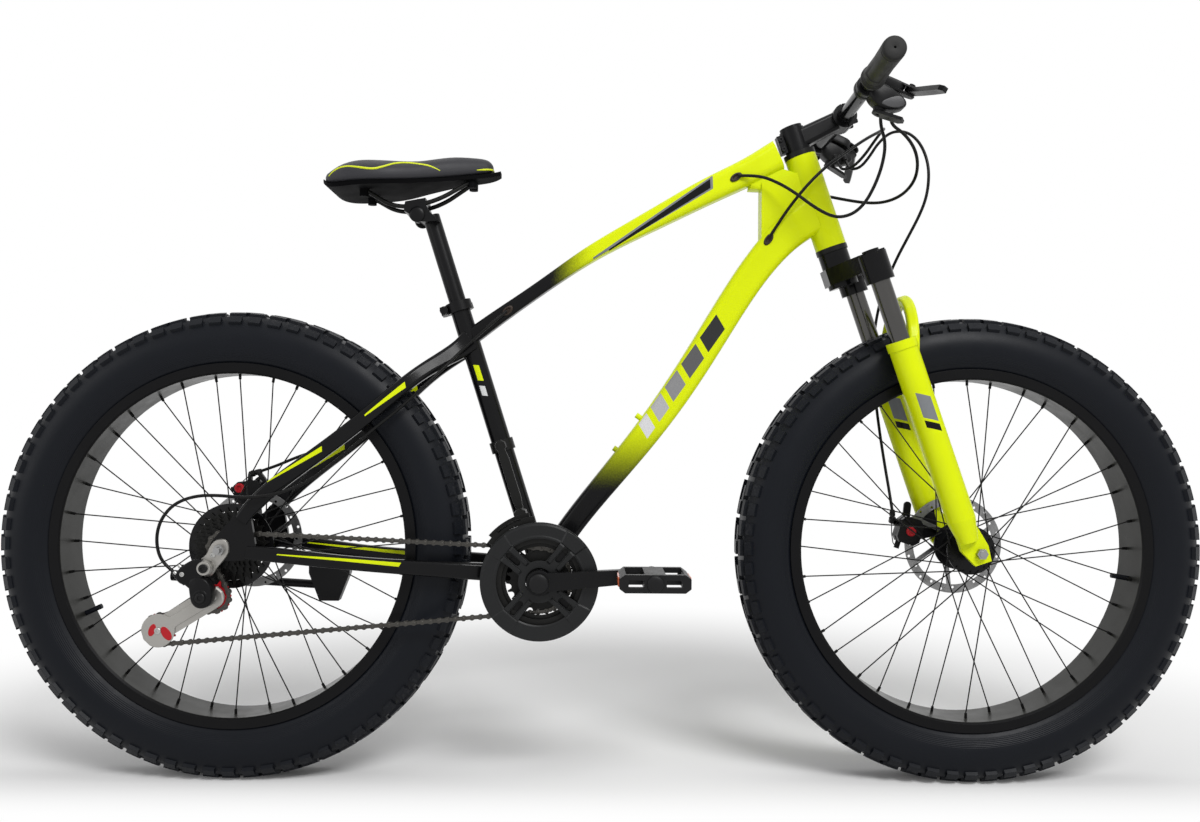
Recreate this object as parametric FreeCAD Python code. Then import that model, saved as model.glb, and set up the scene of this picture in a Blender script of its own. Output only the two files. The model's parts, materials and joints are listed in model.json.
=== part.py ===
import FreeCAD, Part
import math
import os

# Fat tyre bicycle: hardtail frame, suspension fork, triple crankset, disc brakes and a folded kickstand.
# Millimetres. +X is forward, +Y the rider's left, +Z up. The floor is Z = 0, X = 0 is midway between the axles.

# Fits
RUN_FIT = 0.05
BODY_GAP = 0.3

# Wheels
WHEELBASE = 1160.0
TYRE_RADIUS = 368.0
TYRE_WIDTH = 98.0
TYRE_WALL = 3.5
TUBE_WALL = 1.2
TREAD_HALF_WIDTH = 32.0
TREAD_CENTRE = 8.0
TREAD_CROWN = 4.0
KNOB_HEIGHT = 5.0
KNOB_SINK = 1.5
TREAD_REPEATS = 36
RIM_BEAD_RADIUS = 279.5
RIM_FLANGE_HEIGHT = 6.5
RIM_WIDTH = 80.0
RIM_WALL = 3.0
RIM_BEAD_SEAT = 8.0
RIM_DEPTH = 10.5
SPOKE_COUNT = 36
SPOKE_CROSSES = 3
SPOKE_RADIUS = 1.0
SPOKE_STAGGER = 12.0
SPOKE_LIFT = 0.6
NIPPLE_RADIUS = 2.2
NIPPLE_LENGTH = 11.0
VALVE_RADIUS = 4.0
VALVE_LENGTH = 38.0
FRONT_VALVE_ANGLE = 100.0
REAR_VALVE_ANGLE = 245.0

# Hubs, axles and rotors
AXLE_RADIUS = 5.0
AXLE_NUT_ACROSS = 15.0
AXLE_NUT_LENGTH = 9.0
FRONT_SPACING = 135.0
REAR_SPACING = 170.0
FRONT_AXLE_HALF = 88.0
REAR_AXLE_HALF = 114.0
FLANGE_THICKNESS = 3.0
FRONT_FLANGE_RADIUS = 38.0
FRONT_FLANGES = (-33.0, 33.0)
FRONT_BARREL_RADIUS = 25.0
REAR_FLANGE_RADIUS = 33.0
REAR_FLANGES = (-34.0, 42.0)
REAR_BARREL_RADIUS = 20.0
FLANGE_EDGE = 4.0
HUB_END_RADIUS = 11.0
ROTOR_RADIUS = 80.0
ROTOR_BAND = 14.0
ROTOR_THICKNESS = 2.0
ROTOR_HUB_RADIUS = 27.0
ROTOR_BORE = 18.0
ROTOR_ARMS = 6
ROTOR_INSET = 15.5
PROTECTOR_RADIUS = 66.0
PROTECTOR_FACE = -42.0
PROTECTOR_THICKNESS = 1.5

# Frame
HEAD_ANGLE = 71.0
FORK_RAKE = 48.0
AXLE_TO_HEAD_TUBE = 526.0
HEAD_TUBE_LENGTH = 154.0
HEAD_TUBE_RADIUS = 25.0
HEAD_TUBE_WALL = 3.0
CUP_HEIGHT = 8.0
CUP_SPIGOT = 12.0
CHAINSTAY_LENGTH = 484.6
BB_DROP = 45.0
BB_SHELL_WIDTH = 100.0
BB_SHELL_RADIUS = 23.0
BB_BORE = 18.0
SEAT_ANGLE = 72.2
SEAT_TUBE_LENGTH = 455.0
SEAT_TUBE_RADIUS = 15.9
SEATPOST_RADIUS = 13.6
FRAME_WALL = 2.0
DROPOUT_THICKNESS = 8.0
BOSS_RADIUS = 4.5
BOSS_BORE = 2.5
BOSS_SPACING = 64.0
BOSS_HEIGHT = 2.0
BOSS_DEPTH = 10.0
BOSS_START = 230.0

# Fork
STEERER_RADIUS = 14.3
STEERER_WALL = 2.8
STANCHION_RADIUS = 15.0
STANCHION_WALL = 2.5
STANCHION_SPREAD = 80.0
STANCHION_OFFSET = 35.0
STANCHION_FOOT = 150.0
SLIDE_FIT = 0.1
CROWN_LOW = 446.0
CROWN_HEIGHT = 45.0
CROWN_SOCKET_RADIUS = 22.5
LEG_RADIUS = 22.0
LEG_TOP = 350.0
LEG_FOOT = 24.0
LEG_BORE_FLOOR = 70.0
FORK_DROPOUT_THICKNESS = 10.0
ARCH_RISE = 82.0
ARCH_REACH = 34.0
ARCH_HALF_THICKNESS = 9.0

# Cockpit
STEM_HEIGHT = 38.0
STEM_CLAMP_RADIUS = 20.0
STEM_REACH = 84.0
STEM_RISE = 10.5
BAR_CLAMP_RADIUS = 12.7
BAR_CLAMP_WIDTH = 44.0
BAR_RADIUS = 11.1
BAR_WALL = 2.1
BAR_HALF_WIDTH = 330.0
BAR_STRAIGHT = 70.0
BAR_SWEEP = 8.0
TOP_CAP_HEIGHT = 5.0
GRIP_LENGTH = 125.0
GRIP_RADIUS = 16.0
GRIP_FLANGE = 18.0
CONTROL_PLACE = 165.0
CONTROL_TILT = 25.0
LEVER_DROOP = 10.0
LEVER_RISE = 19.0
LEVER_PIVOT = (58.0, 8.0)
LEVER_THICKNESS = 7.2
LEVER_PIN_RADIUS = 2.5
SHIFT_PIVOT = (32.0, -2.0)
SHIFT_PIN_RADIUS = 3.0
SHIFT_POD_LOW = -24.0
SHIFT_POD_HIGH = 9.0
SHIFT_LEVER_THICKNESS = 4.5

# Seat
SEATPOST_LENGTH = 350.0
SEATPOST_FOOT = 250.0
SEATPOST_WALL = 2.6
COLLAR_HEIGHT = 16.0
COLLAR_WALL = 5.0
SKEWER_RADIUS = 2.5
CAM_PIVOT = 18.5
CAM_TURN = 152.0
CAM_SLOT_REACH = 12.0
RAIL_RADIUS = 3.5
RAIL_SPREAD = 22.0
SADDLE_BASE_THICKNESS = 7.0

# Drive
PITCH = 12.7
ROLLER_RADIUS = 3.87
TOOTH_GAP_RADIUS = 4.12
TOOTH_HEIGHT = 3.2
TOOTH_TIP = 1.2
SPROCKET_THICKNESS = 2.0
RING_TEETH = (24, 34, 42)
RING_FACES = (-76.0, -84.0, -91.0)
RING_BORES = (30.0, 52.0, 58.0)
COG_TEETH = (28, 24, 21, 18, 16, 14, 12)
COG_STEP = 5.0
PULLEY_TEETH = 11
CHAIN_LINKS = 120
CHAIN_INNER_HALF = 1.2
PLATE_THICKNESS = 1.0
PLATE_RADIUS = 4.2
PIN_RADIUS = 1.85
PIN_HALF = 3.6
BUSH_BORE = 2.3
FREEWHEEL_RADIUS = 19.5
FREEWHEEL_BORE = 17.0
GUIDE_FROM_AXLE = (-14.0, -74.0)
CAGE_LENGTH = 97.0
CAGE_RADIUS = 17.0
CAGE_PLATE = 1.6
CAGE_HALF_WIDTH = 5.0
PULLEY_AXLE_RADIUS = 3.0
CAGE_PIVOT_FROM_GUIDE = (-10.0, 3.0)
CAGE_PIVOT_RADIUS = 4.0
CRANK_LENGTH = 170.0
CRANK_ANGLE = 4.5
CRANK_FACE = 100.0
CRANK_THICKNESS = 14.0
SPINDLE_RADIUS = 8.5
SPIDER_FACES = (-85.0, -90.0)
SPIDER_REACH = 68.0
GUARD_RADIUS = 90.0
GUARD_BAND = 23.0
GUARD_FACES = (-94.0, -98.0)
GUARD_BOSS_CIRCLE = 74.0
PEDAL_LENGTH = 102.0
PEDAL_WIDTH = 92.0
PEDAL_THICKNESS = 26.0
PEDAL_RAIL = 9.0
PEDAL_SPINDLE_RADIUS = 6.0

# Kickstand
STAND_PIVOT_X = -456.0
STAND_PIVOT_Z = 286.0
STAND_FACE = 96.0
STAND_LENGTH = 270.0
STAND_RADIUS = 7.0

# Cables
CABLE_RADIUS = 2.5


def vec(x, y, z):
    """Point or direction."""
    return FreeCAD.Vector(x, y, z)


AXIS_Y = vec(0, 1, 0)
AXIS_Z = vec(0, 0, 1)
ORIGIN = vec(0, 0, 0)
REAR_AXLE = vec(-WHEELBASE / 2, 0, TYRE_RADIUS)
FRONT_AXLE = vec(WHEELBASE / 2, 0, TYRE_RADIUS)
HEAD_TURN = FreeCAD.Rotation(AXIS_Y, HEAD_ANGLE - 90)
SEAT_TURN = FreeCAD.Rotation(AXIS_Y, SEAT_ANGLE - 90)
CRANK_TURN = FreeCAD.Rotation(AXIS_Y, -CRANK_ANGLE)
STEER_UP = HEAD_TURN.multVec(vec(0, 0, 1))
STEER_FORWARD = HEAD_TURN.multVec(vec(1, 0, 0))
FORK = FreeCAD.Placement(FRONT_AXLE - STEER_FORWARD * FORK_RAKE, HEAD_TURN)
BB = REAR_AXLE + vec(math.sqrt(CHAINSTAY_LENGTH ** 2 - BB_DROP ** 2), 0, -BB_DROP)
SEAT = FreeCAD.Placement(BB, SEAT_TURN)
CRANKS = FreeCAD.Placement(BB, CRANK_TURN)
HEAD_TOP = AXLE_TO_HEAD_TUBE + HEAD_TUBE_LENGTH
STEM_LOW = HEAD_TOP + CUP_HEIGHT + BODY_GAP
STEM_TOP = STEM_LOW + STEM_HEIGHT
BAR_HEIGHT = STEM_LOW + STEM_HEIGHT / 2 + STEM_RISE
BAR_CENTRE = FORK.multVec(vec(STEM_REACH, 0, BAR_HEIGHT))
CHAIN_FACE = RING_FACES[0]
FRONT_ROTOR_FACE = FRONT_SPACING / 2 - ROTOR_INSET
REAR_ROTOR_FACE = REAR_SPACING / 2 - ROTOR_INSET
SEAT_TOP = SEAT_TUBE_LENGTH
DROPOUT_FACE = REAR_SPACING / 2


def seated(shape, placement):
    """Copy of a shape built in a local frame, put where that frame lies."""
    moved = shape.copy()
    moved.Placement = placement.multiply(moved.Placement)
    return moved


def turned(shape, centre, angle):
    """Copy of a shape turned about an axis along Y."""
    copy = shape.copy()
    copy.rotate(centre, AXIS_Y, angle)
    return copy


def shifted(shape, offset):
    """Copy of a shape moved by an offset."""
    copy = shape.copy()
    copy.translate(offset)
    return copy


def mirrored(shape):
    """Copy of a shape on the other side of the bicycle."""
    return shape.mirror(ORIGIN, AXIS_Y)


def joined(shapes):
    """One solid from overlapping shapes."""
    return shapes[0].multiFuse(shapes[1:]).removeSplitter()


def largest(shape):
    """The biggest solid of a cut shape."""
    return max(shape.Solids, key=lambda solid: solid.Volume)


def rod(start, end, radius):
    """Round bar between two points."""
    run = end - start
    return Part.makeCylinder(radius, run.Length, start, run)


def cross_rod(x, z, low, high, radius):
    """Round bar along Y."""
    return rod(vec(x, low, z), vec(x, high, z), radius)


def pipe(start, end, outer, inner):
    """Round tube between two points."""
    return rod(start, end, outer).cut(rod(start, end, inner))


def block(low, high):
    """Square-edged block between two corners."""
    size = high - low
    return Part.makeBox(size.x, size.y, size.z, low)


def plate(points, low, high):
    """Flat plate with an outline in X and Z, between two faces across Y."""
    wire = Part.makePolygon([vec(x, low, z) for x, z in points + points[:1]])
    return Part.Face(wire).extrude(vec(0, high - low, 0))


def slab(points, low, high):
    """Flat plate with an outline in X and Y, between two heights."""
    wire = Part.makePolygon([vec(x, y, low) for x, y in points + points[:1]])
    return Part.Face(wire).extrude(vec(0, 0, high - low))


def link_plate(first, second, radius, low, high):
    """Plate with two round ends, across Y."""
    ends = [cross_rod(p[0], p[1], low, high, radius) for p in (first, second)]
    run = vec(second[0] - first[0], 0, second[1] - first[1])
    side = run.cross(AXIS_Y).normalize() * radius
    a, b = vec(first[0], 0, first[1]), vec(second[0], 0, second[1])
    corners = [a + side, b + side, b - side, a - side]
    return joined(ends + [plate([(p.x, p.z) for p in corners], low, high)])


def polar(radius, degrees):
    """Point in X and Z at an angle from +X towards +Z."""
    angle = math.radians(degrees)
    return radius * math.cos(angle), radius * math.sin(angle)


def ring_sector(inner, outer, start, end, low, high):
    """Part of a flat ring about the Y axis, between two angles."""
    a, b = polar(outer, start), polar(outer, (start + end) / 2)
    c, d = polar(outer, end), polar(inner, end)
    e, f = polar(inner, (start + end) / 2), polar(inner, start)
    a, b, c, d, e, f = [vec(x, low, z) for x, z in (a, b, c, d, e, f)]
    edges = [Part.Arc(a, b, c), Part.LineSegment(c, d), Part.Arc(d, e, f), Part.LineSegment(f, a)]
    wire = Part.Wire([edge.toShape() for edge in edges])
    return Part.Face(wire).extrude(vec(0, high - low, 0))


def rounded_outline(half_width, half_height, radius):
    """Rounded rectangle about the origin, in X and Y."""
    inset = radius * (1 - math.sqrt(0.5))
    edges = []
    last = vec(half_width, -half_height + radius, 0)
    for sx, sy in ((1, 1), (-1, 1), (-1, -1), (1, -1)):
        upright = vec(sx * half_width, sy * (half_height - radius), 0)
        level = vec(sx * (half_width - radius), sy * half_height, 0)
        first, second = (upright, level) if sx * sy > 0 else (level, upright)
        middle = vec(sx * (half_width - inset), sy * (half_height - inset), 0)
        edges.append(Part.LineSegment(last, first).toShape())
        edges.append(Part.Arc(first, middle, second).toShape())
        last = second
    return Part.Wire(edges)


def section(centre, along, half_width, half_height, radius):
    """Rounded rectangle square to a direction, its width along Y."""
    wire = rounded_outline(half_width, half_height, radius)
    turn = FreeCAD.Rotation(AXIS_Y, vec(0, 0, 0), along, "ZXY")
    wire.Placement = FreeCAD.Placement(centre, turn)
    return wire


def loft(stations):
    """Solid through rounded sections, each (centre, direction, half width, half height, corner radius)."""
    return Part.makeLoft([section(*station) for station in stations], True, False)


def tube_loft(stations):
    """Open tube of the frame's wall through rounded sections."""
    inner = []
    for k, (centre, along, w, h, r) in enumerate(stations):
        beyond = {0: -FRAME_WALL, len(stations) - 1: FRAME_WALL}.get(k, 0)
        centre = centre + vec(*along).normalize() * beyond
        inner.append((centre, along, w - FRAME_WALL, h - FRAME_WALL, r - FRAME_WALL))
    return loft(stations).cut(loft(inner))


def bent_path(points, share=0.45):
    """Straight runs joined by tangent arcs as large as the runs allow, and the arcs' radii."""
    edges = []
    radii = []
    last = points[0]
    for before, corner, after in zip(points, points[1:], points[2:]):
        back = (before - corner).normalize()
        ahead = (after - corner).normalize()
        run = share * min((before - corner).Length, (after - corner).Length)
        half = back.getAngle(ahead) / 2
        start, end = corner + back * run, corner + ahead * run
        radius = run * math.tan(half)
        middle = corner + (back + ahead).normalize() * (run / math.cos(half) - radius)
        edges.append(Part.LineSegment(last, start).toShape())
        edges.append(Part.Arc(start, middle, end).toShape())
        radii.append(radius)
        last = end
    edges.append(Part.LineSegment(last, points[-1]).toShape())
    return Part.Wire(edges), radii


def bent_rod(points, radius):
    """Round bar along straight runs and tangent arcs."""
    path, radii = bent_path(points)
    start = Part.Wire(Part.makeCircle(radius, points[0], points[1] - points[0]))
    return path.makePipeShell([start], True, True), path.Length, radii


def cable(name, points):
    """Cable housing along its route, with its length and bends printed."""
    shape, length, radii = bent_rod([vec(*p) for p in points], CABLE_RADIUS)
    expected = math.pi * CABLE_RADIUS ** 2 * length
    print(name, "length", round(length), "volume ratio", round(shape.Volume / expected, 3))
    print(name, "radii", [round(r) for r in radii])
    return shape


def spun(points):
    """Solid of revolution about Y from an outline of (y, radius) points."""
    wire = Part.makePolygon([vec(0, y, r) for y, r in points + points[:1]])
    return Part.Face(wire).revolve(ORIGIN, AXIS_Y, 360)


def hexagon(x, z, across, low, high):
    """Hexagonal nut blank along Y."""
    corners = [polar(across / math.sqrt(3), 60 * k) for k in range(6)]
    return plate([(x + a, z + b) for a, b in corners], low, high)


# Tyre, inner tube and rim

def casing_edges(inset):
    """Casing outline over the crown from bead to bead, set in by an inset."""
    crown = TYRE_RADIUS - KNOB_HEIGHT - inset
    edge = crown - TREAD_CROWN
    bead_y = RIM_WIDTH / 2 - RIM_WALL - BODY_GAP - inset
    flange = RIM_BEAD_RADIUS + RIM_FLANGE_HEIGHT + BODY_GAP
    waist = (flange + crown) / 2
    half = TYRE_WIDTH / 2 - inset
    tread = TREAD_HALF_WIDTH - inset / 2
    points = [vec(0, -bead_y, flange), vec(0, -half, waist), vec(0, -tread, edge), vec(0, 0, crown),
              vec(0, tread, edge), vec(0, half, waist), vec(0, bead_y, flange)]
    arcs = [Part.Arc(points[k], points[k + 1], points[k + 2]).toShape() for k in (0, 2, 4)]
    return arcs, points[0], points[-1]


def casing_face():
    """Cross-section of the tyre casing."""
    foot = RIM_BEAD_RADIUS + BODY_GAP
    outer, a, b = casing_edges(0)
    inner, c, d = casing_edges(TYRE_WALL)
    a_foot, b_foot, c_foot, d_foot = [vec(0, p.y, foot) for p in (a, b, c, d)]
    lines = [(b, b_foot), (b_foot, d_foot), (d_foot, d), (c, c_foot), (c_foot, a_foot), (a_foot, a)]
    edges = outer + inner + [Part.LineSegment(p, q).toShape() for p, q in lines]
    return Part.Face(Part.Wire(Part.__sortEdges__(edges)))


def tread_top(y):
    """Height of the tread's blocks over the crown, by their place across it."""
    beyond = max(abs(y) - TREAD_CENTRE, 0) / (TREAD_HALF_WIDTH - TREAD_CENTRE)
    return TYRE_RADIUS - TREAD_CROWN * beyond ** 2


def crown_block(low, high):
    """Outline of a tread block on the crown."""
    depth = KNOB_HEIGHT + KNOB_SINK
    return [(low, tread_top(low) - depth), (low, tread_top(low)), (high, tread_top(high)), (high, tread_top(high) - depth)]


def shoulder_block():
    """Outline of a tread block on the casing's shoulder."""
    half = TYRE_WIDTH / 2
    return [(half - 13.5, TYRE_RADIUS - 15.5), (half - 10, TYRE_RADIUS - 9), (half - 2.5, TYRE_RADIUS - 18.5),
            (half - 7, TYRE_RADIUS - 24)]


def knob(outline, start, end):
    """Tread block with an outline across the tread, between two angles."""
    wire = Part.makePolygon([vec(0, y, r) for y, r in outline + outline[:1]])
    shape = Part.Face(wire).revolve(ORIGIN, AXIS_Y, end - start)
    shape.rotate(ORIGIN, AXIS_Y, start)
    return shape


def tyre_casing():
    """Casing with its knobs: one repeat of the tread, copied round and sewn."""
    step = 360 / TREAD_REPEATS
    sector = casing_face().revolve(ORIGIN, AXIS_Y, step)
    rows = [(crown_block(10, 19), 0.4, 0.8), (crown_block(22, 31), 0.06, 0.46), (crown_block(22, 31), 0.56, 0.94),
            (shoulder_block(), 0.1, 0.42), (shoulder_block(), 0.6, 0.9)]
    knobs = [knob(crown_block(-TREAD_CENTRE, TREAD_CENTRE), 0.06 * step, 0.42 * step)]
    for outline, start, end in rows:
        half = knob(outline, start * step, end * step)
        knobs += [half, mirrored(half)]
    sector = sector.multiFuse(knobs)
    skin = []
    for face in sector.Faces:
        centre = face.CenterOfMass
        angle = math.degrees(math.atan2(centre.x, centre.z))
        if 1e-4 < angle < step - 1e-4:
            skin.append(face)
    faces = [turned(face, ORIGIN, step * k) for k in range(TREAD_REPEATS) for face in skin]
    shell = Part.Compound(faces)
    shell.sewShape()
    return turned(Part.Solid(shell.Shells[0]), ORIGIN, -0.24 * step)


def inner_tube(valve_angle):
    """Thin air tube that fills the casing, with its valve stem through the rim."""
    def filled(inset):
        edges, first, last = casing_edges(TYRE_WALL + BODY_GAP + inset)
        floor = RIM_BEAD_RADIUS + BODY_GAP + inset
        a, b = vec(0, first.y, floor), vec(0, last.y, floor)
        lines = [Part.LineSegment(p, q).toShape() for p, q in ((last, b), (b, a), (a, first))]
        return Part.Face(Part.Wire(Part.__sortEdges__(edges + lines))).revolve(ORIGIN, AXIS_Y, 360)

    floor = RIM_BEAD_RADIUS + BODY_GAP
    valve = rod(vec(0, 0, floor + TUBE_WALL / 2), vec(0, 0, floor - VALVE_LENGTH), VALVE_RADIUS)
    return turned(filled(0).cut(filled(TUBE_WALL)).fuse(valve), ORIGIN, valve_angle)


def nipple_places():
    """Angle and sideways place of every spoke's seat on the rim."""
    step = 360 / SPOKE_COUNT
    return [(step * k, SPOKE_STAGGER if k % 2 else -SPOKE_STAGGER) for k in range(SPOKE_COUNT)]


def rim(valve_angle):
    """Wide single-wall rim with bead seats, flanges and drilled spoke and valve holes."""
    half = RIM_WIDTH / 2
    bead, floor = RIM_BEAD_RADIUS, RIM_BEAD_RADIUS - RIM_DEPTH
    well = floor + RIM_WALL
    inside = half - RIM_WALL
    ramp = inside - RIM_BEAD_SEAT
    right = [(half - RIM_WALL, floor), (half, floor + RIM_WALL), (half, bead + RIM_FLANGE_HEIGHT),
             (inside, bead + RIM_FLANGE_HEIGHT), (inside, bead), (ramp, bead), (ramp - RIM_WALL, well)]
    left = [(-y, r) for y, r in reversed(right)]
    shape = spun(right + left)
    reach = RIM_DEPTH * 2
    holes = []
    for angle, y in nipple_places():
        hole = rod(vec(0, y, floor - reach), vec(0, y, well + reach), NIPPLE_RADIUS + BODY_GAP)
        holes.append(turned(hole, ORIGIN, angle))
    valve = rod(vec(0, 0, floor - reach), vec(0, 0, well + reach), VALVE_RADIUS + BODY_GAP)
    holes.append(turned(valve, ORIGIN, valve_angle))
    return shape.cut(holes)


# Hubs, spokes and rotors

def spoke_circle(flange_radius):
    """Radius at which the spokes pass through a hub flange."""
    return flange_radius - FLANGE_EDGE


def spoke(flange, flange_radius, hub_angle, rim_angle, rim_y, outward):
    """One spoke: bent head through the flange, straight run, and nipple in the rim."""
    lift = FLANGE_THICKNESS / 2 + SPOKE_RADIUS + SPOKE_LIFT
    circle = spoke_circle(flange_radius)
    hub_x, hub_z = polar(circle, 90 - hub_angle)
    start = vec(hub_x, flange + lift * outward, hub_z)
    seat_radius = RIM_BEAD_RADIUS - RIM_DEPTH + RIM_WALL
    seat_x, seat_z = polar(seat_radius, 90 - rim_angle)
    end = vec(seat_x, rim_y, seat_z)
    head_y = flange - (lift + SPOKE_RADIUS) * outward
    head_far = head_y + SPOKE_RADIUS * outward
    radial = vec(seat_x, 0, seat_z).normalize()
    nipple_start = end - radial * NIPPLE_LENGTH
    run_end = nipple_start + radial
    run = rod(start, run_end, SPOKE_RADIUS)
    elbow = rod(start, vec(hub_x, head_y, hub_z), SPOKE_RADIUS)
    head = rod(vec(hub_x, head_far, hub_z), vec(hub_x, head_y, hub_z), SPOKE_RADIUS * 1.9)
    bend = Part.makeSphere(SPOKE_RADIUS, start)
    nipple = rod(nipple_start, end, NIPPLE_RADIUS)
    return run.multiFuse([elbow, head, bend, nipple])


def spoke_set(flanges, flange_radius):
    """All the spokes of one wheel, crossed on each side."""
    per_side = SPOKE_COUNT // 2
    step = 360 / per_side
    shapes = []
    for side, flange in enumerate(flanges):
        away = 1 if side else -1
        offset = side * step / 2
        rim_y = SPOKE_STAGGER * away
        for k in range(per_side):
            hub_angle = offset + step * k
            lead = SPOKE_CROSSES * step if k % 2 == 0 else -SPOKE_CROSSES * step
            outward = away if k % 2 == 0 else -away
            shapes.append(spoke(flange, flange_radius, hub_angle, hub_angle + lead, rim_y, outward))
    return Part.Compound(shapes)


def flange_holes(flanges, flange_radius):
    """Drills for the spoke heads in both hub flanges."""
    per_side = SPOKE_COUNT // 2
    step = 360 / per_side
    drills = []
    for side, flange in enumerate(flanges):
        drill = rod(vec(0, flange - FLANGE_THICKNESS, spoke_circle(flange_radius)),
                    vec(0, flange + FLANGE_THICKNESS, spoke_circle(flange_radius)), SPOKE_RADIUS + RUN_FIT)
        drills += [turned(drill, ORIGIN, side * step / 2 + step * k) for k in range(per_side)]
    return drills


def hub(flanges, flange_radius, barrel, left_end, right_end, rotor_face, right_end_radius):
    """Hub shell with two drilled flanges, a rotor seat on the left and a bore for the axle."""
    half = FLANGE_THICKNESS / 2
    bore = AXLE_RADIUS + RUN_FIT
    right, left = flanges
    neck = barrel * 0.8
    seat = rotor_face - ROTOR_THICKNESS * 2
    outline = [(right_end, bore), (right_end, right_end_radius), (right - half, right_end_radius),
               (right - half, flange_radius), (right + half, flange_radius), (right + half, barrel),
               (0, neck), (left - half, barrel), (left - half, flange_radius), (left + half, flange_radius),
               (left + half, ROTOR_BORE), (seat, ROTOR_BORE), (seat, ROTOR_HUB_RADIUS),
               (rotor_face, ROTOR_HUB_RADIUS), (rotor_face, ROTOR_BORE),
               (rotor_face + ROTOR_THICKNESS, ROTOR_BORE), (rotor_face + ROTOR_THICKNESS, HUB_END_RADIUS),
               (left_end, HUB_END_RADIUS), (left_end, bore)]
    return spun(outline).cut(flange_holes(flanges, flange_radius))


def front_hub():
    """Front hub between the fork dropouts."""
    end = FRONT_SPACING / 2 - BODY_GAP
    return hub(FRONT_FLANGES, FRONT_FLANGE_RADIUS, FRONT_BARREL_RADIUS, end, -end, FRONT_ROTOR_FACE,
               HUB_END_RADIUS)


def rear_hub():
    """Rear hub with a long seat for the freewheel on the right."""
    end = REAR_SPACING / 2 - BODY_GAP
    shell = hub(REAR_FLANGES, REAR_FLANGE_RADIUS, REAR_BARREL_RADIUS, end, PROTECTOR_FACE - PROTECTOR_THICKNESS,
                REAR_ROTOR_FACE, REAR_BARREL_RADIUS)
    bore = AXLE_RADIUS + RUN_FIT
    seat = pipe(vec(0, PROTECTOR_FACE - PROTECTOR_THICKNESS, 0), vec(0, -end, 0), FREEWHEEL_BORE, bore)
    return joined([shell, seat])


def rotor(face):
    """Brake disc: a drilled band on slanted arms about a mounting ring."""
    low, high = face, face + ROTOR_THICKNESS
    band_inner = ROTOR_RADIUS - ROTOR_BAND
    band = cross_rod(0, 0, low, high, ROTOR_RADIUS).cut(cross_rod(0, 0, low, high, band_inner))
    centre = cross_rod(0, 0, low, high, ROTOR_HUB_RADIUS)
    shapes = [band, centre]
    for k in range(ROTOR_ARMS):
        angle = 360 / ROTOR_ARMS * k
        shapes.append(link_plate(polar(ROTOR_HUB_RADIUS - 4, angle), polar(band_inner + 4, angle + 25), 3.5, low, high))
    drills = [cross_rod(0, 0, low, high, ROTOR_BORE)]
    for k in range(ROTOR_ARMS * 4):
        x, z = polar(ROTOR_RADIUS - ROTOR_BAND / 2 + (2.5 if k % 2 else -2.5), 360 / (ROTOR_ARMS * 4) * k)
        drills.append(cross_rod(x, z, low, high, 2.2))
    return joined(shapes).cut(drills)


def spoke_protector():
    """Thin dished disc between the spokes and the largest cog."""
    low, high = PROTECTOR_FACE - PROTECTOR_THICKNESS, PROTECTOR_FACE
    disc = cross_rod(0, 0, low, high, PROTECTOR_RADIUS).cut(cross_rod(0, 0, low, high, REAR_BARREL_RADIUS))
    holes = [ring_sector(34, 54, 60 * k + 8, 60 * k + 52, low, high) for k in range(6)]
    return disc.cut(holes)


def axle(half, washer_face, left_face):
    """Threaded axle with a nut and washer outside each dropout."""
    shaft = cross_rod(0, 0, -half, half, AXLE_RADIUS)
    right = hexagon(0, 0, AXLE_NUT_ACROSS, -washer_face - AXLE_NUT_LENGTH, -washer_face)
    left = hexagon(0, 0, AXLE_NUT_ACROSS, left_face, left_face + AXLE_NUT_LENGTH)
    return joined([shaft, right, left])


# Sprockets and chain

def pitch_radius(teeth):
    """Radius of the circle that the chain's pins lie on."""
    return PITCH / (2 * math.sin(math.pi / teeth))


def sprocket(teeth, bore, low, high, phase):
    """Toothed wheel whose first tooth gap is at the phase angle."""
    circle = pitch_radius(teeth)
    step = 2 * math.pi / teeth
    tip = circle + TOOTH_HEIGHT
    half_tip = TOOTH_TIP / tip
    spread = math.radians(65)

    def at(radius, angle):
        return vec(radius * math.cos(angle), low, radius * math.sin(angle))

    edges = []
    for k in range(teeth):
        angle = math.radians(phase) + step * k
        centre = at(circle, angle)
        flat = vec(0, low, 0)
        first, middle, last = [centre + at(TOOTH_GAP_RADIUS, angle + math.pi + s) - flat for s in (spread, 0, -spread)]
        tip_start = at(tip, angle + step / 2 - half_tip)
        tip_end = at(tip, angle + step / 2 + half_tip)
        next_angle = angle + step
        next_first = at(circle, next_angle) + at(TOOTH_GAP_RADIUS, next_angle + math.pi + spread) - flat
        edges.append(Part.Arc(first, middle, last).toShape())
        edges += [Part.LineSegment(p, q).toShape() for p, q in
                  ((last, tip_start), (tip_start, tip_end), (tip_end, next_first))]
    face = Part.Face(Part.Wire(edges))
    return face.extrude(vec(0, high - low, 0)).cut(cross_rod(0, 0, low, high, bore))


def tangent(first, second):
    """Where the chain leaves one wheel and meets the next; each wheel is (x, z, radius, sense)."""
    dx, dz = second[0] - first[0], second[1] - first[1]
    reach = math.hypot(dx, dz)
    lean = math.asin((second[3] * second[2] - first[3] * first[2]) / reach)
    heading = math.atan2(dz, dx) - lean
    normal = (-math.sin(heading), math.cos(heading))
    points = []
    for x, z, radius, sense in (first, second):
        points.append((x - sense * radius * normal[0], z - sense * radius * normal[1]))
    return points


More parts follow.
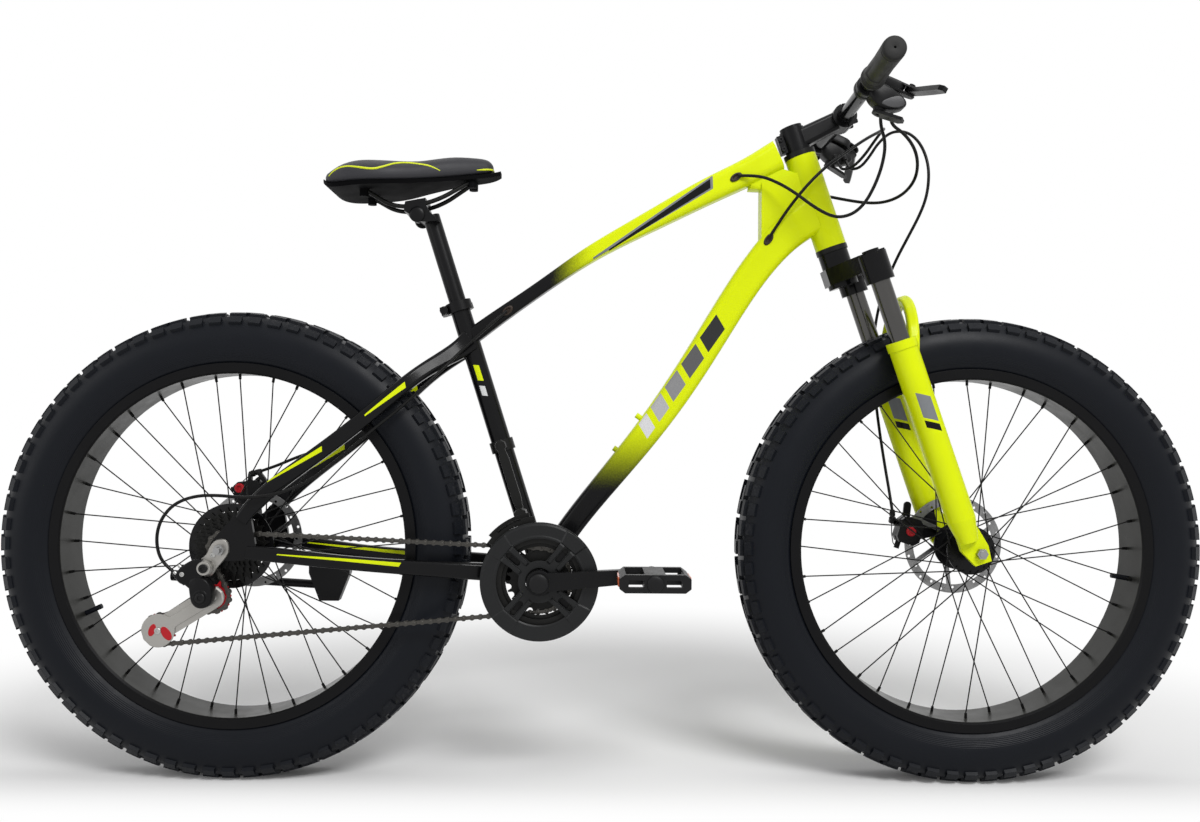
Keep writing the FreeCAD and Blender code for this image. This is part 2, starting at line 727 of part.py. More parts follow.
def chain_wheels(cage_angle):
    """The four wheels of the chain's loop in travel order, with teeth."""
    guide = (REAR_AXLE.x + GUIDE_FROM_AXLE[0], REAR_AXLE.z + GUIDE_FROM_AXLE[1])
    reach = polar(CAGE_LENGTH, cage_angle)
    tension = (guide[0] + reach[0], guide[1] + reach[1])
    places = [(BB.x, BB.z, RING_TEETH[0], -1), (tension[0], tension[1], PULLEY_TEETH, -1),
              (guide[0], guide[1], PULLEY_TEETH, 1), (REAR_AXLE.x, REAR_AXLE.z, COG_TEETH[-1], -1)]
    return [(x, z, pitch_radius(teeth), sense, teeth) for x, z, teeth, sense in places]


def chain_stretches(cage_angle):
    """Arcs and straight runs of the chain's loop, each with its length in pitches."""
    wheels = chain_wheels(cage_angle)
    count = len(wheels)
    lines = [tangent(wheels[k][:4], wheels[(k + 1) % count][:4]) for k in range(count)]
    stretches = []
    for k, (x, z, radius, sense, teeth) in enumerate(wheels):
        arrive, leave = lines[k - 1][1], lines[k][0]
        start = math.atan2(arrive[1] - z, arrive[0] - x)
        end = math.atan2(leave[1] - z, leave[0] - x)
        sweep = (sense * (end - start)) % (2 * math.pi)
        stretches.append(("arc", k, start, sweep * teeth / (2 * math.pi)))
        a, b = lines[k]
        stretches.append(("run", a, b, math.hypot(b[0] - a[0], b[1] - a[1]) / PITCH))
    return wheels, stretches


def chain_pitches(cage_angle):
    """Length of the chain's loop in pitches."""
    return sum(stretch[3] for stretch in chain_stretches(cage_angle)[1])


def fitted_cage_angle():
    """Cage angle at which the loop holds a whole chain."""
    low, high = 180.0, 260.0
    rising = chain_pitches(high) > chain_pitches(low)
    for _ in range(60):
        middle = (low + high) / 2
        if (chain_pitches(middle) < CHAIN_LINKS) == rising:
            low = middle
        else:
            high = middle
    return (low + high) / 2


CAGE_ANGLE = fitted_cage_angle()


def chain_pins():
    """Pin centres round the loop, and the tooth phase of each wheel."""
    wheels, stretches = chain_stretches(CAGE_ANGLE)
    pins = []
    phases = {}
    travelled = 0.0
    for kind, first, second, pitches in stretches:
        while len(pins) < CHAIN_LINKS and len(pins) <= travelled + pitches:
            share = len(pins) - travelled
            if kind == "run":
                t = share / pitches
                pins.append((first[0] + (second[0] - first[0]) * t, first[1] + (second[1] - first[1]) * t))
            else:
                x, z, radius, sense, teeth = wheels[first]
                angle = second + sense * share * 2 * math.pi / teeth
                pins.append((x + radius * math.cos(angle), z + radius * math.sin(angle)))
                phases[first] = math.degrees(angle)
        travelled += pitches
    return pins, phases


PINS, PHASES = chain_pins()
RING_WHEEL, TENSION_WHEEL, GUIDE_WHEEL, COG_WHEEL = range(4)


def chain_link(outer):
    """One link lying along +X from its first pin, about Y = 0."""
    inside = CHAIN_INNER_HALF + (PLATE_THICKNESS + RUN_FIT if outer else 0)
    shapes = []
    for side in (1, -1):
        low, high = sorted((side * inside, side * (inside + PLATE_THICKNESS)))
        shapes.append(link_plate((0, 0), (PITCH, 0), PLATE_RADIUS, low, high))
    for x in (0, PITCH):
        half = PIN_HALF if outer else inside
        shapes.append(cross_rod(x, 0, -half, half, PIN_RADIUS if outer else ROLLER_RADIUS))
    link = joined(shapes)
    if outer:
        return link
    return link.cut([cross_rod(x, 0, -PIN_HALF, PIN_HALF, BUSH_BORE) for x in (0, PITCH)])


def chain():
    """All the links round the loop, inner and outer by turns."""
    kinds = [chain_link(False), chain_link(True)]
    links = []
    for k, (x, z) in enumerate(PINS):
        next_x, next_z = PINS[(k + 1) % len(PINS)]
        heading = math.degrees(math.atan2(next_z - z, next_x - x))
        links.append(shifted(turned(kinds[k % 2], ORIGIN, -heading), vec(x, CHAIN_FACE, z)))
    return Part.Compound(links)


def chainrings():
    """Three toothed rings, and the spacers of the smallest one."""
    shapes = []
    for k, teeth in enumerate(RING_TEETH):
        half = SPROCKET_THICKNESS / 2
        phase = PHASES[RING_WHEEL] if k == 0 else 0
        face = RING_FACES[k]
        ring = sprocket(teeth, RING_BORES[k], face - half, face + half, phase)
        shapes.append(ring)
    spacers = []
    for k in range(4):
        x, z = polar(RING_BORES[0] + 6, 45 + 90 * k + CRANK_ANGLE)
        spacers.append(cross_rod(x, z, SPIDER_FACES[0], RING_FACES[0], 4.5))
    shapes[0] = joined([shapes[0]] + spacers)
    return shifted(Part.Compound(shapes), BB)


def freewheel():
    """Seven cogs on one body, with tooth gaps under the chain on the smallest."""
    shapes = []
    half = SPROCKET_THICKNESS / 2
    count = len(COG_TEETH)
    for k, teeth in enumerate(COG_TEETH):
        face = CHAIN_FACE + COG_STEP * (count - 1 - k)
        phase = PHASES[COG_WHEEL] if k == count - 1 else 0
        shapes.append(sprocket(teeth, FREEWHEEL_BORE + RUN_FIT, face - half, face + half, phase))
    inner = PROTECTOR_FACE - PROTECTOR_THICKNESS - BODY_GAP
    outer = CHAIN_FACE - half - 2
    shapes.append(pipe(vec(0, inner, 0), vec(0, outer, 0), FREEWHEEL_RADIUS, FREEWHEEL_BORE + RUN_FIT))
    return shifted(joined(shapes), REAR_AXLE)


def pulley(wheel):
    """Jockey pulley on its cage pin."""
    x, z = chain_wheels(CAGE_ANGLE)[wheel][:2]
    half = SPROCKET_THICKNESS / 2
    toothed = sprocket(PULLEY_TEETH, PULLEY_AXLE_RADIUS + RUN_FIT, -half, half, PHASES[wheel])
    boss_half = CAGE_HALF_WIDTH - BODY_GAP
    boss = pipe(vec(0, -boss_half, 0), vec(0, boss_half, 0), 7, PULLEY_AXLE_RADIUS + RUN_FIT)
    holes = []
    for k in range(5):
        a, b = polar(13, 72 * k)
        holes.append(cross_rod(a, b, -half, half, 3.2))
    return shifted(joined([toothed, boss]).cut(holes), vec(x, CHAIN_FACE, z))


def wheel_place(wheel):
    """Centre of one of the chain's wheels, in X and Z."""
    return chain_wheels(CAGE_ANGLE)[wheel][:2]


def cage_pivot():
    """Axis of the cage's swing, in X and Z."""
    guide = wheel_place(GUIDE_WHEEL)
    return guide[0] + CAGE_PIVOT_FROM_GUIDE[0], guide[1] + CAGE_PIVOT_FROM_GUIDE[1]


def derailleur_cage():
    """Two windowed plates that carry the pulleys on pins."""
    guide, tension = wheel_place(GUIDE_WHEEL), wheel_place(TENSION_WHEEL)
    outer = CHAIN_FACE - CAGE_HALF_WIDTH
    inner = CHAIN_FACE + CAGE_HALF_WIDTH
    plates = [link_plate(guide, tension, CAGE_RADIUS, outer - CAGE_PLATE, outer),
              link_plate(guide, tension, CAGE_RADIUS - 3, inner, inner + CAGE_PLATE)]
    pins = [cross_rod(x, z, outer - CAGE_PLATE, inner + CAGE_PLATE, PULLEY_AXLE_RADIUS) for x, z in (guide, tension)]
    middle = ((guide[0] + tension[0]) / 2, (guide[1] + tension[1]) / 2)
    toward = ((tension[0] - guide[0]) / CAGE_LENGTH, (tension[1] - guide[1]) / CAGE_LENGTH)
    slot_ends = [(middle[0] + toward[0] * d, middle[1] + toward[1] * d) for d in (-16, 16)]
    window = link_plate(slot_ends[0], slot_ends[1], 7, outer - CAGE_PLATE, inner + CAGE_PLATE)
    x, z = cage_pivot()
    bore = cross_rod(x, z, outer - CAGE_PLATE, outer, CAGE_PIVOT_RADIUS + RUN_FIT)
    holes = []
    for cx, cz in (guide, tension):
        for angle in (CAGE_ANGLE + 90, CAGE_ANGLE - 90):
            a, b = polar(9.5, angle)
            holes.append(cross_rod(cx + a, cz + b, outer - CAGE_PLATE, outer, 3.5))
    return joined(plates + pins).cut([window, bore] + holes[1:])


# Rear derailleur and hanger

def rear_derailleur():
    """Claw hanger under the axle nut, and the derailleur body with its barrel adjuster."""
    face = -DROPOUT_FACE - DROPOUT_THICKNESS
    hanger_face = face - 3
    x, z = REAR_AXLE.x, REAR_AXLE.z
    outline = [(x + 14, z + 20), (x - 10, z + 18), (x - 32, z - 16), (x - 27, z - 39), (x - 12, z - 39), (x + 10, z - 14)]
    hanger = plate(outline, hanger_face, face).cut(cross_rod(x, z, hanger_face, face, AXLE_RADIUS))
    upper = (x - 20, z - 27)
    lower = cage_pivot()
    outer = hanger_face - 14
    knuckle = cross_rod(upper[0], upper[1], outer, hanger_face, 10)
    link = link_plate(upper, lower, 9, outer, outer + 8)
    cage_face = CHAIN_FACE - CAGE_HALF_WIDTH - CAGE_PLATE
    pivot = cross_rod(lower[0], lower[1], outer, cage_face - BODY_GAP, 12)
    pin = cross_rod(lower[0], lower[1], outer, cage_face + CAGE_PLATE, CAGE_PIVOT_RADIUS)
    barrel = rod(vec(lower[0], outer + 6, lower[1] + 4), vec(lower[0] - 44, outer + 10, lower[1] + 38), 4.5)
    return Part.Compound([hanger, joined([knuckle, link, pivot, pin, barrel])])


def front_derailleur():
    """Band on the seat tube, link arm and curved cage over the rings."""
    band_low, band_high = 206, 224
    band = pipe(vec(0, 0, band_low), vec(0, 0, band_high), SEAT_TUBE_RADIUS + 3.5, SEAT_TUBE_RADIUS)
    lug = block(vec(-10, -42, band_low), vec(10, -SEAT_TUBE_RADIUS - 2, band_high))
    tube = rod(vec(0, 0, 0), vec(0, 0, SEAT_TOP), SEAT_TUBE_RADIUS)
    band = seated(joined([band, lug]).cut(tube), SEAT)
    inner = CHAIN_FACE + CAGE_HALF_WIDTH + BODY_GAP
    outer = CHAIN_FACE - CAGE_HALF_WIDTH - BODY_GAP
    plates = [ring_sector(93, 118, 100, 138, inner, inner + CAGE_PLATE),
              ring_sector(93, 112, 97, 142, outer - CAGE_PLATE, outer),
              ring_sector(107, 112, 112, 128, outer - CAGE_PLATE, inner + CAGE_PLATE)]
    hinge = SEAT.multVec(vec(0, 0, (band_low + band_high) / 2)) - BB
    foot = polar(114, 118)
    arm = link_plate((hinge.x, hinge.z), foot, 8, -42, -35)
    bridge = cross_rod(foot[0], foot[1], inner + CAGE_PLATE, -35, 8)
    cage = shifted(joined(plates + [arm, bridge]), BB)
    return joined([band, cage])


# Cranks, guard and pedals

def crank_arm(side):
    """Tapered crank arm with pedal spindle, along local +X on the right and -X on the left."""
    inner, outer = side * CRANK_FACE, side * (CRANK_FACE + CRANK_THICKNESS)
    low, high = min(inner, outer), max(inner, outer)
    reach = -side * CRANK_LENGTH
    boss = cross_rod(0, 0, low, high, 19)
    eye = cross_rod(reach, 0, low, high, 12)
    web = plate([(0, 14), (reach, 10), (reach, -10), (0, -14)], low, high)
    spindle_end = side * (CRANK_FACE + CRANK_THICKNESS + PEDAL_WIDTH - 4)
    spindle = cross_rod(reach, 0, min(inner, spindle_end), max(inner, spindle_end), PEDAL_SPINDLE_RADIUS)
    cap = cross_rod(0, 0, min(outer, outer + side * 3), max(outer, outer + side * 3), 11)
    return [boss, eye, web, spindle, cap]


def right_crank():
    """Right arm with its four-armed spider."""
    shapes = crank_arm(-1)
    shapes.append(cross_rod(0, 0, -CRANK_FACE, SPIDER_FACES[0] + 4, 17))
    for k in range(4):
        x, z = polar(SPIDER_REACH, 45 + 90 * k)
        shapes.append(link_plate((0, 0), (x, z), 8, SPIDER_FACES[1], SPIDER_FACES[0]))
    socket = cross_rod(0, 0, -CRANK_FACE - 4, 0, SPINDLE_RADIUS)
    return seated(joined(shapes).cut(socket), CRANKS)


def left_crank():
    """Left arm and the spindle that both arms are pressed on."""
    socket = cross_rod(0, 0, 0, CRANK_FACE + 4, SPINDLE_RADIUS)
    arm = joined(crank_arm(1) + [cross_rod(0, 0, CRANK_FACE - 12, CRANK_FACE, 17)]).cut(socket)
    spindle = cross_rod(0, 0, -CRANK_FACE - 4, CRANK_FACE + 4, SPINDLE_RADIUS)
    return seated(Part.Compound([arm, spindle]), CRANKS)


def chain_guard():
    """Open plastic disc outside the rings: a band, crossed slotted spokes and four bosses."""
    high, low = GUARD_FACES
    band_inner = GUARD_RADIUS - GUARD_BAND
    shapes = [cross_rod(0, 0, low, high, GUARD_RADIUS).cut(cross_rod(0, 0, low, high, band_inner)),
              cross_rod(0, 0, low, high, 32)]
    slots = [cross_rod(0, 0, low, high, 21)]
    for k in range(4):
        angle = 45 + 90 * k
        shapes.append(link_plate(polar(20, angle), polar(band_inner + 3, angle), 13, low, high))
        slots.append(link_plate(polar(44, angle), polar(band_inner - 6, angle), 4.5, low, high))
        x, z = polar(GUARD_BOSS_CIRCLE, angle)
        shapes.append(cross_rod(x, z, low, RING_FACES[-1] - SPROCKET_THICKNESS / 2, 5))
    return seated(joined(shapes).cut(slots), CRANKS)


def pedal(side):
    """Platform pedal: a caged frame about a barrel that runs on the crank's spindle."""
    near = CRANK_FACE + CRANK_THICKNESS + BODY_GAP
    far = near + PEDAL_WIDTH
    half_length, half_height = PEDAL_LENGTH / 2, PEDAL_THICKNESS / 2
    frame = plate([(-half_length, -half_height + 6), (-half_length, half_height - 6), (-half_length + 8, half_height),
                   (half_length - 8, half_height), (half_length, half_height - 6), (half_length, -half_height + 6),
                   (half_length - 8, -half_height), (-half_length + 8, -half_height)], near, far)
    windows = []
    for sign in (1, -1):
        low_x, high_x = sorted((sign * 15, sign * (half_length - PEDAL_RAIL)))
        windows.append(block(vec(low_x, near + PEDAL_RAIL, -half_height), vec(high_x, far - PEDAL_RAIL, half_height)))
        ends = sorted((sign * 16, sign * (half_length - PEDAL_RAIL - 4)))
        windows.append(block(vec(ends[0], near, -5), vec(ends[1], far, 5)))
    bore = cross_rod(0, 0, near, far - 3, PEDAL_SPINDLE_RADIUS + RUN_FIT)
    shape = frame.cut(windows + [bore])
    centre = vec(CRANK_LENGTH, 0, 0)
    if side > 0:
        shape = shifted(shape, -centre)
    else:
        shape = shifted(mirrored(shape), centre)
    level = turned(shape, centre * -side, CRANK_ANGLE)
    return seated(level, CRANKS)


# Frame tubes

def head_tube_solid(radius):
    """Solid bar along the head tube, for the tube and for the mitres against it."""
    return seated(rod(vec(0, 0, AXLE_TO_HEAD_TUBE), vec(0, 0, HEAD_TOP), radius), FORK)


def head_tube():
    """Open head tube."""
    return head_tube_solid(HEAD_TUBE_RADIUS).cut(head_tube_solid(HEAD_TUBE_RADIUS - HEAD_TUBE_WALL))


def head_clearance():
    """Solid bar along the head tube and past both of its ends."""
    beyond = HEAD_TUBE_LENGTH / 2
    low, high = vec(0, 0, AXLE_TO_HEAD_TUBE - beyond), vec(0, 0, HEAD_TOP + beyond)
    return seated(rod(low, high, HEAD_TUBE_RADIUS), FORK)


def seat_tube_solid(radius):
    """Solid bar along the seat tube."""
    return seated(rod(vec(0, 0, 0), vec(0, 0, SEAT_TOP), radius), SEAT)


def shell_solid(radius):
    """Solid bar along the bottom bracket shell."""
    half = BB_SHELL_WIDTH / 2
    return shifted(cross_rod(0, 0, -half, half, radius), BB)


def shell_clearance():
    """Solid bar along the bottom bracket shell and past both of its ends."""
    return shifted(cross_rod(0, 0, -BB_SHELL_WIDTH, BB_SHELL_WIDTH, BB_SHELL_RADIUS), BB)


def seat_tube():
    """Seat tube welded on the bottom bracket shell."""
    outer = joined([seat_tube_solid(SEAT_TUBE_RADIUS), shell_solid(BB_SHELL_RADIUS)])
    return outer.cut([seat_tube_solid(SEATPOST_RADIUS + RUN_FIT), shell_solid(BB_BORE)])


def bearing_cups():
    """Headset cups in the head tube and bearing cups in the bottom bracket shell."""
    bore = STEERER_RADIUS + RUN_FIT
    spigot = HEAD_TUBE_RADIUS - HEAD_TUBE_WALL
    cups = []
    for face, away in ((AXLE_TO_HEAD_TUBE, -1), (HEAD_TOP, 1)):
        lip = rod(vec(0, 0, face), vec(0, 0, face + away * CUP_HEIGHT), HEAD_TUBE_RADIUS + 0.5)
        neck = rod(vec(0, 0, face - away * CUP_SPIGOT), vec(0, 0, face), spigot)
        hole = rod(vec(0, 0, face - 30), vec(0, 0, face + 30), bore)
        cups.append(seated(joined([lip, neck]).cut(hole), FORK))
    half = BB_SHELL_WIDTH / 2
    for side in (1, -1):
        neck = cross_rod(0, 0, min(side * 30, side * half), max(side * 30, side * half), BB_BORE)
        lip = cross_rod(0, 0, min(side * half, side * (half + 3)), max(side * half, side * (half + 3)), BB_SHELL_RADIUS - 1)
        hole = cross_rod(0, 0, -half - 5, half + 5, SPINDLE_RADIUS + RUN_FIT)
        cups.append(shifted(joined([neck, lip]).cut(hole), BB))
    return Part.Compound(cups)


def between(start, end, share, rise=0.0):
    """Point on the way between two points, lifted by a rise."""
    return start + (end - start) * share + vec(0, 0, rise)


HEAD_REAR = FORK.multVec(vec(0, 0, AXLE_TO_HEAD_TUBE + 150))
TOP_REAR = SEAT.multVec(vec(0, 0, 400))
DOWN_FRONT = FORK.multVec(vec(0, 0, AXLE_TO_HEAD_TUBE + 96))
DOWN_END = FORK.multVec(vec(6, 0, AXLE_TO_HEAD_TUBE + 62))


def top_tube_stations():
    """Sections of the top tube, slim in the middle and deep at the head."""
    along = TOP_REAR - HEAD_REAR
    rows = [(0.0, 22, 22, 24.5), (0.137, 25, 22, 22), (0.276, 28, 21, 20), (0.415, 28.5, 19, 17), (0.553, 28, 17, 13.7),
            (0.635, 26, 16, 12.3), (0.723, 19.5, 15, 11), (0.826, 10, 14, 10.8), (0.94, -1, 14, 12.5), (1.0, -6, 14, 13.5)]
    return [(between(HEAD_REAR, TOP_REAR, t, rise), along, w, h, min(w, h) * 0.55) for t, rise, w, h in rows]


def down_tube_stations():
    """Sections of the down tube, deeper and bent down where it meets the head tube."""
    points = [BB, between(BB, DOWN_FRONT, 0.245), between(BB, DOWN_FRONT, 0.686), between(BB, DOWN_FRONT, 0.837),
              DOWN_END]
    sizes = [(19, 19.5), (21, 19.5), (24, 23.5), (25, 25.5), (22, 33)]
    return [(c, d, w, h, 11) for c, d, w, h, r in stay_stations(points, sizes)]


def head_gusset():
    """Welded box between the top and down tubes behind the head tube."""
    rear = FORK.multVec(vec(-99, 0, AXLE_TO_HEAD_TUBE + 66))
    top = FORK.multVec(vec(-99, 0, AXLE_TO_HEAD_TUBE + 140))
    front = FORK.multVec(vec(0, 0, AXLE_TO_HEAD_TUBE + 50))
    front_top = FORK.multVec(vec(0, 0, AXLE_TO_HEAD_TUBE + 130))
    return plate([(rear.x, rear.z - 30), (rear.x, top.z), (front_top.x, front_top.z), (front.x, front.z)], -18, 18)


def top_tube():
    """Top tube with its horn behind the head tube and the gusset under it."""
    stations = top_tube_stations()
    horn = FORK.multVec(vec(-38, 0, AXLE_TO_HEAD_TUBE + 187))
    notch = FORK.multVec(vec(-33, 0, AXLE_TO_HEAD_TUBE + 141))
    beyond = 200
    corner = plate([(horn.x, horn.z), (notch.x, notch.z), (notch.x + beyond, notch.z), (notch.x + beyond, horn.z + beyond),
                    (horn.x, horn.z + beyond)], -beyond, beyond)
    mitres = [head_tube_solid(HEAD_TUBE_RADIUS), seat_tube_solid(SEAT_TUBE_RADIUS), corner]
    tube = tube_loft(stations).cut(mitres)
    gusset = head_gusset().cut([loft(stations), loft(down_tube_stations()), head_tube_solid(HEAD_TUBE_RADIUS)])
    return joined([largest(tube), largest(gusset)])


def bottle_bosses():
    """Two threaded inserts in a line on the down tube's upper face, as (outside, bore)."""
    along = (DOWN_FRONT - BB).normalize()
    up = vec(-along.z, 0, along.x)
    solids, bores = [], []
    for k in range(2):
        foot = BB + along * (BOSS_START + BOSS_SPACING * k)
        top = foot + up * (20 + BOSS_HEIGHT + (BOSS_START + BOSS_SPACING * k - 180) * 0.012)
        solids.append(rod(top - up * BOSS_DEPTH, top, BOSS_RADIUS))
        bores.append(rod(top - up * BOSS_DEPTH, top, BOSS_BORE))
    return solids, bores


def down_tube():
    """Down tube with two threaded bottle-cage bosses."""
    stations = down_tube_stations()
    tube = largest(tube_loft(stations).cut([head_clearance(), shell_clearance(), seat_tube_solid(SEAT_TUBE_RADIUS)]))
    solids, bores = bottle_bosses()
    return joined([tube] + solids).cut(bores)


def dropout(side):
    """Flat dropout plate that the stays are welded on, with the axle's hole."""
    x, z = REAR_AXLE.x, REAR_AXLE.z
    low, high = sorted((side * DROPOUT_FACE, side * (DROPOUT_FACE + DROPOUT_THICKNESS)))
    outline = [(x + 46, z - 16), (x + 52, z + 8), (x + 44, z + 52), (x + 22, z + 54), (x - 14, z + 12),
               (x - 16, z - 10), (x - 4, z - 18)]
    return plate(outline, low, high).cut(cross_rod(x, z, low, high, AXLE_RADIUS))


def stay_stations(points, sizes):
    """Sections along a stay, each square to the run about it."""
    stations = []
    for k, (point, (w, h)) in enumerate(zip(points, sizes)):
        before, after = points[max(k - 1, 0)], points[min(k + 1, len(points) - 1)]
        stations.append((point, after - before, w, h, min(w, h) * 0.7))
    return stations


def left_chainstay():
    """Chainstay and dropout on the left, bowed out round the tyre."""
    x, z = REAR_AXLE.x, REAR_AXLE.z
    face = DROPOUT_FACE + 3
    points = [vec(BB.x - 10, 36, BB.z + 4), vec(BB.x - 62, 54, BB.z + 8), vec(BB.x - 116, 65, BB.z + 12),
              vec(x + 250, 72, z - 26), vec(x + 110, 83, z - 12), vec(x + 38, face, z - 5)]
    sizes = [(9, 15), (9, 14), (8.5, 13), (8.5, 11), (8.5, 11), (8, 11)]
    stay = largest(loft(stay_stations(points, sizes)).cut([shell_clearance(), dropout(1)]))
    return joined([stay, dropout(1)])


def left_seatstay():
    """Seatstay on the left, from the dropout to the seat tube."""
    x, z = REAR_AXLE.x, REAR_AXLE.z
    face = DROPOUT_FACE + 4
    top = SEAT.multVec(vec(0, 0, 386))
    points = [vec(x + 30, face, z + 44), vec(x + 52, 87, z + 72), vec(x + 117, 80, z + 127), vec(x + 189, 72, z + 183),
              vec(x + 245, 66, z + 231), vec(x + 290, 49, z + 270), vec(top.x - 30, 22, top.z - 21), vec(top.x, 10.5, top.z + 4)]
    sizes = [(8, 11), (8, 12), (8, 12), (8, 12), (8, 12), (9, 12), (9, 14), (9, 18)]
    stay = loft(stay_stations(points, sizes))
    return largest(stay.cut([seat_tube_solid(SEAT_TUBE_RADIUS), dropout(1)]))


# Fork

def fork_crown():
    """Forged crown with stanchion sockets, fused with the steerer tube."""
    top = CROWN_LOW + CROWN_HEIGHT
    race = AXLE_TO_HEAD_TUBE - CUP_HEIGHT - BODY_GAP
    spread, offset = STANCHION_SPREAD, STANCHION_OFFSET
    sockets = [rod(vec(offset, side * spread, CROWN_LOW), vec(offset, side * spread, top), CROWN_SOCKET_RADIUS)
               for side in (1, -1)]
    plan = [(-25, -20), (offset - 21, -spread - 4), (offset + 21, -spread - 4), (40, -20), (40, 20),
            (offset + 21, spread + 4), (offset - 21, spread + 4), (-25, 20)]
    bridge = slab(plan, CROWN_LOW + 21, top + 3)
    boss = rod(vec(0, 0, CROWN_LOW + 14), vec(0, 0, race), HEAD_TUBE_RADIUS - 1)
    steerer = rod(vec(0, 0, CROWN_LOW + 14), vec(0, 0, STEM_TOP), STEERER_RADIUS)
    caps = [rod(vec(offset, side * spread, top), vec(offset, side * spread, top + 6), 13) for side in (1, -1)]
    bores = [rod(vec(offset, side * spread, CROWN_LOW), vec(offset, side * spread, top - 5), STANCHION_RADIUS)
             for side in (1, -1)]
    bores.append(rod(vec(0, 0, CROWN_LOW), vec(0, 0, STEM_TOP), STEERER_RADIUS - STEERER_WALL))
    return seated(joined(sockets + [bridge, boss, steerer] + caps).cut(bores), FORK)


def fork_stanchions():
    """Two chromed inner legs."""
    top = CROWN_LOW + CROWN_HEIGHT - 5
    legs = []
    for side in (1, -1):
        foot = vec(STANCHION_OFFSET, side * STANCHION_SPREAD, STANCHION_FOOT)
        head = vec(STANCHION_OFFSET, side * STANCHION_SPREAD, top)
        legs.append(pipe(foot, head, STANCHION_RADIUS, STANCHION_RADIUS - STANCHION_WALL))
    return seated(Part.Compound(legs), FORK)


def fork_arch():
    """Brace over the tyre, in front of the stanchions."""
    count = 9
    stations = []
    for k in range(count):
        angle = math.radians(-90 + 180 * k / (count - 1))
        centre = vec(STANCHION_OFFSET + 12 + ARCH_REACH * math.cos(angle), (STANCHION_SPREAD - 2) * math.sin(angle),
                     LEG_TOP - 25 + ARCH_RISE * math.cos(angle))
        along = vec(-ARCH_REACH * math.sin(angle), STANCHION_SPREAD * math.cos(angle), -ARCH_RISE * math.sin(angle))
        wire = rounded_outline(ARCH_HALF_THICKNESS, ARCH_HALF_THICKNESS, ARCH_HALF_THICKNESS * 0.6)
        turn = FreeCAD.Rotation(vec(1, 0, 0), vec(0, 0, 0), along, "ZXY")
        wire.Placement = FreeCAD.Placement(centre, turn)
        stations.append(wire)
    return Part.makeLoft(stations, True, False)


def fork_lowers():
    """Two outer legs with dropouts, joined by the arch."""
    shapes = [fork_arch()]
    bores = []
    offset = STANCHION_OFFSET
    inner = FRONT_SPACING / 2
    for side in (1, -1):
        y = side * STANCHION_SPREAD
        shapes.append(rod(vec(offset, y, LEG_FOOT + 36), vec(offset, y, LEG_TOP - 14), LEG_RADIUS))
        shapes.append(rod(vec(offset, y, LEG_TOP - 14), vec(offset, y, LEG_TOP), LEG_RADIUS + 1.5))
        shapes.append(Part.makeCone(LEG_RADIUS - 7, LEG_RADIUS, 36, vec(offset, y, LEG_FOOT), vec(0, 0, 1)))
        low, high = sorted((side * inner, side * (inner + FORK_DROPOUT_THICKNESS)))
        tab = [(offset - 14, 64), (offset - 14, 12), (FORK_RAKE - 14, -16), (FORK_RAKE + 12, -16),
               (FORK_RAKE + 15, 8), (offset + 16, 64)]
        shapes.append(plate(tab, low, high))
        bores.append(cross_rod(FORK_RAKE, 0, low, high, AXLE_RADIUS))
        bores.append(rod(vec(offset, y, LEG_BORE_FLOOR), vec(offset, y, CROWN_LOW), STANCHION_RADIUS + SLIDE_FIT))
    return seated(joined(shapes).cut(bores), FORK)


# Cockpit

def stem():
    """Stem with its split faceplate, and the top cap over the steerer."""
    clamp = rod(vec(0, 0, STEM_LOW), vec(0, 0, STEM_TOP), STEM_CLAMP_RADIUS)
    ears = block(vec(-STEM_CLAMP_RADIUS - 8, -9, STEM_LOW + 4), vec(0, 9, STEM_TOP - 4))
    middle = (STEM_LOW + STEM_TOP) / 2
    along = vec(STEM_REACH, 0, BAR_HEIGHT - middle)
    body = loft([(vec(4, 0, middle), along, 17, 16, 7), (vec(STEM_REACH - 4, 0, BAR_HEIGHT), along, 15, 14, 6)])
    half = BAR_CLAMP_WIDTH / 2
    socket = cross_rod(STEM_REACH, BAR_HEIGHT, -half, half, BAR_CLAMP_RADIUS + 6.5)
    split = block(vec(STEM_REACH - 0.8, -half, BAR_HEIGHT - 40), vec(STEM_REACH + 0.8, half, BAR_HEIGHT + 40))
    slot = block(vec(-STEM_CLAMP_RADIUS - 10, -1, STEM_LOW), vec(-STEERER_RADIUS + 2, 1, STEM_TOP))
    bores = [rod(vec(0, 0, STEM_LOW), vec(0, 0, STEM_TOP), STEERER_RADIUS),
             cross_rod(STEM_REACH, BAR_HEIGHT, -half, half, BAR_CLAMP_RADIUS)]
    shape = joined([clamp, ears, body, socket]).cut(bores + [split, slot])
    cap = rod(vec(0, 0, STEM_TOP), vec(0, 0, STEM_TOP + TOP_CAP_HEIGHT), STEM_CLAMP_RADIUS - 2)
    return seated(Part.Compound(shape.Solids + [cap]), FORK)


def bar_points():
    """Bends and ends of the handlebar's centre line, from right to left."""
    x, z = BAR_CENTRE.x, BAR_CENTRE.z
    return [vec(x - BAR_SWEEP, -BAR_HALF_WIDTH, z), vec(x, -BAR_STRAIGHT, z), vec(x, BAR_STRAIGHT, z),
            vec(x - BAR_SWEEP, BAR_HALF_WIDTH, z)]


def handlebar_solid():
    """Handlebar without its bore."""
    half = BAR_CLAMP_WIDTH / 2 + 10
    sleeve = cross_rod(BAR_CENTRE.x, BAR_CENTRE.z, -half, half, BAR_CLAMP_RADIUS)
    return joined([bent_rod(bar_points(), BAR_RADIUS)[0], sleeve])


def handlebar():
    """Slightly swept tube with a thicker middle."""
    return handlebar_solid().cut(bent_rod(bar_points(), BAR_RADIUS - BAR_WALL)[0])


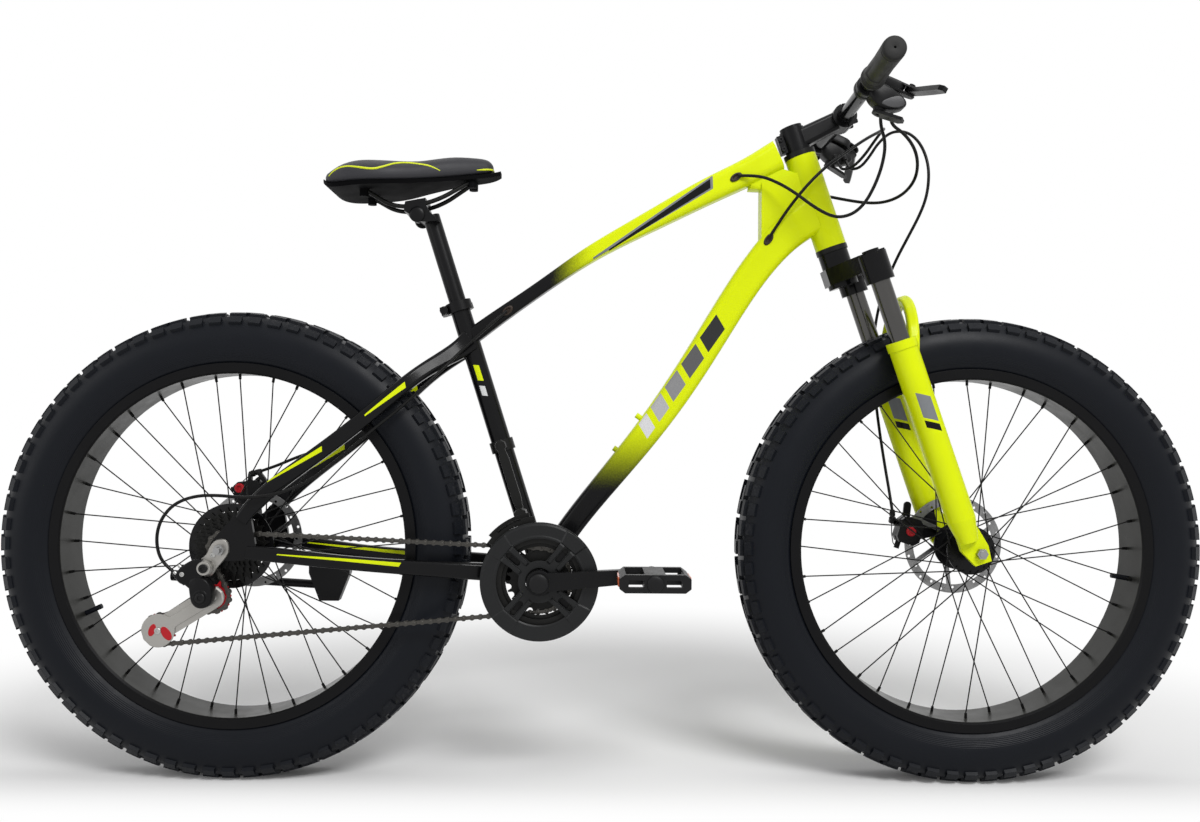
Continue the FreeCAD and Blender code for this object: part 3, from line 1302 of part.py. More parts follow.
def grips():
    """Ribbed rubber grips closed over the bar's ends."""
    shapes = []
    points = bar_points()
    for end, bend in ((points[0], points[1]), (points[-1], points[-2])):
        inward = (bend - end).normalize()
        start = end + inward * GRIP_LENGTH
        sleeve = rod(end - inward * 3, start, GRIP_RADIUS)
        flange = rod(start - inward * 4, start, GRIP_FLANGE)
        ribs = [rod(end + inward * d, end + inward * (d + 3), GRIP_RADIUS + 1) for d in range(8, 112, 8)]
        shapes.append(joined([sleeve, flange] + ribs).cut(handlebar_solid()))
    return Part.Compound(shapes)


def control_frame():
    """Local frame of the left controls: X forward and down, Y outboard, Z square to the lever."""
    share = (CONTROL_PLACE - BAR_STRAIGHT) / (BAR_HALF_WIDTH - BAR_STRAIGHT)
    centre = vec(BAR_CENTRE.x - BAR_SWEEP * share, CONTROL_PLACE, BAR_CENTRE.z)
    return FreeCAD.Placement(centre, FreeCAD.Rotation(AXIS_Y, CONTROL_TILT))


CONTROL = control_frame()
LEVER = CONTROL.multiply(FreeCAD.Placement(vec(0, 0, LEVER_RISE), FreeCAD.Rotation(vec(1, 0, 0), -LEVER_DROOP)))


BRAKE_BARREL = (vec(46, -12, 0), vec(53, -24, -12))
SHIFT_BARREL = (vec(33, -12, -10), vec(40, -24, -20))


def barrel_exit(barrel, side):
    """End of a cable barrel and a point a little way on, on the left or the right."""
    start, end = barrel
    points = [CONTROL.multVec(end + (end - start).normalize() * d) for d in (BODY_GAP, 14)]
    return [(p.x, side * p.y, p.z) for p in points]


def left_control():
    """Brake perch, shifter pod and cable barrels clamped on the bar."""
    half = LEVER_THICKNESS / 2
    px, py = LEVER_PIVOT
    sx, sy = SHIFT_PIVOT
    clamp = cross_rod(0, 0, -10, 10, BAR_RADIUS + 4.5)
    pod = slab([(0, -14), (sx + 6, -18), (sx + 27, -11), (sx + 29, 10), (sx + 12, 19), (0, 12)], SHIFT_POD_LOW, SHIFT_POD_HIGH)
    neck = block(vec(4, -12, 0), vec(px - 14, 6, LEVER_RISE - half - 1.5))
    shift_pin = rod(vec(sx, sy, SHIFT_POD_LOW - SHIFT_LEVER_THICKNESS - 2), vec(sx, sy, SHIFT_POD_LOW), SHIFT_PIN_RADIUS)
    barrels = [rod(start, end, 4) for start, end in (BRAKE_BARREL, SHIFT_BARREL)]
    perch = slab([(4, -13), (4, 8), (px - 10, py + 9), (px + 7, py + 6), (px + 7, py - 8), (px - 14, -14)], -half - 3, half + 3)
    gap = slab([(px - 10, py - 9), (px - 9, py + 14), (px + 20, py + 14), (px + 20, py - 9)], -half - BODY_GAP, half + BODY_GAP)
    pin = rod(vec(px, py, -half - 3), vec(px, py, half + 3), LEVER_PIN_RADIUS)
    body = seated(joined([clamp, pod, neck, shift_pin] + barrels), CONTROL)
    head = seated(joined([perch.cut(gap), pin]), LEVER)
    sweep = seated(gap.cut(rod(vec(px, py, -half - 3), vec(px, py, half + 3), LEVER_PIN_RADIUS)), LEVER)
    return joined([body.cut(sweep), head]).cut(handlebar_solid())


def left_brake_lever():
    """Curved brake lever blade on its pivot pin."""
    half = LEVER_THICKNESS / 2
    px, py = LEVER_PIVOT
    blade = slab([(px - 6, py + 3), (px + 4, py + 39), (px + 13, py + 77), (px + 20, py + 104), (px + 26, py + 110),
                  (px + 33, py + 104), (px + 26, py + 71), (px + 17, py + 33), (px + 7, py - 3)], -half, half)
    boss = rod(vec(px, py, -half), vec(px, py, half), 6.8)
    bore = rod(vec(px, py, -half), vec(px, py, half), LEVER_PIN_RADIUS + RUN_FIT)
    return seated(joined([blade, boss]).cut(bore), LEVER)


def left_shift_lever():
    """Thumb paddle under the shifter pod."""
    sx, sy = SHIFT_PIVOT
    high = SHIFT_POD_LOW - BODY_GAP
    low = high - SHIFT_LEVER_THICKNESS
    paddle = slab([(sx - 6, sy - 6), (sx + 8, sy - 8), (sx + 32, sy + 2), (sx + 38, sy + 12), (sx + 32, sy + 22),
                   (sx + 22, sy + 18), (sx - 4, sy + 8)], low, high)
    boss = rod(vec(sx, sy, low), vec(sx, sy, high), 9)
    bore = rod(vec(sx, sy, low), vec(sx, sy, high), SHIFT_PIN_RADIUS + RUN_FIT)
    return seated(joined([paddle, boss]).cut(bore), CONTROL)


# Brakes

CALIPER_LOW = 58.0
CALIPER_HIGH = 96.0
CALIPER_HALF = 22.0
CALIPER_INNER = 11.0
CALIPER_OUTER = 15.0
CALIPER_GAP = 2.0
CALIPER_ARM_RADIUS = 10.0
CALIPER_ARM_LENGTH = 40.0
CALIPER_ARM_THICKNESS = 4.5
CALIPER_PIN_RADIUS = 4.0
FRONT_CALIPER_ANGLE = 163.0
REAR_CALIPER_ANGLE = 96.0


def caliper(face):
    """Brake caliper across a disc whose inner face is given, lying along local +X from the axle."""
    inner_face = face - CALIPER_GAP
    outer_face = face + ROTOR_THICKNESS + CALIPER_GAP
    low, high, half = CALIPER_LOW, CALIPER_HIGH, CALIPER_HALF
    outline = [(low, -half + 8), (low, half - 8), (low + 8, half), (high - 6, half), (high, half - 8), (high, -half + 8),
               (high - 6, -half), (low + 8, -half)]
    inner = plate(outline, inner_face - CALIPER_INNER, inner_face)
    outer = plate(outline, outer_face, outer_face + CALIPER_OUTER)
    bridge_x = ROTOR_RADIUS + CALIPER_GAP
    bridge = block(vec(bridge_x, inner_face - CALIPER_INNER, -half + 8), vec(high, outer_face + CALIPER_OUTER, half - 8))
    middle = (low + high) / 2
    arm_face = outer_face + CALIPER_OUTER
    pin = cross_rod(middle, 0, outer_face, arm_face + CALIPER_ARM_THICKNESS + 2, CALIPER_PIN_RADIUS)
    stop = rod(vec(high - 12, arm_face - 5, half - 4), vec(high - 12, arm_face - 5, half + 12), 4.5)
    return joined([inner, outer, bridge, pin, stop])


def caliper_arm(face):
    """Cable arm that turns on the caliper's outer face."""
    middle = (CALIPER_LOW + CALIPER_HIGH) / 2
    low = face + ROTOR_THICKNESS + CALIPER_GAP + CALIPER_OUTER + BODY_GAP
    high = low + CALIPER_ARM_THICKNESS
    tip = (middle + 8, -CALIPER_ARM_LENGTH)
    arm = joined([cross_rod(middle, 0, low, high, CALIPER_ARM_RADIUS), link_plate((middle, 0), tip, 6, low, high)])
    return arm.cut(cross_rod(middle, 0, low, high, CALIPER_PIN_RADIUS + RUN_FIT))


def around(axle_centre, angle):
    """Frame about an axle whose local +X points at an angle from +X towards +Z."""
    return FreeCAD.Placement(axle_centre, FreeCAD.Rotation(AXIS_Y, -angle))


def front_caliper(lowers):
    """Front caliper with its bracket against the left fork leg."""
    place = around(FRONT_AXLE, FRONT_CALIPER_ANGLE)
    body = seated(caliper(FRONT_ROTOR_FACE), place)
    x, z = FRONT_AXLE.x, FRONT_AXLE.z
    bracket = plate([(x - 70, z + 4), (x - 78, z + 38), (x - 30, z + 62), (x - 22, z + 14)], 58, 66)
    return joined([body, bracket.cut(lowers)])


def rear_caliper(stay, stay_foot):
    """Rear caliper with its bracket against the left seatstay."""
    place = around(REAR_AXLE, REAR_CALIPER_ANGLE)
    body = seated(caliper(REAR_ROTOR_FACE), place)
    x, z = REAR_AXLE.x, REAR_AXLE.z
    bracket = plate([(x + 4, z + 62), (x + 4, z + 92), (x + 60, z + 86), (x + 52, z + 62)], 74, 82)
    return joined([body, bracket.cut([stay, stay_foot])])


# Seat

def seat_collar():
    """Clamp collar round the top of the seat tube, with rear ears and skewer."""
    low, high = SEAT_TOP - COLLAR_HEIGHT, SEAT_TOP
    outer = SEAT_TUBE_RADIUS + COLLAR_WALL
    ring = rod(vec(0, 0, low), vec(0, 0, high), outer)
    ears = block(vec(-outer - 9, -10, low + 1), vec(-SEAT_TUBE_RADIUS, 10, high - 1))
    bore = rod(vec(0, 0, low), vec(0, 0, high), SEAT_TUBE_RADIUS)
    slot = block(vec(-outer - 10, -1.2, low), vec(0, 1.2, high))
    middle = (low + high) / 2
    x = -outer - 3
    nut = cross_rod(x, middle, -17, -10, 6.5)
    skewer = cross_rod(x, middle, -17, 18, SKEWER_RADIUS)
    return seated(joined([joined([ring, ears]).cut([bore, slot]), nut, skewer]), SEAT)


def quick_release_lever():
    """Cam lever on the skewer's left end, closed along the collar and slotted for the skewer as it opens."""
    middle = SEAT_TOP - COLLAR_HEIGHT / 2
    x = -SEAT_TUBE_RADIUS - COLLAR_WALL - 3
    cam = rod(vec(x, CAM_PIVOT, middle - 6), vec(x, CAM_PIVOT, middle + 6), 7.5)
    blade = slab([(x - 4, 22), (x + 4, 26), (x + 26, 29), (x + 44, 27), (x + 44, 22.5), (x + 26, 23.5), (x + 4, 18)],
                 middle - 5, middle + 5)
    half = SKEWER_RADIUS + BODY_GAP
    eye = rod(vec(x, CAM_PIVOT, middle - half), vec(x, CAM_PIVOT, middle + half), half + BODY_GAP)
    slot = Part.makeCylinder(CAM_SLOT_REACH, 2 * half, vec(x, CAM_PIVOT, middle - half), AXIS_Z, CAM_TURN)
    slot.rotate(vec(x, CAM_PIVOT, 0), AXIS_Z, -90 - CAM_TURN)
    hole = cross_rod(x, middle, 10, CAM_PIVOT, half)
    far = hole.copy()
    far.rotate(vec(x, CAM_PIVOT, middle), AXIS_Z, -CAM_TURN)
    return seated(joined([cam, blade]).cut([hole, slot, far, eye]), SEAT)


RAIL_POINTS = ((-382, 33, 930), (-334, 22, 902), (-272, 22, 913), (-214, 11, 950))
CLAMP_X = -303.0
CLAMP_HALF = 17.0


def saddle_rails():
    """Two bent rails from the saddle's tail to its nose."""
    rails = []
    for side in (1, -1):
        rails.append(bent_rod([vec(x, side * y, z) for x, y, z in RAIL_POINTS], RAIL_RADIUS)[0])
    return rails


def seatpost():
    """Seatpost tube with a two-piece rail clamp at its head."""
    foot, head = SEATPOST_FOOT, SEATPOST_FOOT + SEATPOST_LENGTH
    tube = seated(pipe(vec(0, 0, foot), vec(0, 0, head), SEATPOST_RADIUS, SEATPOST_RADIUS - SEATPOST_WALL), SEAT)
    top = SEAT.multVec(vec(0, 0, head))
    x0, x1 = CLAMP_X - CLAMP_HALF, CLAMP_X + CLAMP_HALF
    rail_z = 907.5
    half = RAIL_SPREAD + 6
    cradle = plate([(x0, rail_z - 10), (x0, rail_z - 3), (x1, rail_z + 3), (x1 + 4, rail_z - 8), (top.x + 16, top.z - 12),
                    (top.x - 10, top.z - 14)], -half, half)
    keeper = plate([(x0, rail_z - 3), (x0 + 2, rail_z + 5), (x1, rail_z + 11), (x1, rail_z + 3)], -half, half)
    post = joined([tube, cradle])
    bolt = rod(vec(CLAMP_X, 0, rail_z - 24), vec(CLAMP_X + 3, 0, rail_z + 14), 4)
    rails = saddle_rails()
    return Part.Compound([post.cut(rails + [bolt]), keeper.cut(rails + [bolt]), bolt.cut(seated(rod(vec(0, 0, foot), vec(0, 0, head), SEATPOST_RADIUS), SEAT))])


SADDLE_ROWS = ((-444, 46, 944, 14), (-420, 72, 934, 42), (-384, 82, 936, 49), (-340, 76, 939, 48), (-297, 56, 945, 40),
               (-250, 34, 952, 37), (-212, 26, 957, 31), (-184, 21, 961, 20), (-169, 12, 966, 8))


def saddle_outline(x, half, low, height):
    """Section across the saddle: flat below, drawn-in sides and a crown."""
    a, b = vec(x, -half * 0.94, low), vec(x, half * 0.94, low)
    c, d = vec(x, half, low + height * 0.45), vec(x, -half, low + height * 0.45)
    edges = [Part.LineSegment(a, b), Part.LineSegment(b, c), Part.Arc(c, vec(x, 0, low + height), d), Part.LineSegment(d, a)]
    return Part.Wire([edge.toShape() for edge in edges])


def saddle_pad():
    """Crowned cushion, wide at the tail and narrow at the nose."""
    return Part.makeLoft([saddle_outline(*row) for row in SADDLE_ROWS], True, False)


def saddle_base(pad):
    """Moulded shell under the cushion, with sockets for the rails."""
    thick = SADDLE_BASE_THICKNESS
    rows = [(x, half * 0.93, low - thick, thick * 1.6) for x, half, low, height in SADDLE_ROWS]
    shell = Part.makeLoft([saddle_outline(*row) for row in rows], True, False)
    shapes = [shell]
    for side in (1, -1):
        for x, y, z in (RAIL_POINTS[0], RAIL_POINTS[-1]):
            shapes.append(rod(vec(x, side * y, z - 12), vec(x, side * y, z + 8), 7))
    return joined(shapes).cut(pad)


# Kickstand

def kickstand_bracket(stay):
    """Stand bracket clamped under the left chainstay."""
    x, z = STAND_PIVOT_X, STAND_PIVOT_Z
    outline = [(x - 34, z + 24), (x - 34, z + 60), (x + 34, z + 58), (x + 34, z + 24), (x + 16, z - 22), (x - 16, z - 22)]
    body = plate(outline, 76, STAND_FACE)
    pin = cross_rod(x, z, STAND_FACE - 6, STAND_FACE + 18, 5)
    return joined([body.cut(stay), pin])


def kickstand_leg():
    """Folded leg with its pivot eye and rubber foot."""
    x, z = STAND_PIVOT_X, STAND_PIVOT_Z
    low, high = STAND_FACE + BODY_GAP, STAND_FACE + 16
    eye = cross_rod(x, z, low, high, 13)
    y = (low + high) / 2
    leg = rod(vec(x, y, z), vec(x - STAND_LENGTH, y + 6, z + 14), STAND_RADIUS)
    foot = rod(vec(x - STAND_LENGTH + 30, y + 5.3, z + 12.5), vec(x - STAND_LENGTH - 4, y + 6, z + 14), STAND_RADIUS + 2)
    return joined([eye, leg, foot]).cut(cross_rod(x, z, low, high, 5 + RUN_FIT))


# Cable routes, chosen by hand

SHIFT_ROUTE = ((414, -137, 985), (411, -133, 955), (402, -126, 925), (389, -115, 898), (372, -103, 883),
               (349, -89, 881), (321, -74, 900), (297, -58, 924), (270, -43, 945), (240, -32, 959), (210, -25, 959))
BRAKE_ROUTE = ((445, -127, 1001), (463, -118, 982), (473, -102, 963), (476, -80, 945), (471, -54, 932),
               (461, -27, 925), (445, -2, 923), (426, 20, 927), (402, 36, 934), (372, 46, 942), (326, 46, 951),
               (282, 40, 961), (246, 32, 965), (212, 25.2, 960))
FRONT_SHIFT_ROUTE = ((409, 120, 1005), (424, 108, 1006), (441, 97, 1024), (453, 84, 1043), (461, 64, 1056),
                     (460, 38, 1055), (444, 6, 1041), (416, -18, 1023), (383, -32, 999), (350, -40, 975),
                     (322, -43, 948), (300, -42, 922), (279, -37, 893), (260, -29, 862))
FRONT_BRAKE_ROUTE = ((424, 122, 1006), (438, 113, 1007), (452, 107, 1024), (465, 101, 1046), (484, 93, 1064),
                     (506, 80, 1062), (520, 63, 1045), (529, 51, 1022), (534, 43, 995), (534, 41, 967),
                     (530, 43, 939), (521, 51, 912), (508, 64, 882), (491, 84, 842), (474, 104, 790),
                     (464, 114, 730), (462, 116, 670), (466, 112, 610), (472, 106, 550), (477, 97, 495),
                     (480, 88, 460))
REAR_SHIFT_ROUTE = ((-157, -17.5, 741), (-176, -23, 724), (-199, -29, 703), (-224, -35, 678), (-250, -45, 650),
                    (-279, -58, 621), (-316, -68, 584), (-360, -74, 548), (-404, -79, 508), (-450, -88, 470),
                    (-496, -102, 452), (-540, -108, 447), (-578, -109, 451), (-614, -109, 450), (-645, -109, 438),
                    (-664, -108, 416), (-672, -106, 391), (-671, -103, 365), (-662, -100.5, 346), (-648.4, -100, 335.3))
REAR_BRAKE_ROUTE = ((-425, 78, 545), (-450, 82, 527), (-482, 86, 514), (-515, 88, 506), (-545, 86, 495),
                    (-566, 83, 483), (-577, 81.5, 466))


def steering_cables():
    """Cables between the controls and the frame, free to bend as the bars turn."""
    routes = (("rear shift", SHIFT_BARREL, -1, SHIFT_ROUTE), ("rear brake", BRAKE_BARREL, -1, BRAKE_ROUTE),
              ("front shift", SHIFT_BARREL, 1, FRONT_SHIFT_ROUTE))
    shapes = []
    for name, barrel, side, points in routes:
        shapes.append(cable(name, barrel_exit(barrel, side) + list(points)))
    return Part.Compound(shapes)


def front_brake_cable():
    """Cable from the left brake lever to the front caliper."""
    return cable("front brake", barrel_exit(BRAKE_BARREL, 1) + list(FRONT_BRAKE_ROUTE))


def rear_cables():
    """Rear ends of the shift and brake cables, outside the frame again."""
    return Part.Compound([cable("rear shift, rear end", REAR_SHIFT_ROUTE), cable("rear brake, rear end", REAR_BRAKE_ROUTE)])


def build():
    """All the nodes by name."""
    lowers = fork_lowers()
    stay, seatstay = left_chainstay(), left_seatstay()
    pad = saddle_pad()
    base = saddle_base(pad)
    control, brake_lever, shift_lever = left_control(), left_brake_lever(), left_shift_lever()
    casing = tyre_casing()
    top, down = top_tube(), down_tube()
    nodes = {
        "head_tube": head_tube(),
        "top_tube": top,
        "down_tube": down.cut(top),
        "seat_tube": seat_tube(),
        "chainstays": Part.Compound([stay, mirrored(stay)]),
        "seatstays": Part.Compound([seatstay, mirrored(seatstay)]),
        "bearing_cups": bearing_cups(),
        "seat_collar": seat_collar(),
        "front_derailleur": front_derailleur(),
        "rear_axle": shifted(axle(REAR_AXLE_HALF, DROPOUT_FACE + DROPOUT_THICKNESS + 3, DROPOUT_FACE + DROPOUT_THICKNESS), REAR_AXLE),
        "rear_derailleur": rear_derailleur(),
        "chain": chain(),
        "rear_brake_caliper": rear_caliper(seatstay, stay),
        "kickstand_bracket": kickstand_bracket(stay),
        "rear_cables": rear_cables(),
        "fork_crown": fork_crown(),
        "fork_stanchions": fork_stanchions(),
        "stem": stem(),
        "handlebar": handlebar(),
        "handlebar_grips": grips(),
        "left_control": control,
        "right_control": mirrored(control),
        "steering_cables": steering_cables(),
        "front_brake_cable": front_brake_cable(),
        "fork_lowers": lowers,
        "front_brake_caliper": front_caliper(lowers),
        "front_axle": shifted(axle(FRONT_AXLE_HALF, FRONT_SPACING / 2 + FORK_DROPOUT_THICKNESS, FRONT_SPACING / 2 + FORK_DROPOUT_THICKNESS), FRONT_AXLE),
        "front_tyre": shifted(Part.Compound([casing, inner_tube(FRONT_VALVE_ANGLE)]), FRONT_AXLE),
        "front_rim": shifted(rim(FRONT_VALVE_ANGLE), FRONT_AXLE),
        "front_spokes": shifted(spoke_set(FRONT_FLANGES, FRONT_FLANGE_RADIUS), FRONT_AXLE),
        "front_hub": shifted(front_hub(), FRONT_AXLE),
        "front_rotor": shifted(rotor(FRONT_ROTOR_FACE), FRONT_AXLE),
        "rear_tyre": shifted(Part.Compound([casing, inner_tube(REAR_VALVE_ANGLE)]), REAR_AXLE),
        "rear_rim": shifted(rim(REAR_VALVE_ANGLE), REAR_AXLE),
        "rear_spokes": shifted(spoke_set(REAR_FLANGES, REAR_FLANGE_RADIUS), REAR_AXLE),
        "rear_hub": shifted(rear_hub(), REAR_AXLE),
        "rear_rotor": shifted(rotor(REAR_ROTOR_FACE), REAR_AXLE),
        "spoke_protector": shifted(spoke_protector(), REAR_AXLE),
        "freewheel": freewheel(),
        "right_crank": right_crank(),
        "left_crank": left_crank(),
        "chainrings": chainrings(),
        "chain_guard": chain_guard(),
        "right_pedal": pedal(-1),
        "left_pedal": pedal(1),
        "left_brake_lever": brake_lever,
        "right_brake_lever": mirrored(brake_lever),
        "left_shift_lever": shift_lever,
        "right_shift_lever": mirrored(shift_lever),
        "front_brake_arm": seated(caliper_arm(FRONT_ROTOR_FACE), around(FRONT_AXLE, FRONT_CALIPER_ANGLE)),
        "rear_brake_arm": seated(caliper_arm(REAR_ROTOR_FACE), around(REAR_AXLE, REAR_CALIPER_ANGLE)),
        "derailleur_cage": derailleur_cage(),
        "guide_pulley": pulley(GUIDE_WHEEL),
        "tension_pulley": pulley(TENSION_WHEEL),
        "seatpost": seatpost(),
        "saddle_rails": Part.Compound([largest(rail.cut(base)) for rail in saddle_rails()]),
        "saddle_base": base,
        "saddle_pad": pad,
        "quick_release_lever": quick_release_lever(),
        "kickstand_leg": kickstand_leg(),
    }
    return nodes


os.makedirs("parts", exist_ok=True)
print("chain", round(chain_pitches(CAGE_ANGLE), 3), "pitches, cage angle", round(CAGE_ANGLE, 2))
for node, shape in build().items():
    shape.exportStep(f"parts/{node}.step")
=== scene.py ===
"""Looks of a fat-tyre bicycle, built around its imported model."""

from __future__ import annotations

import json
import logging
import math
from dataclasses import dataclass, field
from enum import Enum
from typing import Any, Callable, Iterable, Sequence

import bmesh
import bpy
from mathutils import Matrix, Vector
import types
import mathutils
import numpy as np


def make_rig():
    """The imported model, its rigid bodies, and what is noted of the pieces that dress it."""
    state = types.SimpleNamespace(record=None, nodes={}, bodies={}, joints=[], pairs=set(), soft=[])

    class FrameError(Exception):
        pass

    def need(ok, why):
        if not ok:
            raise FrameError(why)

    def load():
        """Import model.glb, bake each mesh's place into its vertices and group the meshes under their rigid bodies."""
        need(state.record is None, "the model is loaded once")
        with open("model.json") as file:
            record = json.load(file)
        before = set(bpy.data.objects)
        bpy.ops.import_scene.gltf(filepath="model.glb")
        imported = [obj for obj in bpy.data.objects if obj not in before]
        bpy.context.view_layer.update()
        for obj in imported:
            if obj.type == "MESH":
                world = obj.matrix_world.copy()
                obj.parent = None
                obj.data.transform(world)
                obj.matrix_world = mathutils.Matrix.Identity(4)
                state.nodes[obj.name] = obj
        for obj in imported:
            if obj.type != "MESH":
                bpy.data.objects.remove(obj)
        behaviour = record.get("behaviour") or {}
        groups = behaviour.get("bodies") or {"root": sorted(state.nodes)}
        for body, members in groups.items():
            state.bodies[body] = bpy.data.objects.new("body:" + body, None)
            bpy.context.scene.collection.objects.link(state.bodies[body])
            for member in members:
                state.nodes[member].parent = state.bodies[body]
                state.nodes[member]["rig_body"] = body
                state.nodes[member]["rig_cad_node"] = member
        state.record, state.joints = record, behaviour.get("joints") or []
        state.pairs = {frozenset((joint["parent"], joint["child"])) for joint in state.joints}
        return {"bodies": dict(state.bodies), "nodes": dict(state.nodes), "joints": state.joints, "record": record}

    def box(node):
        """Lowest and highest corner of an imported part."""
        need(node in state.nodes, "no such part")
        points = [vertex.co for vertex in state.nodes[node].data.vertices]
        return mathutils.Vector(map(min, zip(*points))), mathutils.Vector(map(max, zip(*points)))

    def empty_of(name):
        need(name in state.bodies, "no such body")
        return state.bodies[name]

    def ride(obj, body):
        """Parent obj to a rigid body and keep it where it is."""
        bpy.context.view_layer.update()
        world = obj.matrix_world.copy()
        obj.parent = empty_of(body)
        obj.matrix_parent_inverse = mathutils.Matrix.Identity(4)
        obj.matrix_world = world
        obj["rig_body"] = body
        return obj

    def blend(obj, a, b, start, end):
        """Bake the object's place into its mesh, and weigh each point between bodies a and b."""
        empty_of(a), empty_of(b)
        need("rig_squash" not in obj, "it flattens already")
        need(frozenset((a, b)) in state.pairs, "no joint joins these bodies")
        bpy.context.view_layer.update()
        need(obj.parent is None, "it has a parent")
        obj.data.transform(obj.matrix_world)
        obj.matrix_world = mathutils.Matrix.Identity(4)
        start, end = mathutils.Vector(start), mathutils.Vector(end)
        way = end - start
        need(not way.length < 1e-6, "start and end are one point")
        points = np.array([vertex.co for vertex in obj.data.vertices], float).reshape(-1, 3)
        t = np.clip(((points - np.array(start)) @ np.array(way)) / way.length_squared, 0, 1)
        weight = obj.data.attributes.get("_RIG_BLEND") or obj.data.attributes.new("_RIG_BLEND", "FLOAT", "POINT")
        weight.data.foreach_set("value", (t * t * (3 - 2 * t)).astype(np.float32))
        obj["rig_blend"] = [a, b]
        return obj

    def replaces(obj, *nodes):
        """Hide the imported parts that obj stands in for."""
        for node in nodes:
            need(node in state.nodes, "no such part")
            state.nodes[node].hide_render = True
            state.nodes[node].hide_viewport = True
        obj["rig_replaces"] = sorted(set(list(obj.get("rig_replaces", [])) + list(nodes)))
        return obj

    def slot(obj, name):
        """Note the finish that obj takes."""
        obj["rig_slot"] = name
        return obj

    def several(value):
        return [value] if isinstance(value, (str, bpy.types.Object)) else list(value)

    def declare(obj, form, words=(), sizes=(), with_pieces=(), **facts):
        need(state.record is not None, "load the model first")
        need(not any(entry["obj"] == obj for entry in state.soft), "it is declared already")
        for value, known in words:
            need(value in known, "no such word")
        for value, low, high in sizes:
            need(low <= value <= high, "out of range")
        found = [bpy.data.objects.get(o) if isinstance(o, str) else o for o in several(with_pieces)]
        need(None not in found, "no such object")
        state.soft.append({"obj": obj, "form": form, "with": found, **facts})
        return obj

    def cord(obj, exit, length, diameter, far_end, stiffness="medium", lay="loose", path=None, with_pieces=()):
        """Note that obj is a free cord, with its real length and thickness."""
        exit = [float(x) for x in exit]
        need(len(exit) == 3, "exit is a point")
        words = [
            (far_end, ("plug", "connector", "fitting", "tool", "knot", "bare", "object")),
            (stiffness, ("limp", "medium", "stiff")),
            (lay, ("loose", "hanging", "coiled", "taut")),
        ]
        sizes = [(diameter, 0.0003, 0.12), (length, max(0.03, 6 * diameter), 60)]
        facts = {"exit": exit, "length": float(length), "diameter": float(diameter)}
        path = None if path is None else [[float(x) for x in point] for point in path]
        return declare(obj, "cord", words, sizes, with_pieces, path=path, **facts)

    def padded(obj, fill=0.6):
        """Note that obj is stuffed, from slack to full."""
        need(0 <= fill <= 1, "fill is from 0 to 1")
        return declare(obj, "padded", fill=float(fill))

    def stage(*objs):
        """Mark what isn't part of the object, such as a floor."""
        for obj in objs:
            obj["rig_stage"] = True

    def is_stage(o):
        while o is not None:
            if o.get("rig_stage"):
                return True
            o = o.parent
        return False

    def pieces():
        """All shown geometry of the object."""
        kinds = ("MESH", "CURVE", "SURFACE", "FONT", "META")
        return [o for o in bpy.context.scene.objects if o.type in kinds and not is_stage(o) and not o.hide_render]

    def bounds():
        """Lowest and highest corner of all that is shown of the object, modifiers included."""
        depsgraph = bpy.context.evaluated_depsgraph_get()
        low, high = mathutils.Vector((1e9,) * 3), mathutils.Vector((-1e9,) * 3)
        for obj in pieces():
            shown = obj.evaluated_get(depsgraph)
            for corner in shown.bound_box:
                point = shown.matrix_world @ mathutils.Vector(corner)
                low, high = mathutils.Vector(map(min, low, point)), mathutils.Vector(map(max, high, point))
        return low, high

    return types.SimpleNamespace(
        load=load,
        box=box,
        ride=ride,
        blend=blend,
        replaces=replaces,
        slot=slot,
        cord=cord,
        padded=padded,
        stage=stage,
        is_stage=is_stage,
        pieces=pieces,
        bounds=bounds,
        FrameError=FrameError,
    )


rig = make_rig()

LOG = logging.getLogger("bicycle")
Colour = tuple[float, float, float]
Point = tuple[float, float, float]
Profile = Sequence[tuple[float, float]]
Pairs = tuple[tuple[float, float], ...]
Piece = bpy.types.Object
Material = bpy.types.Material
Work = bmesh.types.BMesh
Tree = bpy.types.NodeTree
Pair = tuple[float, float]
MM = 0.001
SHARP_FROM = math.radians(40)
PLATE_SHOULDER = 0.45
DOME_PROFILE = ((-0.3, 1.0), (0.35, 1.0), (0.6, 0.94), (0.82, 0.78), (0.96, 0.5), (1.0, 0.2))
HOUSING_PROFILE = (
    (0.0, 1.0), (0.03, 0.6), (0.09, 0.25), (0.22, 0.0), (0.78, 0.0), (0.91, 0.25), (0.97, 0.6), (1.0, 1.0))

FRONT_AXLE = Vector((0.580, 0.0, 0.368))
REAR_AXLE = Vector((-0.580, 0.0, 0.368))
BOTTOM_BRACKET = Vector((-0.097494, 0.0, 0.323))
STEER_UP = Vector((-0.325568, 0.0, 0.945519))
STEER_FORWARD = Vector((0.945519, 0.0, 0.325568))
FORK_FOOT = FRONT_AXLE - STEER_FORWARD * 0.048
SEAT_UP = Vector((-0.305695, 0.0, 0.952129))
SIDEWAYS = Vector((0.0, 1.0, 0.0))
DOWN_TUBE_ALONG = Vector((0.571127, 0.0, 0.820862))


def millimetres(points: Iterable[Sequence[float]]) -> list[Vector]:
    """Turns points in millimetres into vectors in metres."""
    return [Vector(p) * MM for p in points]


class Socket(str, Enum):
    """Kinds of node group sockets."""

    VALUE = "NodeSocketFloat"
    VECTOR = "NodeSocketVector"
    COLOUR = "NodeSocketColor"


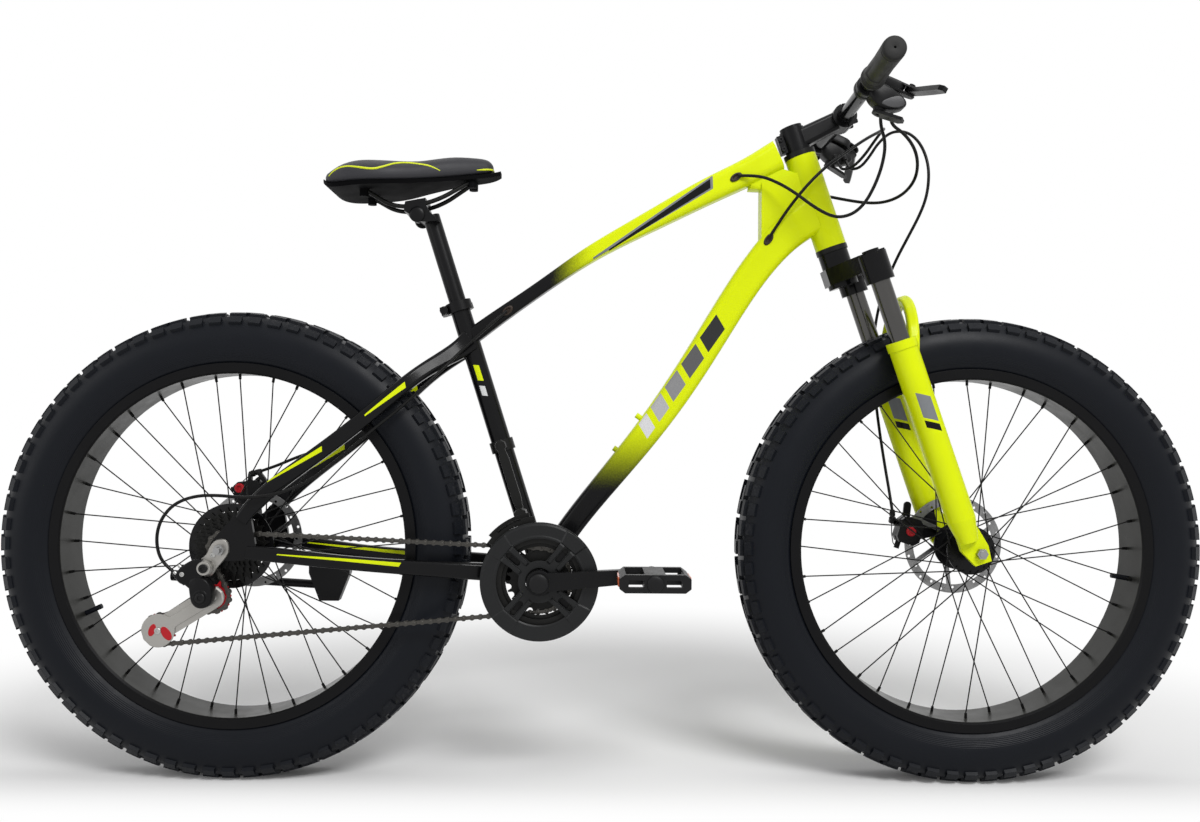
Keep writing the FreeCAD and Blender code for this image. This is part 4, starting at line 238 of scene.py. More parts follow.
class Graph:
    """Adds and links nodes in one node tree."""

    def __init__(self, tree: Tree) -> None:
        """Keeps the tree that the nodes go in."""
        self.tree = tree

    def add(self, kind: str, inputs: dict[Any, Any] | None = None, **settings: Any) -> bpy.types.Node:
        """Adds a node, with its settings and inputs.

        Args:
            kind: The node's type name.
            inputs: Values or sockets by the input's name or number.
            settings: Attributes of the node.

        Returns:
            The new node.
        """
        node = self.tree.nodes.new(kind)
        for name, value in settings.items():
            setattr(node, name, value)
        for name, value in (inputs or {}).items():
            self.feed(node.inputs[name], value)
        return node

    def feed(self, socket: bpy.types.NodeSocket, value: Any) -> None:
        """Links a socket into an input, or sets the input's own value.

        Args:
            socket: The input to fill.
            value: A socket, or a plain value.
        """
        if isinstance(value, bpy.types.NodeSocket):
            self.tree.links.new(value, socket)
        else:
            socket.default_value = value

    def sum(self, operation: str, first: Any, second: Any = 0.0, clamp: bool = False) -> bpy.types.NodeSocket:
        """Adds a math node with one or two values, and gives its result."""
        node = self.add("ShaderNodeMath", {0: first, 1: second}, operation=operation, use_clamp=clamp)
        return node.outputs[0]

    def vector(self, operation: str, first: Any, second: Any) -> bpy.types.Node:
        """Adds a vector math node with two vectors."""
        return self.add("ShaderNodeVectorMath", {0: first, 1: second}, operation=operation)

    def step(self, value: Any, low: Any, high: Any) -> bpy.types.NodeSocket:
        """Adds a smooth step from 0 at the low value to 1 at the high one."""
        node = self.add("ShaderNodeMapRange", {"Value": value, "From Min": low, "From Max": high},
                        interpolation_type="SMOOTHSTEP")
        return node.outputs["Result"]

    def mix(self, mask: Any, first: Any, second: Any) -> bpy.types.NodeSocket:
        """Mixes two colours by a mask.

        Args:
            mask: Mask value or socket.
            first: Colour where the mask is 0.
            second: Colour where the mask is 1.

        Returns:
            The mixed colour's socket.
        """
        node = self.add("ShaderNodeMix", data_type="RGBA")
        self.feed(node.inputs[0], mask)
        self.feed(node.inputs[6], opaque(first))
        self.feed(node.inputs[7], opaque(second))
        return node.outputs[2]

    def place(self) -> bpy.types.NodeSocket:
        """Place on the piece in the row frame."""
        return self.add("ShaderNodeTexCoord").outputs["Object"]


def opaque(colour: Any) -> Any:
    """Gives a plain colour its alpha, and leaves a socket as it is."""
    return colour if isinstance(colour, bpy.types.NodeSocket) else (*colour, 1.0)


@dataclass
class GroupKit:
    """Shader node groups that several materials use, each built once."""

    built: dict[str, Tree] = field(default_factory=dict)

    def tree(self, name: str) -> Tree:
        """Gives a group by name, and builds it on its first use.

        Args:
            name: The group's name.

        Returns:
            The group's node tree.
        """
        makers: dict[str, Callable[[], Tree]] = {
            "Moulded grain": self._moulded_grain,
            "Colour drift": self._colour_drift,
            "Edge rub": self._edge_rub,
            "Slanted patch": self._slanted_patch,
            "Paint fade": self._paint_fade,
            "Axle distance": self._axle_distance,
            "Road dust": self._road_dust,
        }
        if name not in self.built:
            self.built[name] = makers[name]()
        return self.built[name]

    def use(self, graph: Graph, name: str, inputs: dict[str, Any]) -> Any:
        """Places a group in a material.

        Args:
            graph: The material's graph.
            name: The group's name.
            inputs: Values or sockets by input name.

        Returns:
            The group's output sockets by name.
        """
        node = graph.add("ShaderNodeGroup")
        node.node_tree = self.tree(name)
        for label, value in inputs.items():
            graph.feed(node.inputs[label], value)
        return node.outputs

    @staticmethod
    def _start(name: str, inputs: dict[str, Socket], outputs: dict[str, Socket]) -> tuple[Graph, Any, Any]:
        """Starts a group with its named sockets.

        Args:
            name: The group's name.
            inputs: Input names and kinds.
            outputs: Output names and kinds.

        Returns:
            The graph, the sockets that the group is given and those that it gives.
        """
        tree = bpy.data.node_groups.new(name, "ShaderNodeTree")
        for label, kind in inputs.items():
            tree.interface.new_socket(name=label, in_out="INPUT", socket_type=kind.value)
        for label, kind in outputs.items():
            tree.interface.new_socket(name=label, in_out="OUTPUT", socket_type=kind.value)
        graph = Graph(tree)
        return graph, graph.add("NodeGroupInput").outputs, graph.add("NodeGroupOutput").inputs

    def _moulded_grain(self) -> Tree:
        """Fine pebbled grain as a height, and a roughness that drifts with it."""
        graph, given, out = self._start("Moulded grain", {"Scale": Socket.VALUE, "Roughness": Socket.VALUE},
                                        {"Height": Socket.VALUE, "Roughness": Socket.VALUE})
        place = graph.place()
        fine = graph.add("ShaderNodeTexVoronoi", {"Vector": place, "Scale": given["Scale"]})
        cloud = graph.add("ShaderNodeTexNoise", {"Vector": place, "Scale": 35.0, "Detail": 4.0})
        drift = graph.sum("MULTIPLY_ADD", cloud.outputs[0], 0.24)
        graph.feed(drift.node.inputs[2], -0.12)
        graph.feed(out["Height"], fine.outputs["Distance"])
        graph.feed(out["Roughness"], graph.sum("ADD", given["Roughness"], drift, clamp=True))
        return graph.tree

    def _colour_drift(self) -> Tree:
        """Slow change of a colour's brightness over the surface."""
        graph, given, out = self._start("Colour drift", {"Color": Socket.COLOUR, "Amount": Socket.VALUE},
                                        {"Color": Socket.COLOUR})
        noise = graph.add("ShaderNodeTexNoise", {"Vector": graph.place(), "Scale": 22.0, "Detail": 5.0})
        centred = graph.sum("SUBTRACT", noise.outputs[0], 0.5)
        gain = graph.sum("MULTIPLY", centred, given["Amount"])
        value = graph.add("ShaderNodeHueSaturation", {"Color": given["Color"],
                                                      "Value": graph.sum("ADD", gain, 1.0)})
        graph.feed(out["Color"], value.outputs["Color"])
        return graph.tree

    def _edge_rub(self) -> Tree:
        """Softened edges as a normal, and a mask where hands and boots rub them."""
        graph, given, out = self._start("Edge rub", {"Radius": Socket.VALUE, "Amount": Socket.VALUE},
                                        {"Normal": Socket.VECTOR, "Mask": Socket.VALUE})
        soft = graph.add("ShaderNodeBevel", {"Radius": given["Radius"]}, samples=4)
        flat = graph.add("ShaderNodeNewGeometry").outputs["Normal"]
        along = graph.vector("DOT_PRODUCT", soft.outputs["Normal"], flat).outputs["Value"]
        bent = graph.step(graph.sum("SUBTRACT", 1.0, along), 0.02, 0.2)
        noise = graph.add("ShaderNodeTexNoise", {"Vector": graph.place(), "Scale": 120.0, "Detail": 6.0})
        patchy = graph.step(noise.outputs[0], 0.48, 0.72)
        rub = graph.sum("MULTIPLY", graph.sum("MULTIPLY", bent, patchy), given["Amount"], clamp=True)
        graph.feed(out["Normal"], soft.outputs["Normal"])
        graph.feed(out["Mask"], rub)
        return graph.tree

    def _slanted_patch(self) -> Tree:
        """Tapered patch with slanted ends, seen square to the side of the bicycle."""
        inputs = {"Start": Socket.VECTOR, "Along": Socket.VECTOR, "Across": Socket.VECTOR,
                  "Length": Socket.VALUE, "Half start": Socket.VALUE, "Half end": Socket.VALUE,
                  "Slant": Socket.VALUE}
        graph, given, out = self._start("Slanted patch", inputs, {"Mask": Socket.VALUE})
        edge = 0.0004
        local = graph.vector("SUBTRACT", graph.place(), given["Start"]).outputs["Vector"]
        across = graph.vector("DOT_PRODUCT", local, given["Across"]).outputs["Value"]
        reach = graph.vector("DOT_PRODUCT", local, given["Along"]).outputs["Value"]
        along = graph.sum("SUBTRACT", reach, graph.sum("MULTIPLY", across, given["Slant"]))
        share = graph.sum("DIVIDE", along, given["Length"], clamp=True)
        growth = graph.sum("SUBTRACT", given["Half end"], given["Half start"])
        half = graph.sum("ADD", given["Half start"], graph.sum("MULTIPLY", share, growth))
        inside = graph.sum("SUBTRACT", half, graph.sum("ABSOLUTE", across))
        before_end = graph.sum("SUBTRACT", given["Length"], along)
        mask = graph.sum("MULTIPLY", graph.step(inside, 0.0, edge), graph.step(along, 0.0, edge))
        mask = graph.sum("MULTIPLY", mask, graph.step(before_end, 0.0, edge))
        graph.feed(out["Mask"], mask)
        return graph.tree

    def _paint_fade(self) -> Tree:
        """Sprayed change from one paint to another along a direction."""
        inputs = {"Direction": Socket.VECTOR, "From": Socket.VALUE, "To": Socket.VALUE}
        graph, given, out = self._start("Paint fade", inputs, {"Mask": Socket.VALUE})
        place = graph.place()
        mist = graph.add("ShaderNodeTexNoise", {"Vector": place, "Scale": 420.0, "Detail": 3.0})
        spray = graph.sum("MULTIPLY", graph.sum("SUBTRACT", mist.outputs[0], 0.5), 0.02)
        reach = graph.vector("DOT_PRODUCT", place, given["Direction"]).outputs["Value"]
        graph.feed(out["Mask"], graph.step(graph.sum("ADD", reach, spray), given["From"],
                                                  given["To"]))
        return graph.tree

    def _axle_distance(self) -> Tree:
        """Distance from a wheel's axle, the turn about it, and the distance from the wheel's middle plane."""
        outputs = {"Radius": Socket.VALUE, "Turn": Socket.VALUE, "Side": Socket.VALUE}
        graph, given, out = self._start("Axle distance", {"Axle": Socket.VECTOR}, outputs)
        local = graph.vector("SUBTRACT", graph.place(), given["Axle"]).outputs["Vector"]
        parts = graph.add("ShaderNodeSeparateXYZ", {0: local})
        x, z = parts.outputs["X"], parts.outputs["Z"]
        square = graph.sum("ADD", graph.sum("MULTIPLY", x, x), graph.sum("MULTIPLY", z, z))
        graph.feed(out["Radius"], graph.sum("SQRT", square))
        graph.feed(out["Turn"], graph.sum("ARCTAN2", z, x))
        graph.feed(out["Side"], graph.sum("ABSOLUTE", parts.outputs["Y"]))
        return graph.tree

    def _road_dust(self) -> Tree:
        """Thin patchy dust as a mask."""
        graph, given, out = self._start("Road dust", {"Amount": Socket.VALUE}, {"Mask": Socket.VALUE})
        place = graph.place()
        broad = graph.add("ShaderNodeTexNoise", {"Vector": place, "Scale": 14.0, "Detail": 6.0})
        fine = graph.add("ShaderNodeTexNoise", {"Vector": place, "Scale": 260.0, "Detail": 3.0})
        both = graph.sum("MULTIPLY", graph.step(broad.outputs[0], 0.35, 0.75),
                         graph.step(fine.outputs[0], 0.4, 0.7))
        graph.feed(out["Mask"], graph.sum("MULTIPLY", both, given["Amount"]))
        return graph.tree


@dataclass(frozen=True)
class Finish:
    """Plain values of one surface finish."""

    name: str
    colour: Colour
    roughness: float
    metallic: float = 0.0
    coat: float = 0.0
    coat_roughness: float = 0.06
    specular: float = 0.5
    grain_scale: float = 1400.0
    grain_depth: float = 0.06
    drift: float = 0.12
    edge: float = 0.0006
    rub: float = 0.35
    rub_colour: Colour = (0.30, 0.30, 0.31)


@dataclass(frozen=True)
class Patch:
    """Plain sticker or sprayed bar on a tube's sides."""

    start: Point
    end: Point
    colour: Colour
    half_start: float
    half_end: float
    slant: float = 0.0


NEON = (0.66, 0.765, 0.004)
GLOSS_BLACK = (0.0045, 0.0045, 0.005)
GREY = (0.19, 0.20, 0.21)
PALE = (0.62, 0.63, 0.63)


class Finishes:
    """The bicycle's finishes."""

    PAINT = Finish("Sprayed paint", NEON, 0.26, coat=0.04, specular=0.10, grain_depth=0.012,
                   grain_scale=700.0, drift=0.08, rub=0.0)
    BLACK_PAINT = Finish("Gloss black paint", GLOSS_BLACK, 0.17, coat=0.03, specular=0.12, grain_depth=0.01,
                         grain_scale=700.0, rub=0.1)
    SATIN_ALLOY = Finish("Satin black alloy", (0.005, 0.005, 0.0055), 0.3, specular=0.13, rub=0.2)
    SILVER_ALLOY = Finish("Bare alloy", (0.34, 0.33, 0.31), 0.38, metallic=0.85, rub=0.5,
                          rub_colour=(0.55, 0.54, 0.52))
    STANCHION = Finish("Hard chrome", (0.085, 0.083, 0.08), 0.2, metallic=1.0, grain_depth=0.01, rub=0.0)
    STEEL = Finish("Bare steel", (0.30, 0.30, 0.30), 0.32, metallic=0.95, rub=0.4, rub_colour=(0.5, 0.5, 0.5))
    DARK_STEEL = Finish("Oiled steel", (0.012, 0.012, 0.0115), 0.38, metallic=0.4, specular=0.15, drift=0.4,
                        rub=0.5, rub_colour=(0.12, 0.12, 0.12))
    CHAIN_STEEL = Finish("Chain plates", (0.060, 0.057, 0.052), 0.34, metallic=0.85, drift=0.5, edge=0.0003,
                         rub=0.7, rub_colour=(0.26, 0.25, 0.24))
    SPOKE = Finish("Black spokes", (0.005, 0.005, 0.005), 0.36, specular=0.14, edge=0.0002, rub=0.0)
    HUB = Finish("Hub shell", (0.005, 0.005, 0.0055), 0.24, specular=0.16)
    PLASTIC = Finish("Moulded plastic", (0.0075, 0.0075, 0.008), 0.4, specular=0.16, grain_depth=0.14,
                     edge=0.0012, rub=0.2, rub_colour=(0.04, 0.04, 0.04))
    GUARD = Finish("Guard plastic", (0.0095, 0.010, 0.0105), 0.34, specular=0.2, grain_depth=0.06,
                   edge=0.0012, rub=0.15, rub_colour=(0.06, 0.06, 0.06))
    RUBBER = Finish("Grip rubber", (0.016, 0.016, 0.0155), 0.55, specular=0.18, grain_depth=0.2,
                    grain_scale=900.0, rub=0.2, rub_colour=(0.06, 0.06, 0.06))
    HOUSING = Finish("Cable housing", (0.005, 0.005, 0.005), 0.3, specular=0.15, grain_depth=0.03,
                     edge=0.0002, rub=0.0)
    PULLEY = Finish("Red plastic", (0.40, 0.006, 0.012), 0.4, specular=0.3, rub=0.2,
                    rub_colour=(0.5, 0.2, 0.2))
    SMOKED = Finish("Smoked plastic", (0.005, 0.005, 0.0055), 0.16, specular=0.2, rub=0.0)
    GROMMET = Finish("Port rubber", (0.022, 0.013, 0.008), 0.55, specular=0.3, grain_depth=0.1, rub=0.0)
    LEATHER = Finish("Saddle cover", (0.030, 0.030, 0.034), 0.48, specular=0.18, grain_depth=0.2,
                     grain_scale=620.0, rub=0.0)
    SHELL = Finish("Saddle shell", (0.004, 0.004, 0.0045), 0.65, specular=0.03, grain_depth=0.1, rub=0.0)
    COVER = Finish("Shifter cover", (0.060, 0.060, 0.063), 0.36, specular=0.25, grain_depth=0.1, rub=0.2)
    PIPING = Finish("Yellow piping", (0.66, 0.74, 0.02), 0.45, specular=0.3, grain_depth=0.2, rub=0.0)
    REFLECTOR = Finish("Amber lens", (0.72, 0.12, 0.01), 0.14, coat=0.3, grain_depth=0.5, grain_scale=500.0,
                       rub=0.0)
    BOLT = Finish("Black bolts", (0.010, 0.010, 0.0105), 0.28, metallic=0.3, specular=0.2, rub=0.5,
                  rub_colour=(0.16, 0.16, 0.16))
    STEEL_BOLT = Finish("Plated bolts", (0.42, 0.42, 0.41), 0.3, metallic=0.95, rub=0.3,
                        rub_colour=(0.6, 0.6, 0.6))


@dataclass
class Paintbox:
    """Builds each material once."""

    groups: GroupKit = field(default_factory=GroupKit)
    made: dict[str, Material] = field(default_factory=dict)

    def plain(self, finish: Finish) -> Material:
        """Gives the material of a finish that has one colour.

        Args:
            finish: The finish.

        Returns:
            Its material.
        """
        if finish.name not in self.made:
            self.made[finish.name] = self.compose(finish.name, finish, lambda graph: finish.colour)
        return self.made[finish.name]

    def compose(self, name: str, finish: Finish, colour: Callable[[Graph], Any]) -> Material:
        """Builds a material whose colour is worked out by a function.

        Args:
            name: The material's name.
            finish: Its other values.
            colour: Gives the base colour, as a value or a socket.

        Returns:
            The material.
        """
        material = bpy.data.materials.new(name)
        material.use_nodes = True
        material.node_tree.nodes.clear()
        graph = Graph(material.node_tree)
        out = graph.add("ShaderNodeOutputMaterial")
        grain = self.groups.use(graph, "Moulded grain",
                                {"Scale": finish.grain_scale, "Roughness": finish.roughness})
        edge = self.groups.use(graph, "Edge rub", {"Radius": finish.edge, "Amount": finish.rub})
        drift = self.groups.use(graph, "Colour drift",
                                {"Color": opaque(colour(graph)), "Amount": finish.drift})
        rubbed = graph.mix(edge["Mask"], drift["Color"], finish.rub_colour)
        bump = graph.add("ShaderNodeBump", {"Strength": finish.grain_depth, "Distance": 0.0004,
                                            "Height": grain["Height"], "Normal": edge["Normal"]})
        shader = graph.add("ShaderNodeBsdfPrincipled", {
            "Base Color": rubbed, "Metallic": finish.metallic, "Roughness": grain["Roughness"],
            "Coat Weight": finish.coat, "Coat Roughness": finish.coat_roughness,
            "Specular IOR Level": finish.specular, "Normal": bump.outputs["Normal"]})
        graph.feed(out.inputs["Surface"], shader.outputs["BSDF"])
        return material

    def patched(self, graph: Graph, base: Any, patches: Iterable[Patch]) -> Any:
        """Lays stickers over a base colour.

        Args:
            graph: The material's graph.
            base: Colour under the stickers.
            patches: The stickers, the lowest first.

        Returns:
            The colour with the stickers on it.
        """
        colour = base
        for patch in patches:
            start, end = Vector(patch.start), Vector(patch.end)
            along = (end - start).normalized()
            across = Vector((-along.z, 0.0, along.x))
            mask = self.groups.use(graph, "Slanted patch", {
                "Start": start, "Along": along, "Across": across, "Length": (end - start).length,
                "Half start": patch.half_start, "Half end": patch.half_end, "Slant": patch.slant})
            colour = graph.mix(mask["Mask"], colour, patch.colour)
        return colour

    def sprayed(self, name: str, direction: Point, black: float, yellow: float,
                patches: Sequence[Patch]) -> Material:
        """Builds paint that fades from black to yellow, with stickers.

        Args:
            name: The material's name.
            direction: Direction of the fade.
            black: Place along it where the paint is black.
            yellow: Place along it where the paint is yellow.
            patches: Stickers over the paint.

        Returns:
            The material.
        """
        def colour(graph: Graph) -> Any:
            """Faded colour with its stickers."""
            fade = self.groups.use(graph, "Paint fade", {"Direction": direction, "From": black, "To": yellow})
            return self.patched(graph, graph.mix(fade["Mask"], GLOSS_BLACK, NEON), patches)

        return self.compose(name, Finishes.PAINT, colour)

    def striped(self, name: str, finish: Finish, patches: Sequence[Patch]) -> Material:
        """Builds one paint with stickers on it."""
        return self.compose(name, finish, lambda graph: self.patched(graph, finish.colour, patches))


@dataclass
class Wheel:
    """Materials of one wheel's tyre, rim and disc."""

    paints: Paintbox
    name: str
    axle: Vector
    tread_radius: float = 0.3455
    bead_radius: float = 0.291
    rim_wall: float = 0.0372
    # Near-black rubber whose blue tint is painted sheen, standing in for the bluish sheen on the lit sidewalls.
    rubber: Colour = (0.0042, 0.0052, 0.0078)
    dust: Colour = (0.030, 0.030, 0.032)
    rim_grey: Colour = (0.029, 0.029, 0.026)
    rim_shade: float = 0.72
    disc_shades: tuple[Colour, Colour] = ((0.12, 0.12, 0.12), (0.36, 0.36, 0.36))
    tread_ramp: float = 0.012
    ring_waves: float = 2600.0
    ring_span: tuple[float, ...] = (0.004, 0.014, 0.020)

    def tyre(self) -> Material:
        """Rubber with smooth moulded sidewalls and a duller, dusty tread, in a near-black whose blue tint is a painted
        sheen.
        """
        finish = Finish("Tyre", self.rubber, 0.4, specular=0.13, grain_depth=0.1, grain_scale=800.0,
                        edge=0.0009, rub=0.0)

        def colour(graph: Graph) -> Any:
            """Rubber that is paler where the tread meets the road."""
            place = self.paints.groups.use(graph, "Axle distance", {"Axle": self.axle})
            dust = self.paints.groups.use(graph, "Road dust", {"Amount": 0.6})
            tread = graph.step(place["Radius"], self.tread_radius, self.tread_radius + self.tread_ramp)
            worn = graph.sum("MULTIPLY", dust["Mask"], tread)
            # The rubber colour carries the painted blue sheen; the paler tread is real dust.
            return graph.mix(worn, self.rubber, self.dust)

        material = self.paints.compose(f"{self.name} tyre rubber", finish, colour)
        self._mould_rings(material)
        return material

    def _mould_rings(self, material: Material) -> None:
        """Adds the fine rings that the mould leaves on the sidewalls.

        Args:
            material: The tyre's material.
        """
        graph = Graph(material.node_tree)
        shader = next(n for n in material.node_tree.nodes if n.type == "BSDF_PRINCIPLED")
        bump = next(n for n in material.node_tree.nodes if n.type == "BUMP")
        place = self.paints.groups.use(graph, "Axle distance", {"Axle": self.axle})
        wave = graph.sum("SINE", graph.sum("MULTIPLY", place["Radius"], self.ring_waves))
        full, fading, gone = (self.bead_radius + reach for reach in self.ring_span)
        low = graph.step(place["Radius"], self.bead_radius, full)
        high = graph.step(place["Radius"], gone, fading)
        height = graph.sum("MULTIPLY", wave, graph.sum("MULTIPLY", low, high))
        rings = graph.add("ShaderNodeBump", {"Strength": 0.35, "Distance": 0.0004, "Height": height,
                                             "Normal": bump.outputs["Normal"]})
        graph.feed(shader.inputs["Normal"], rings.outputs["Normal"])

    @staticmethod
    def drawn_lines(graph: Graph, first: tuple[Any, float], second: tuple[Any, float],
                    detail: float) -> bpy.types.NodeSocket:
        """Noise drawn out into fine lines.

        Args:
            graph: The material's graph.
            first: A measure of the wheel, and the noise's scale along it.
            second: Another measure with its scale.
            detail: The noise's detail.

        Returns:
            The lines' socket.
        """
        lines = graph.add("ShaderNodeTexNoise", {"Scale": 1.0, "Detail": detail})
        stretch = graph.add("ShaderNodeCombineXYZ", {"X": graph.sum("MULTIPLY", *first),
                                                     "Y": graph.sum("MULTIPLY", *second)})
        graph.feed(lines.inputs["Vector"], stretch.outputs[0])
        return lines.outputs[0]

    def rim(self) -> Material:
        """Black sides and a bare grey inner face with drawn lines."""
        finish = Finish("Rim", GLOSS_BLACK, 0.34, metallic=0.35, specular=0.14, edge=0.0008, rub=0.1)

        def colour(graph: Graph) -> Any:
            """Grey between the two black sides."""
            place = self.paints.groups.use(graph, "Axle distance", {"Axle": self.axle})
            inner = graph.step(place["Side"], self.rim_wall + 0.0006, self.rim_wall)
            lines = self.drawn_lines(graph, (place["Turn"], 2.0), (place["Side"], 900.0), 4.0)
            drawn = graph.mix(lines, tuple(c * self.rim_shade for c in self.rim_grey), self.rim_grey)
            return graph.mix(inner, GLOSS_BLACK, drawn)

        return self.paints.compose(f"{self.name} rim", finish, colour)

    def disc(self) -> Material:
        """Steel with the fine rings that the pads leave."""
        def colour(graph: Graph) -> Any:
            """Brushed rings about the axle."""
            place = self.paints.groups.use(graph, "Axle distance", {"Axle": self.axle})
            lines = self.drawn_lines(graph, (place["Radius"], 2200.0), (place["Turn"], 1.5), 3.0)
            return graph.mix(lines, *self.disc_shades)

        return self.paints.compose(f"{self.name} disc", Finishes.STEEL, colour)


def new_piece(name: str, mesh: bpy.types.Mesh, material: Material, smooth: bool = True) -> Piece:
    """Puts a mesh in the scene as a piece.

    Args:
        name: The piece's name.
        mesh: Its mesh, in the row frame.
        material: Its material.
        smooth: Whether its faces are shaded smooth.

    Returns:
        The new object.
    """
    mesh.materials.clear()
    mesh.materials.append(material)
    for polygon in mesh.polygons:
        polygon.use_smooth = smooth
    piece = bpy.data.objects.new(name, mesh)
    bpy.context.scene.collection.objects.link(piece)
    return piece


def closed_mesh(name: str, work: Work) -> bpy.types.Mesh:
    """Turns a work mesh, which is used up, into a mesh whose faces point outwards.

    Args:
        name: The mesh's name.
        work: The work mesh.

    Returns:
        The mesh.
    """
    bmesh.ops.recalc_face_normals(work, faces=work.faces)
    mesh = bpy.data.meshes.new(name)
    work.to_mesh(mesh)
    work.free()
    return mesh


def tube_mesh(name: str, points: Sequence[Vector], radius: float, rings: int, steps: int,
              tip: float = 1.0) -> bpy.types.Mesh:
    """Makes a smooth line along points, bare or as a round tube.

    Args:
        name: The line's name.
        points: Points that it follows.
        radius: The tube's radius, or 0 for the bare line.
        rings: Steps of the tube's roundness.
        steps: Steps between two points.
        tip: Share of the radius at both ends.

    Returns:
        The mesh.
    """
    data = bpy.data.curves.new(name + "_line", "CURVE")
    data.dimensions = "3D"
    spline = data.splines.new("NURBS")
    spline.points.add(len(points) - 1)
    for point, place in zip(spline.points, points):
        point.co = (*place, 1.0)
    for end in (0, -1):
        spline.points[end].radius = tip
    spline.order_u = 3
    spline.use_endpoint_u = True
    spline.resolution_u = steps
    data.bevel_depth = radius
    data.bevel_resolution = rings
    data.use_fill_caps = True
    return bpy.data.meshes.new_from_object(bpy.data.objects.new(name + "_line", data))


def round_about(first: Vector, second: Vector, count: int) -> list[Vector]:
    """Directions spread evenly round a circle, from the first one towards the second."""
    turns = [2 * math.pi * k / count for k in range(count)]
    return [first * math.cos(turn) + second * math.sin(turn) for turn in turns]


def round_axis(axis: Vector, count: int) -> list[Vector]:
    """Directions square to an axis of length 1, spread evenly round it."""
    across = axis.orthogonal().normalized()
    return round_about(across, axis.cross(across), count)


def side_direction(degrees: float) -> Vector:
    """Direction at an angle, seen from the side of the bicycle."""
    return Vector((math.cos(math.radians(degrees)), 0.0, math.sin(math.radians(degrees))))


def turned_rings(work: Work, start: Vector, along: Vector, outs: Sequence[Vector],
                 profile: Profile) -> list[list[bmesh.types.BMVert]]:
    """Adds rings of points about an axis to a mesh.

    Args:
        work: The mesh that takes them.
        start: Where the axis starts.
        along: Direction of the axis.
        outs: Directions of the points in a ring.
        profile: Places along the axis with their radii, in millimetres.

    Returns:
        The rings.
    """
    rings = []
    for place, radius in profile:
        rings.append([work.verts.new(start + (along * place + out * radius) * MM) for out in outs])
    return rings


def skin(work: Work, rings: Sequence[Sequence[bmesh.types.BMVert]], foot: bool = True,
         face: bool = True) -> None:
    """Joins rings of points into a form.

    Args:
        work: The mesh that holds the points.
        rings: The rings, in order, with as many points each.
        foot: Whether the first ring is closed.
        face: Whether the last ring is closed.
    """
    for low, high in zip(rings, rings[1:]):
        for k in range(len(low)):
            after = (k + 1) % len(low)
            work.faces.new((low[k], low[after], high[after], high[k]))
    if face:
        work.faces.new(rings[-1])
    if foot:
        work.faces.new(list(reversed(rings[0])))


def add_turned(work: Work, start: Vector, axis: Vector, profile: Profile, sides: int = 32) -> None:
    """Adds a turned form, given by places along its axis with their radii in millimetres."""
    along = axis.normalized()
    skin(work, turned_rings(work, start, along, round_axis(along, sides), profile))


def add_dome(work: Work, place: Vector, axis: Vector, radius: float, height: float) -> None:
    """Adds a round cap with a domed face, which stands on the middle of its foot."""
    add_turned(work, place, axis, [(height * lift / MM, radius * share / MM) for lift, share in DOME_PROFILE])


def add_housing(work: Work, outline: Sequence[Vector], lift: Vector, draft: float = 0.16) -> None:
    """Adds a moulded housing whose two faces roll over at their edges.

    Args:
        work: The mesh that takes it.
        outline: Points of its outline, in order.
        lift: From its first face to its second.
        draft: Share by which the faces are smaller than the outline.
    """
    middle = sum(outline, Vector()) / len(outline)
    rings = []
    for share, inset in HOUSING_PROFILE:
        rings.append([work.verts.new(p.lerp(middle, inset * draft) + lift * share) for p in outline])
    skin(work, rings)


def add_plate(work: Work, outline: Sequence[Vector], lift: Vector, inset: float) -> None:
    """Adds a raised plate whose upper edge is chamfered.

    Args:
        work: The mesh that takes it.
        outline: Corners of its foot, in order.
        lift: From its foot to its face.
        inset: Share by which the face is smaller than the foot.
    """
    middle = sum(outline, Vector()) / len(outline)
    foot = [work.verts.new(p) for p in outline]
    shoulder = [work.verts.new(p + lift * PLATE_SHOULDER) for p in outline]
    face = [work.verts.new(p.lerp(middle, inset) + lift) for p in outline]
    skin(work, (foot, shoulder, face))


def rounded(corners: Sequence[Vector], times: int = 2) -> list[Vector]:
    """Outline with its corners cut round.

    Args:
        corners: The outline's corners, in order.
        times: How often each corner is cut.

    Returns:
        The rounder outline.
    """
    points = list(corners)
    for _ in range(times):
        cut = []
        for k, first in enumerate(points):
            second = points[(k + 1) % len(points)]
            cut += [first.lerp(second, 0.25), first.lerp(second, 0.75)]
        points = cut
    return points


def lobed(start: Vector, end: Vector, shape: Iterable[Pair]) -> list[Vector]:
    """Outline that is the same on both sides of a line, seen from the side of the bicycle.

    Args:
        start: Where the line starts.
        end: A point further along it.
        shape: Places along the line with half the width there.

    Returns:
        The outline's points.
    """
    along = (end - start).normalized()
    across = Vector((-along.z, 0.0, along.x))
    upper = list(shape)
    points = [start + along * u + across * v for u, v in upper]
    return points + [start + along * u - across * v for u, v in reversed(upper[1:-1])]


def trim_piece(name: str, work: Work, body: str | None, slot: str, material: Material,
               smooth: bool = False, node: str | None = None) -> Piece:
    """Turns a finished work mesh into a piece that rides a body.

    Args:
        name: The piece's name.
        work: The work mesh, which is used up.
        body: The body that it moves with, or none where it is blended later.
        slot: The record's material slot.
        material: Its material.
        smooth: Whether its faces are shaded smooth, apart from its sharp edges.
        node: The node that it replaces, if any.

    Returns:
        The piece.
    """
    mesh = closed_mesh(name, work)
    piece = new_piece(name, mesh, material, smooth)
    if smooth:
        mesh.set_sharp_from_angle(angle=SHARP_FROM)
    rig.slot(piece, slot)
    if body:
        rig.ride(piece, body)
    if node:
        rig.replaces(piece, node)
    return piece


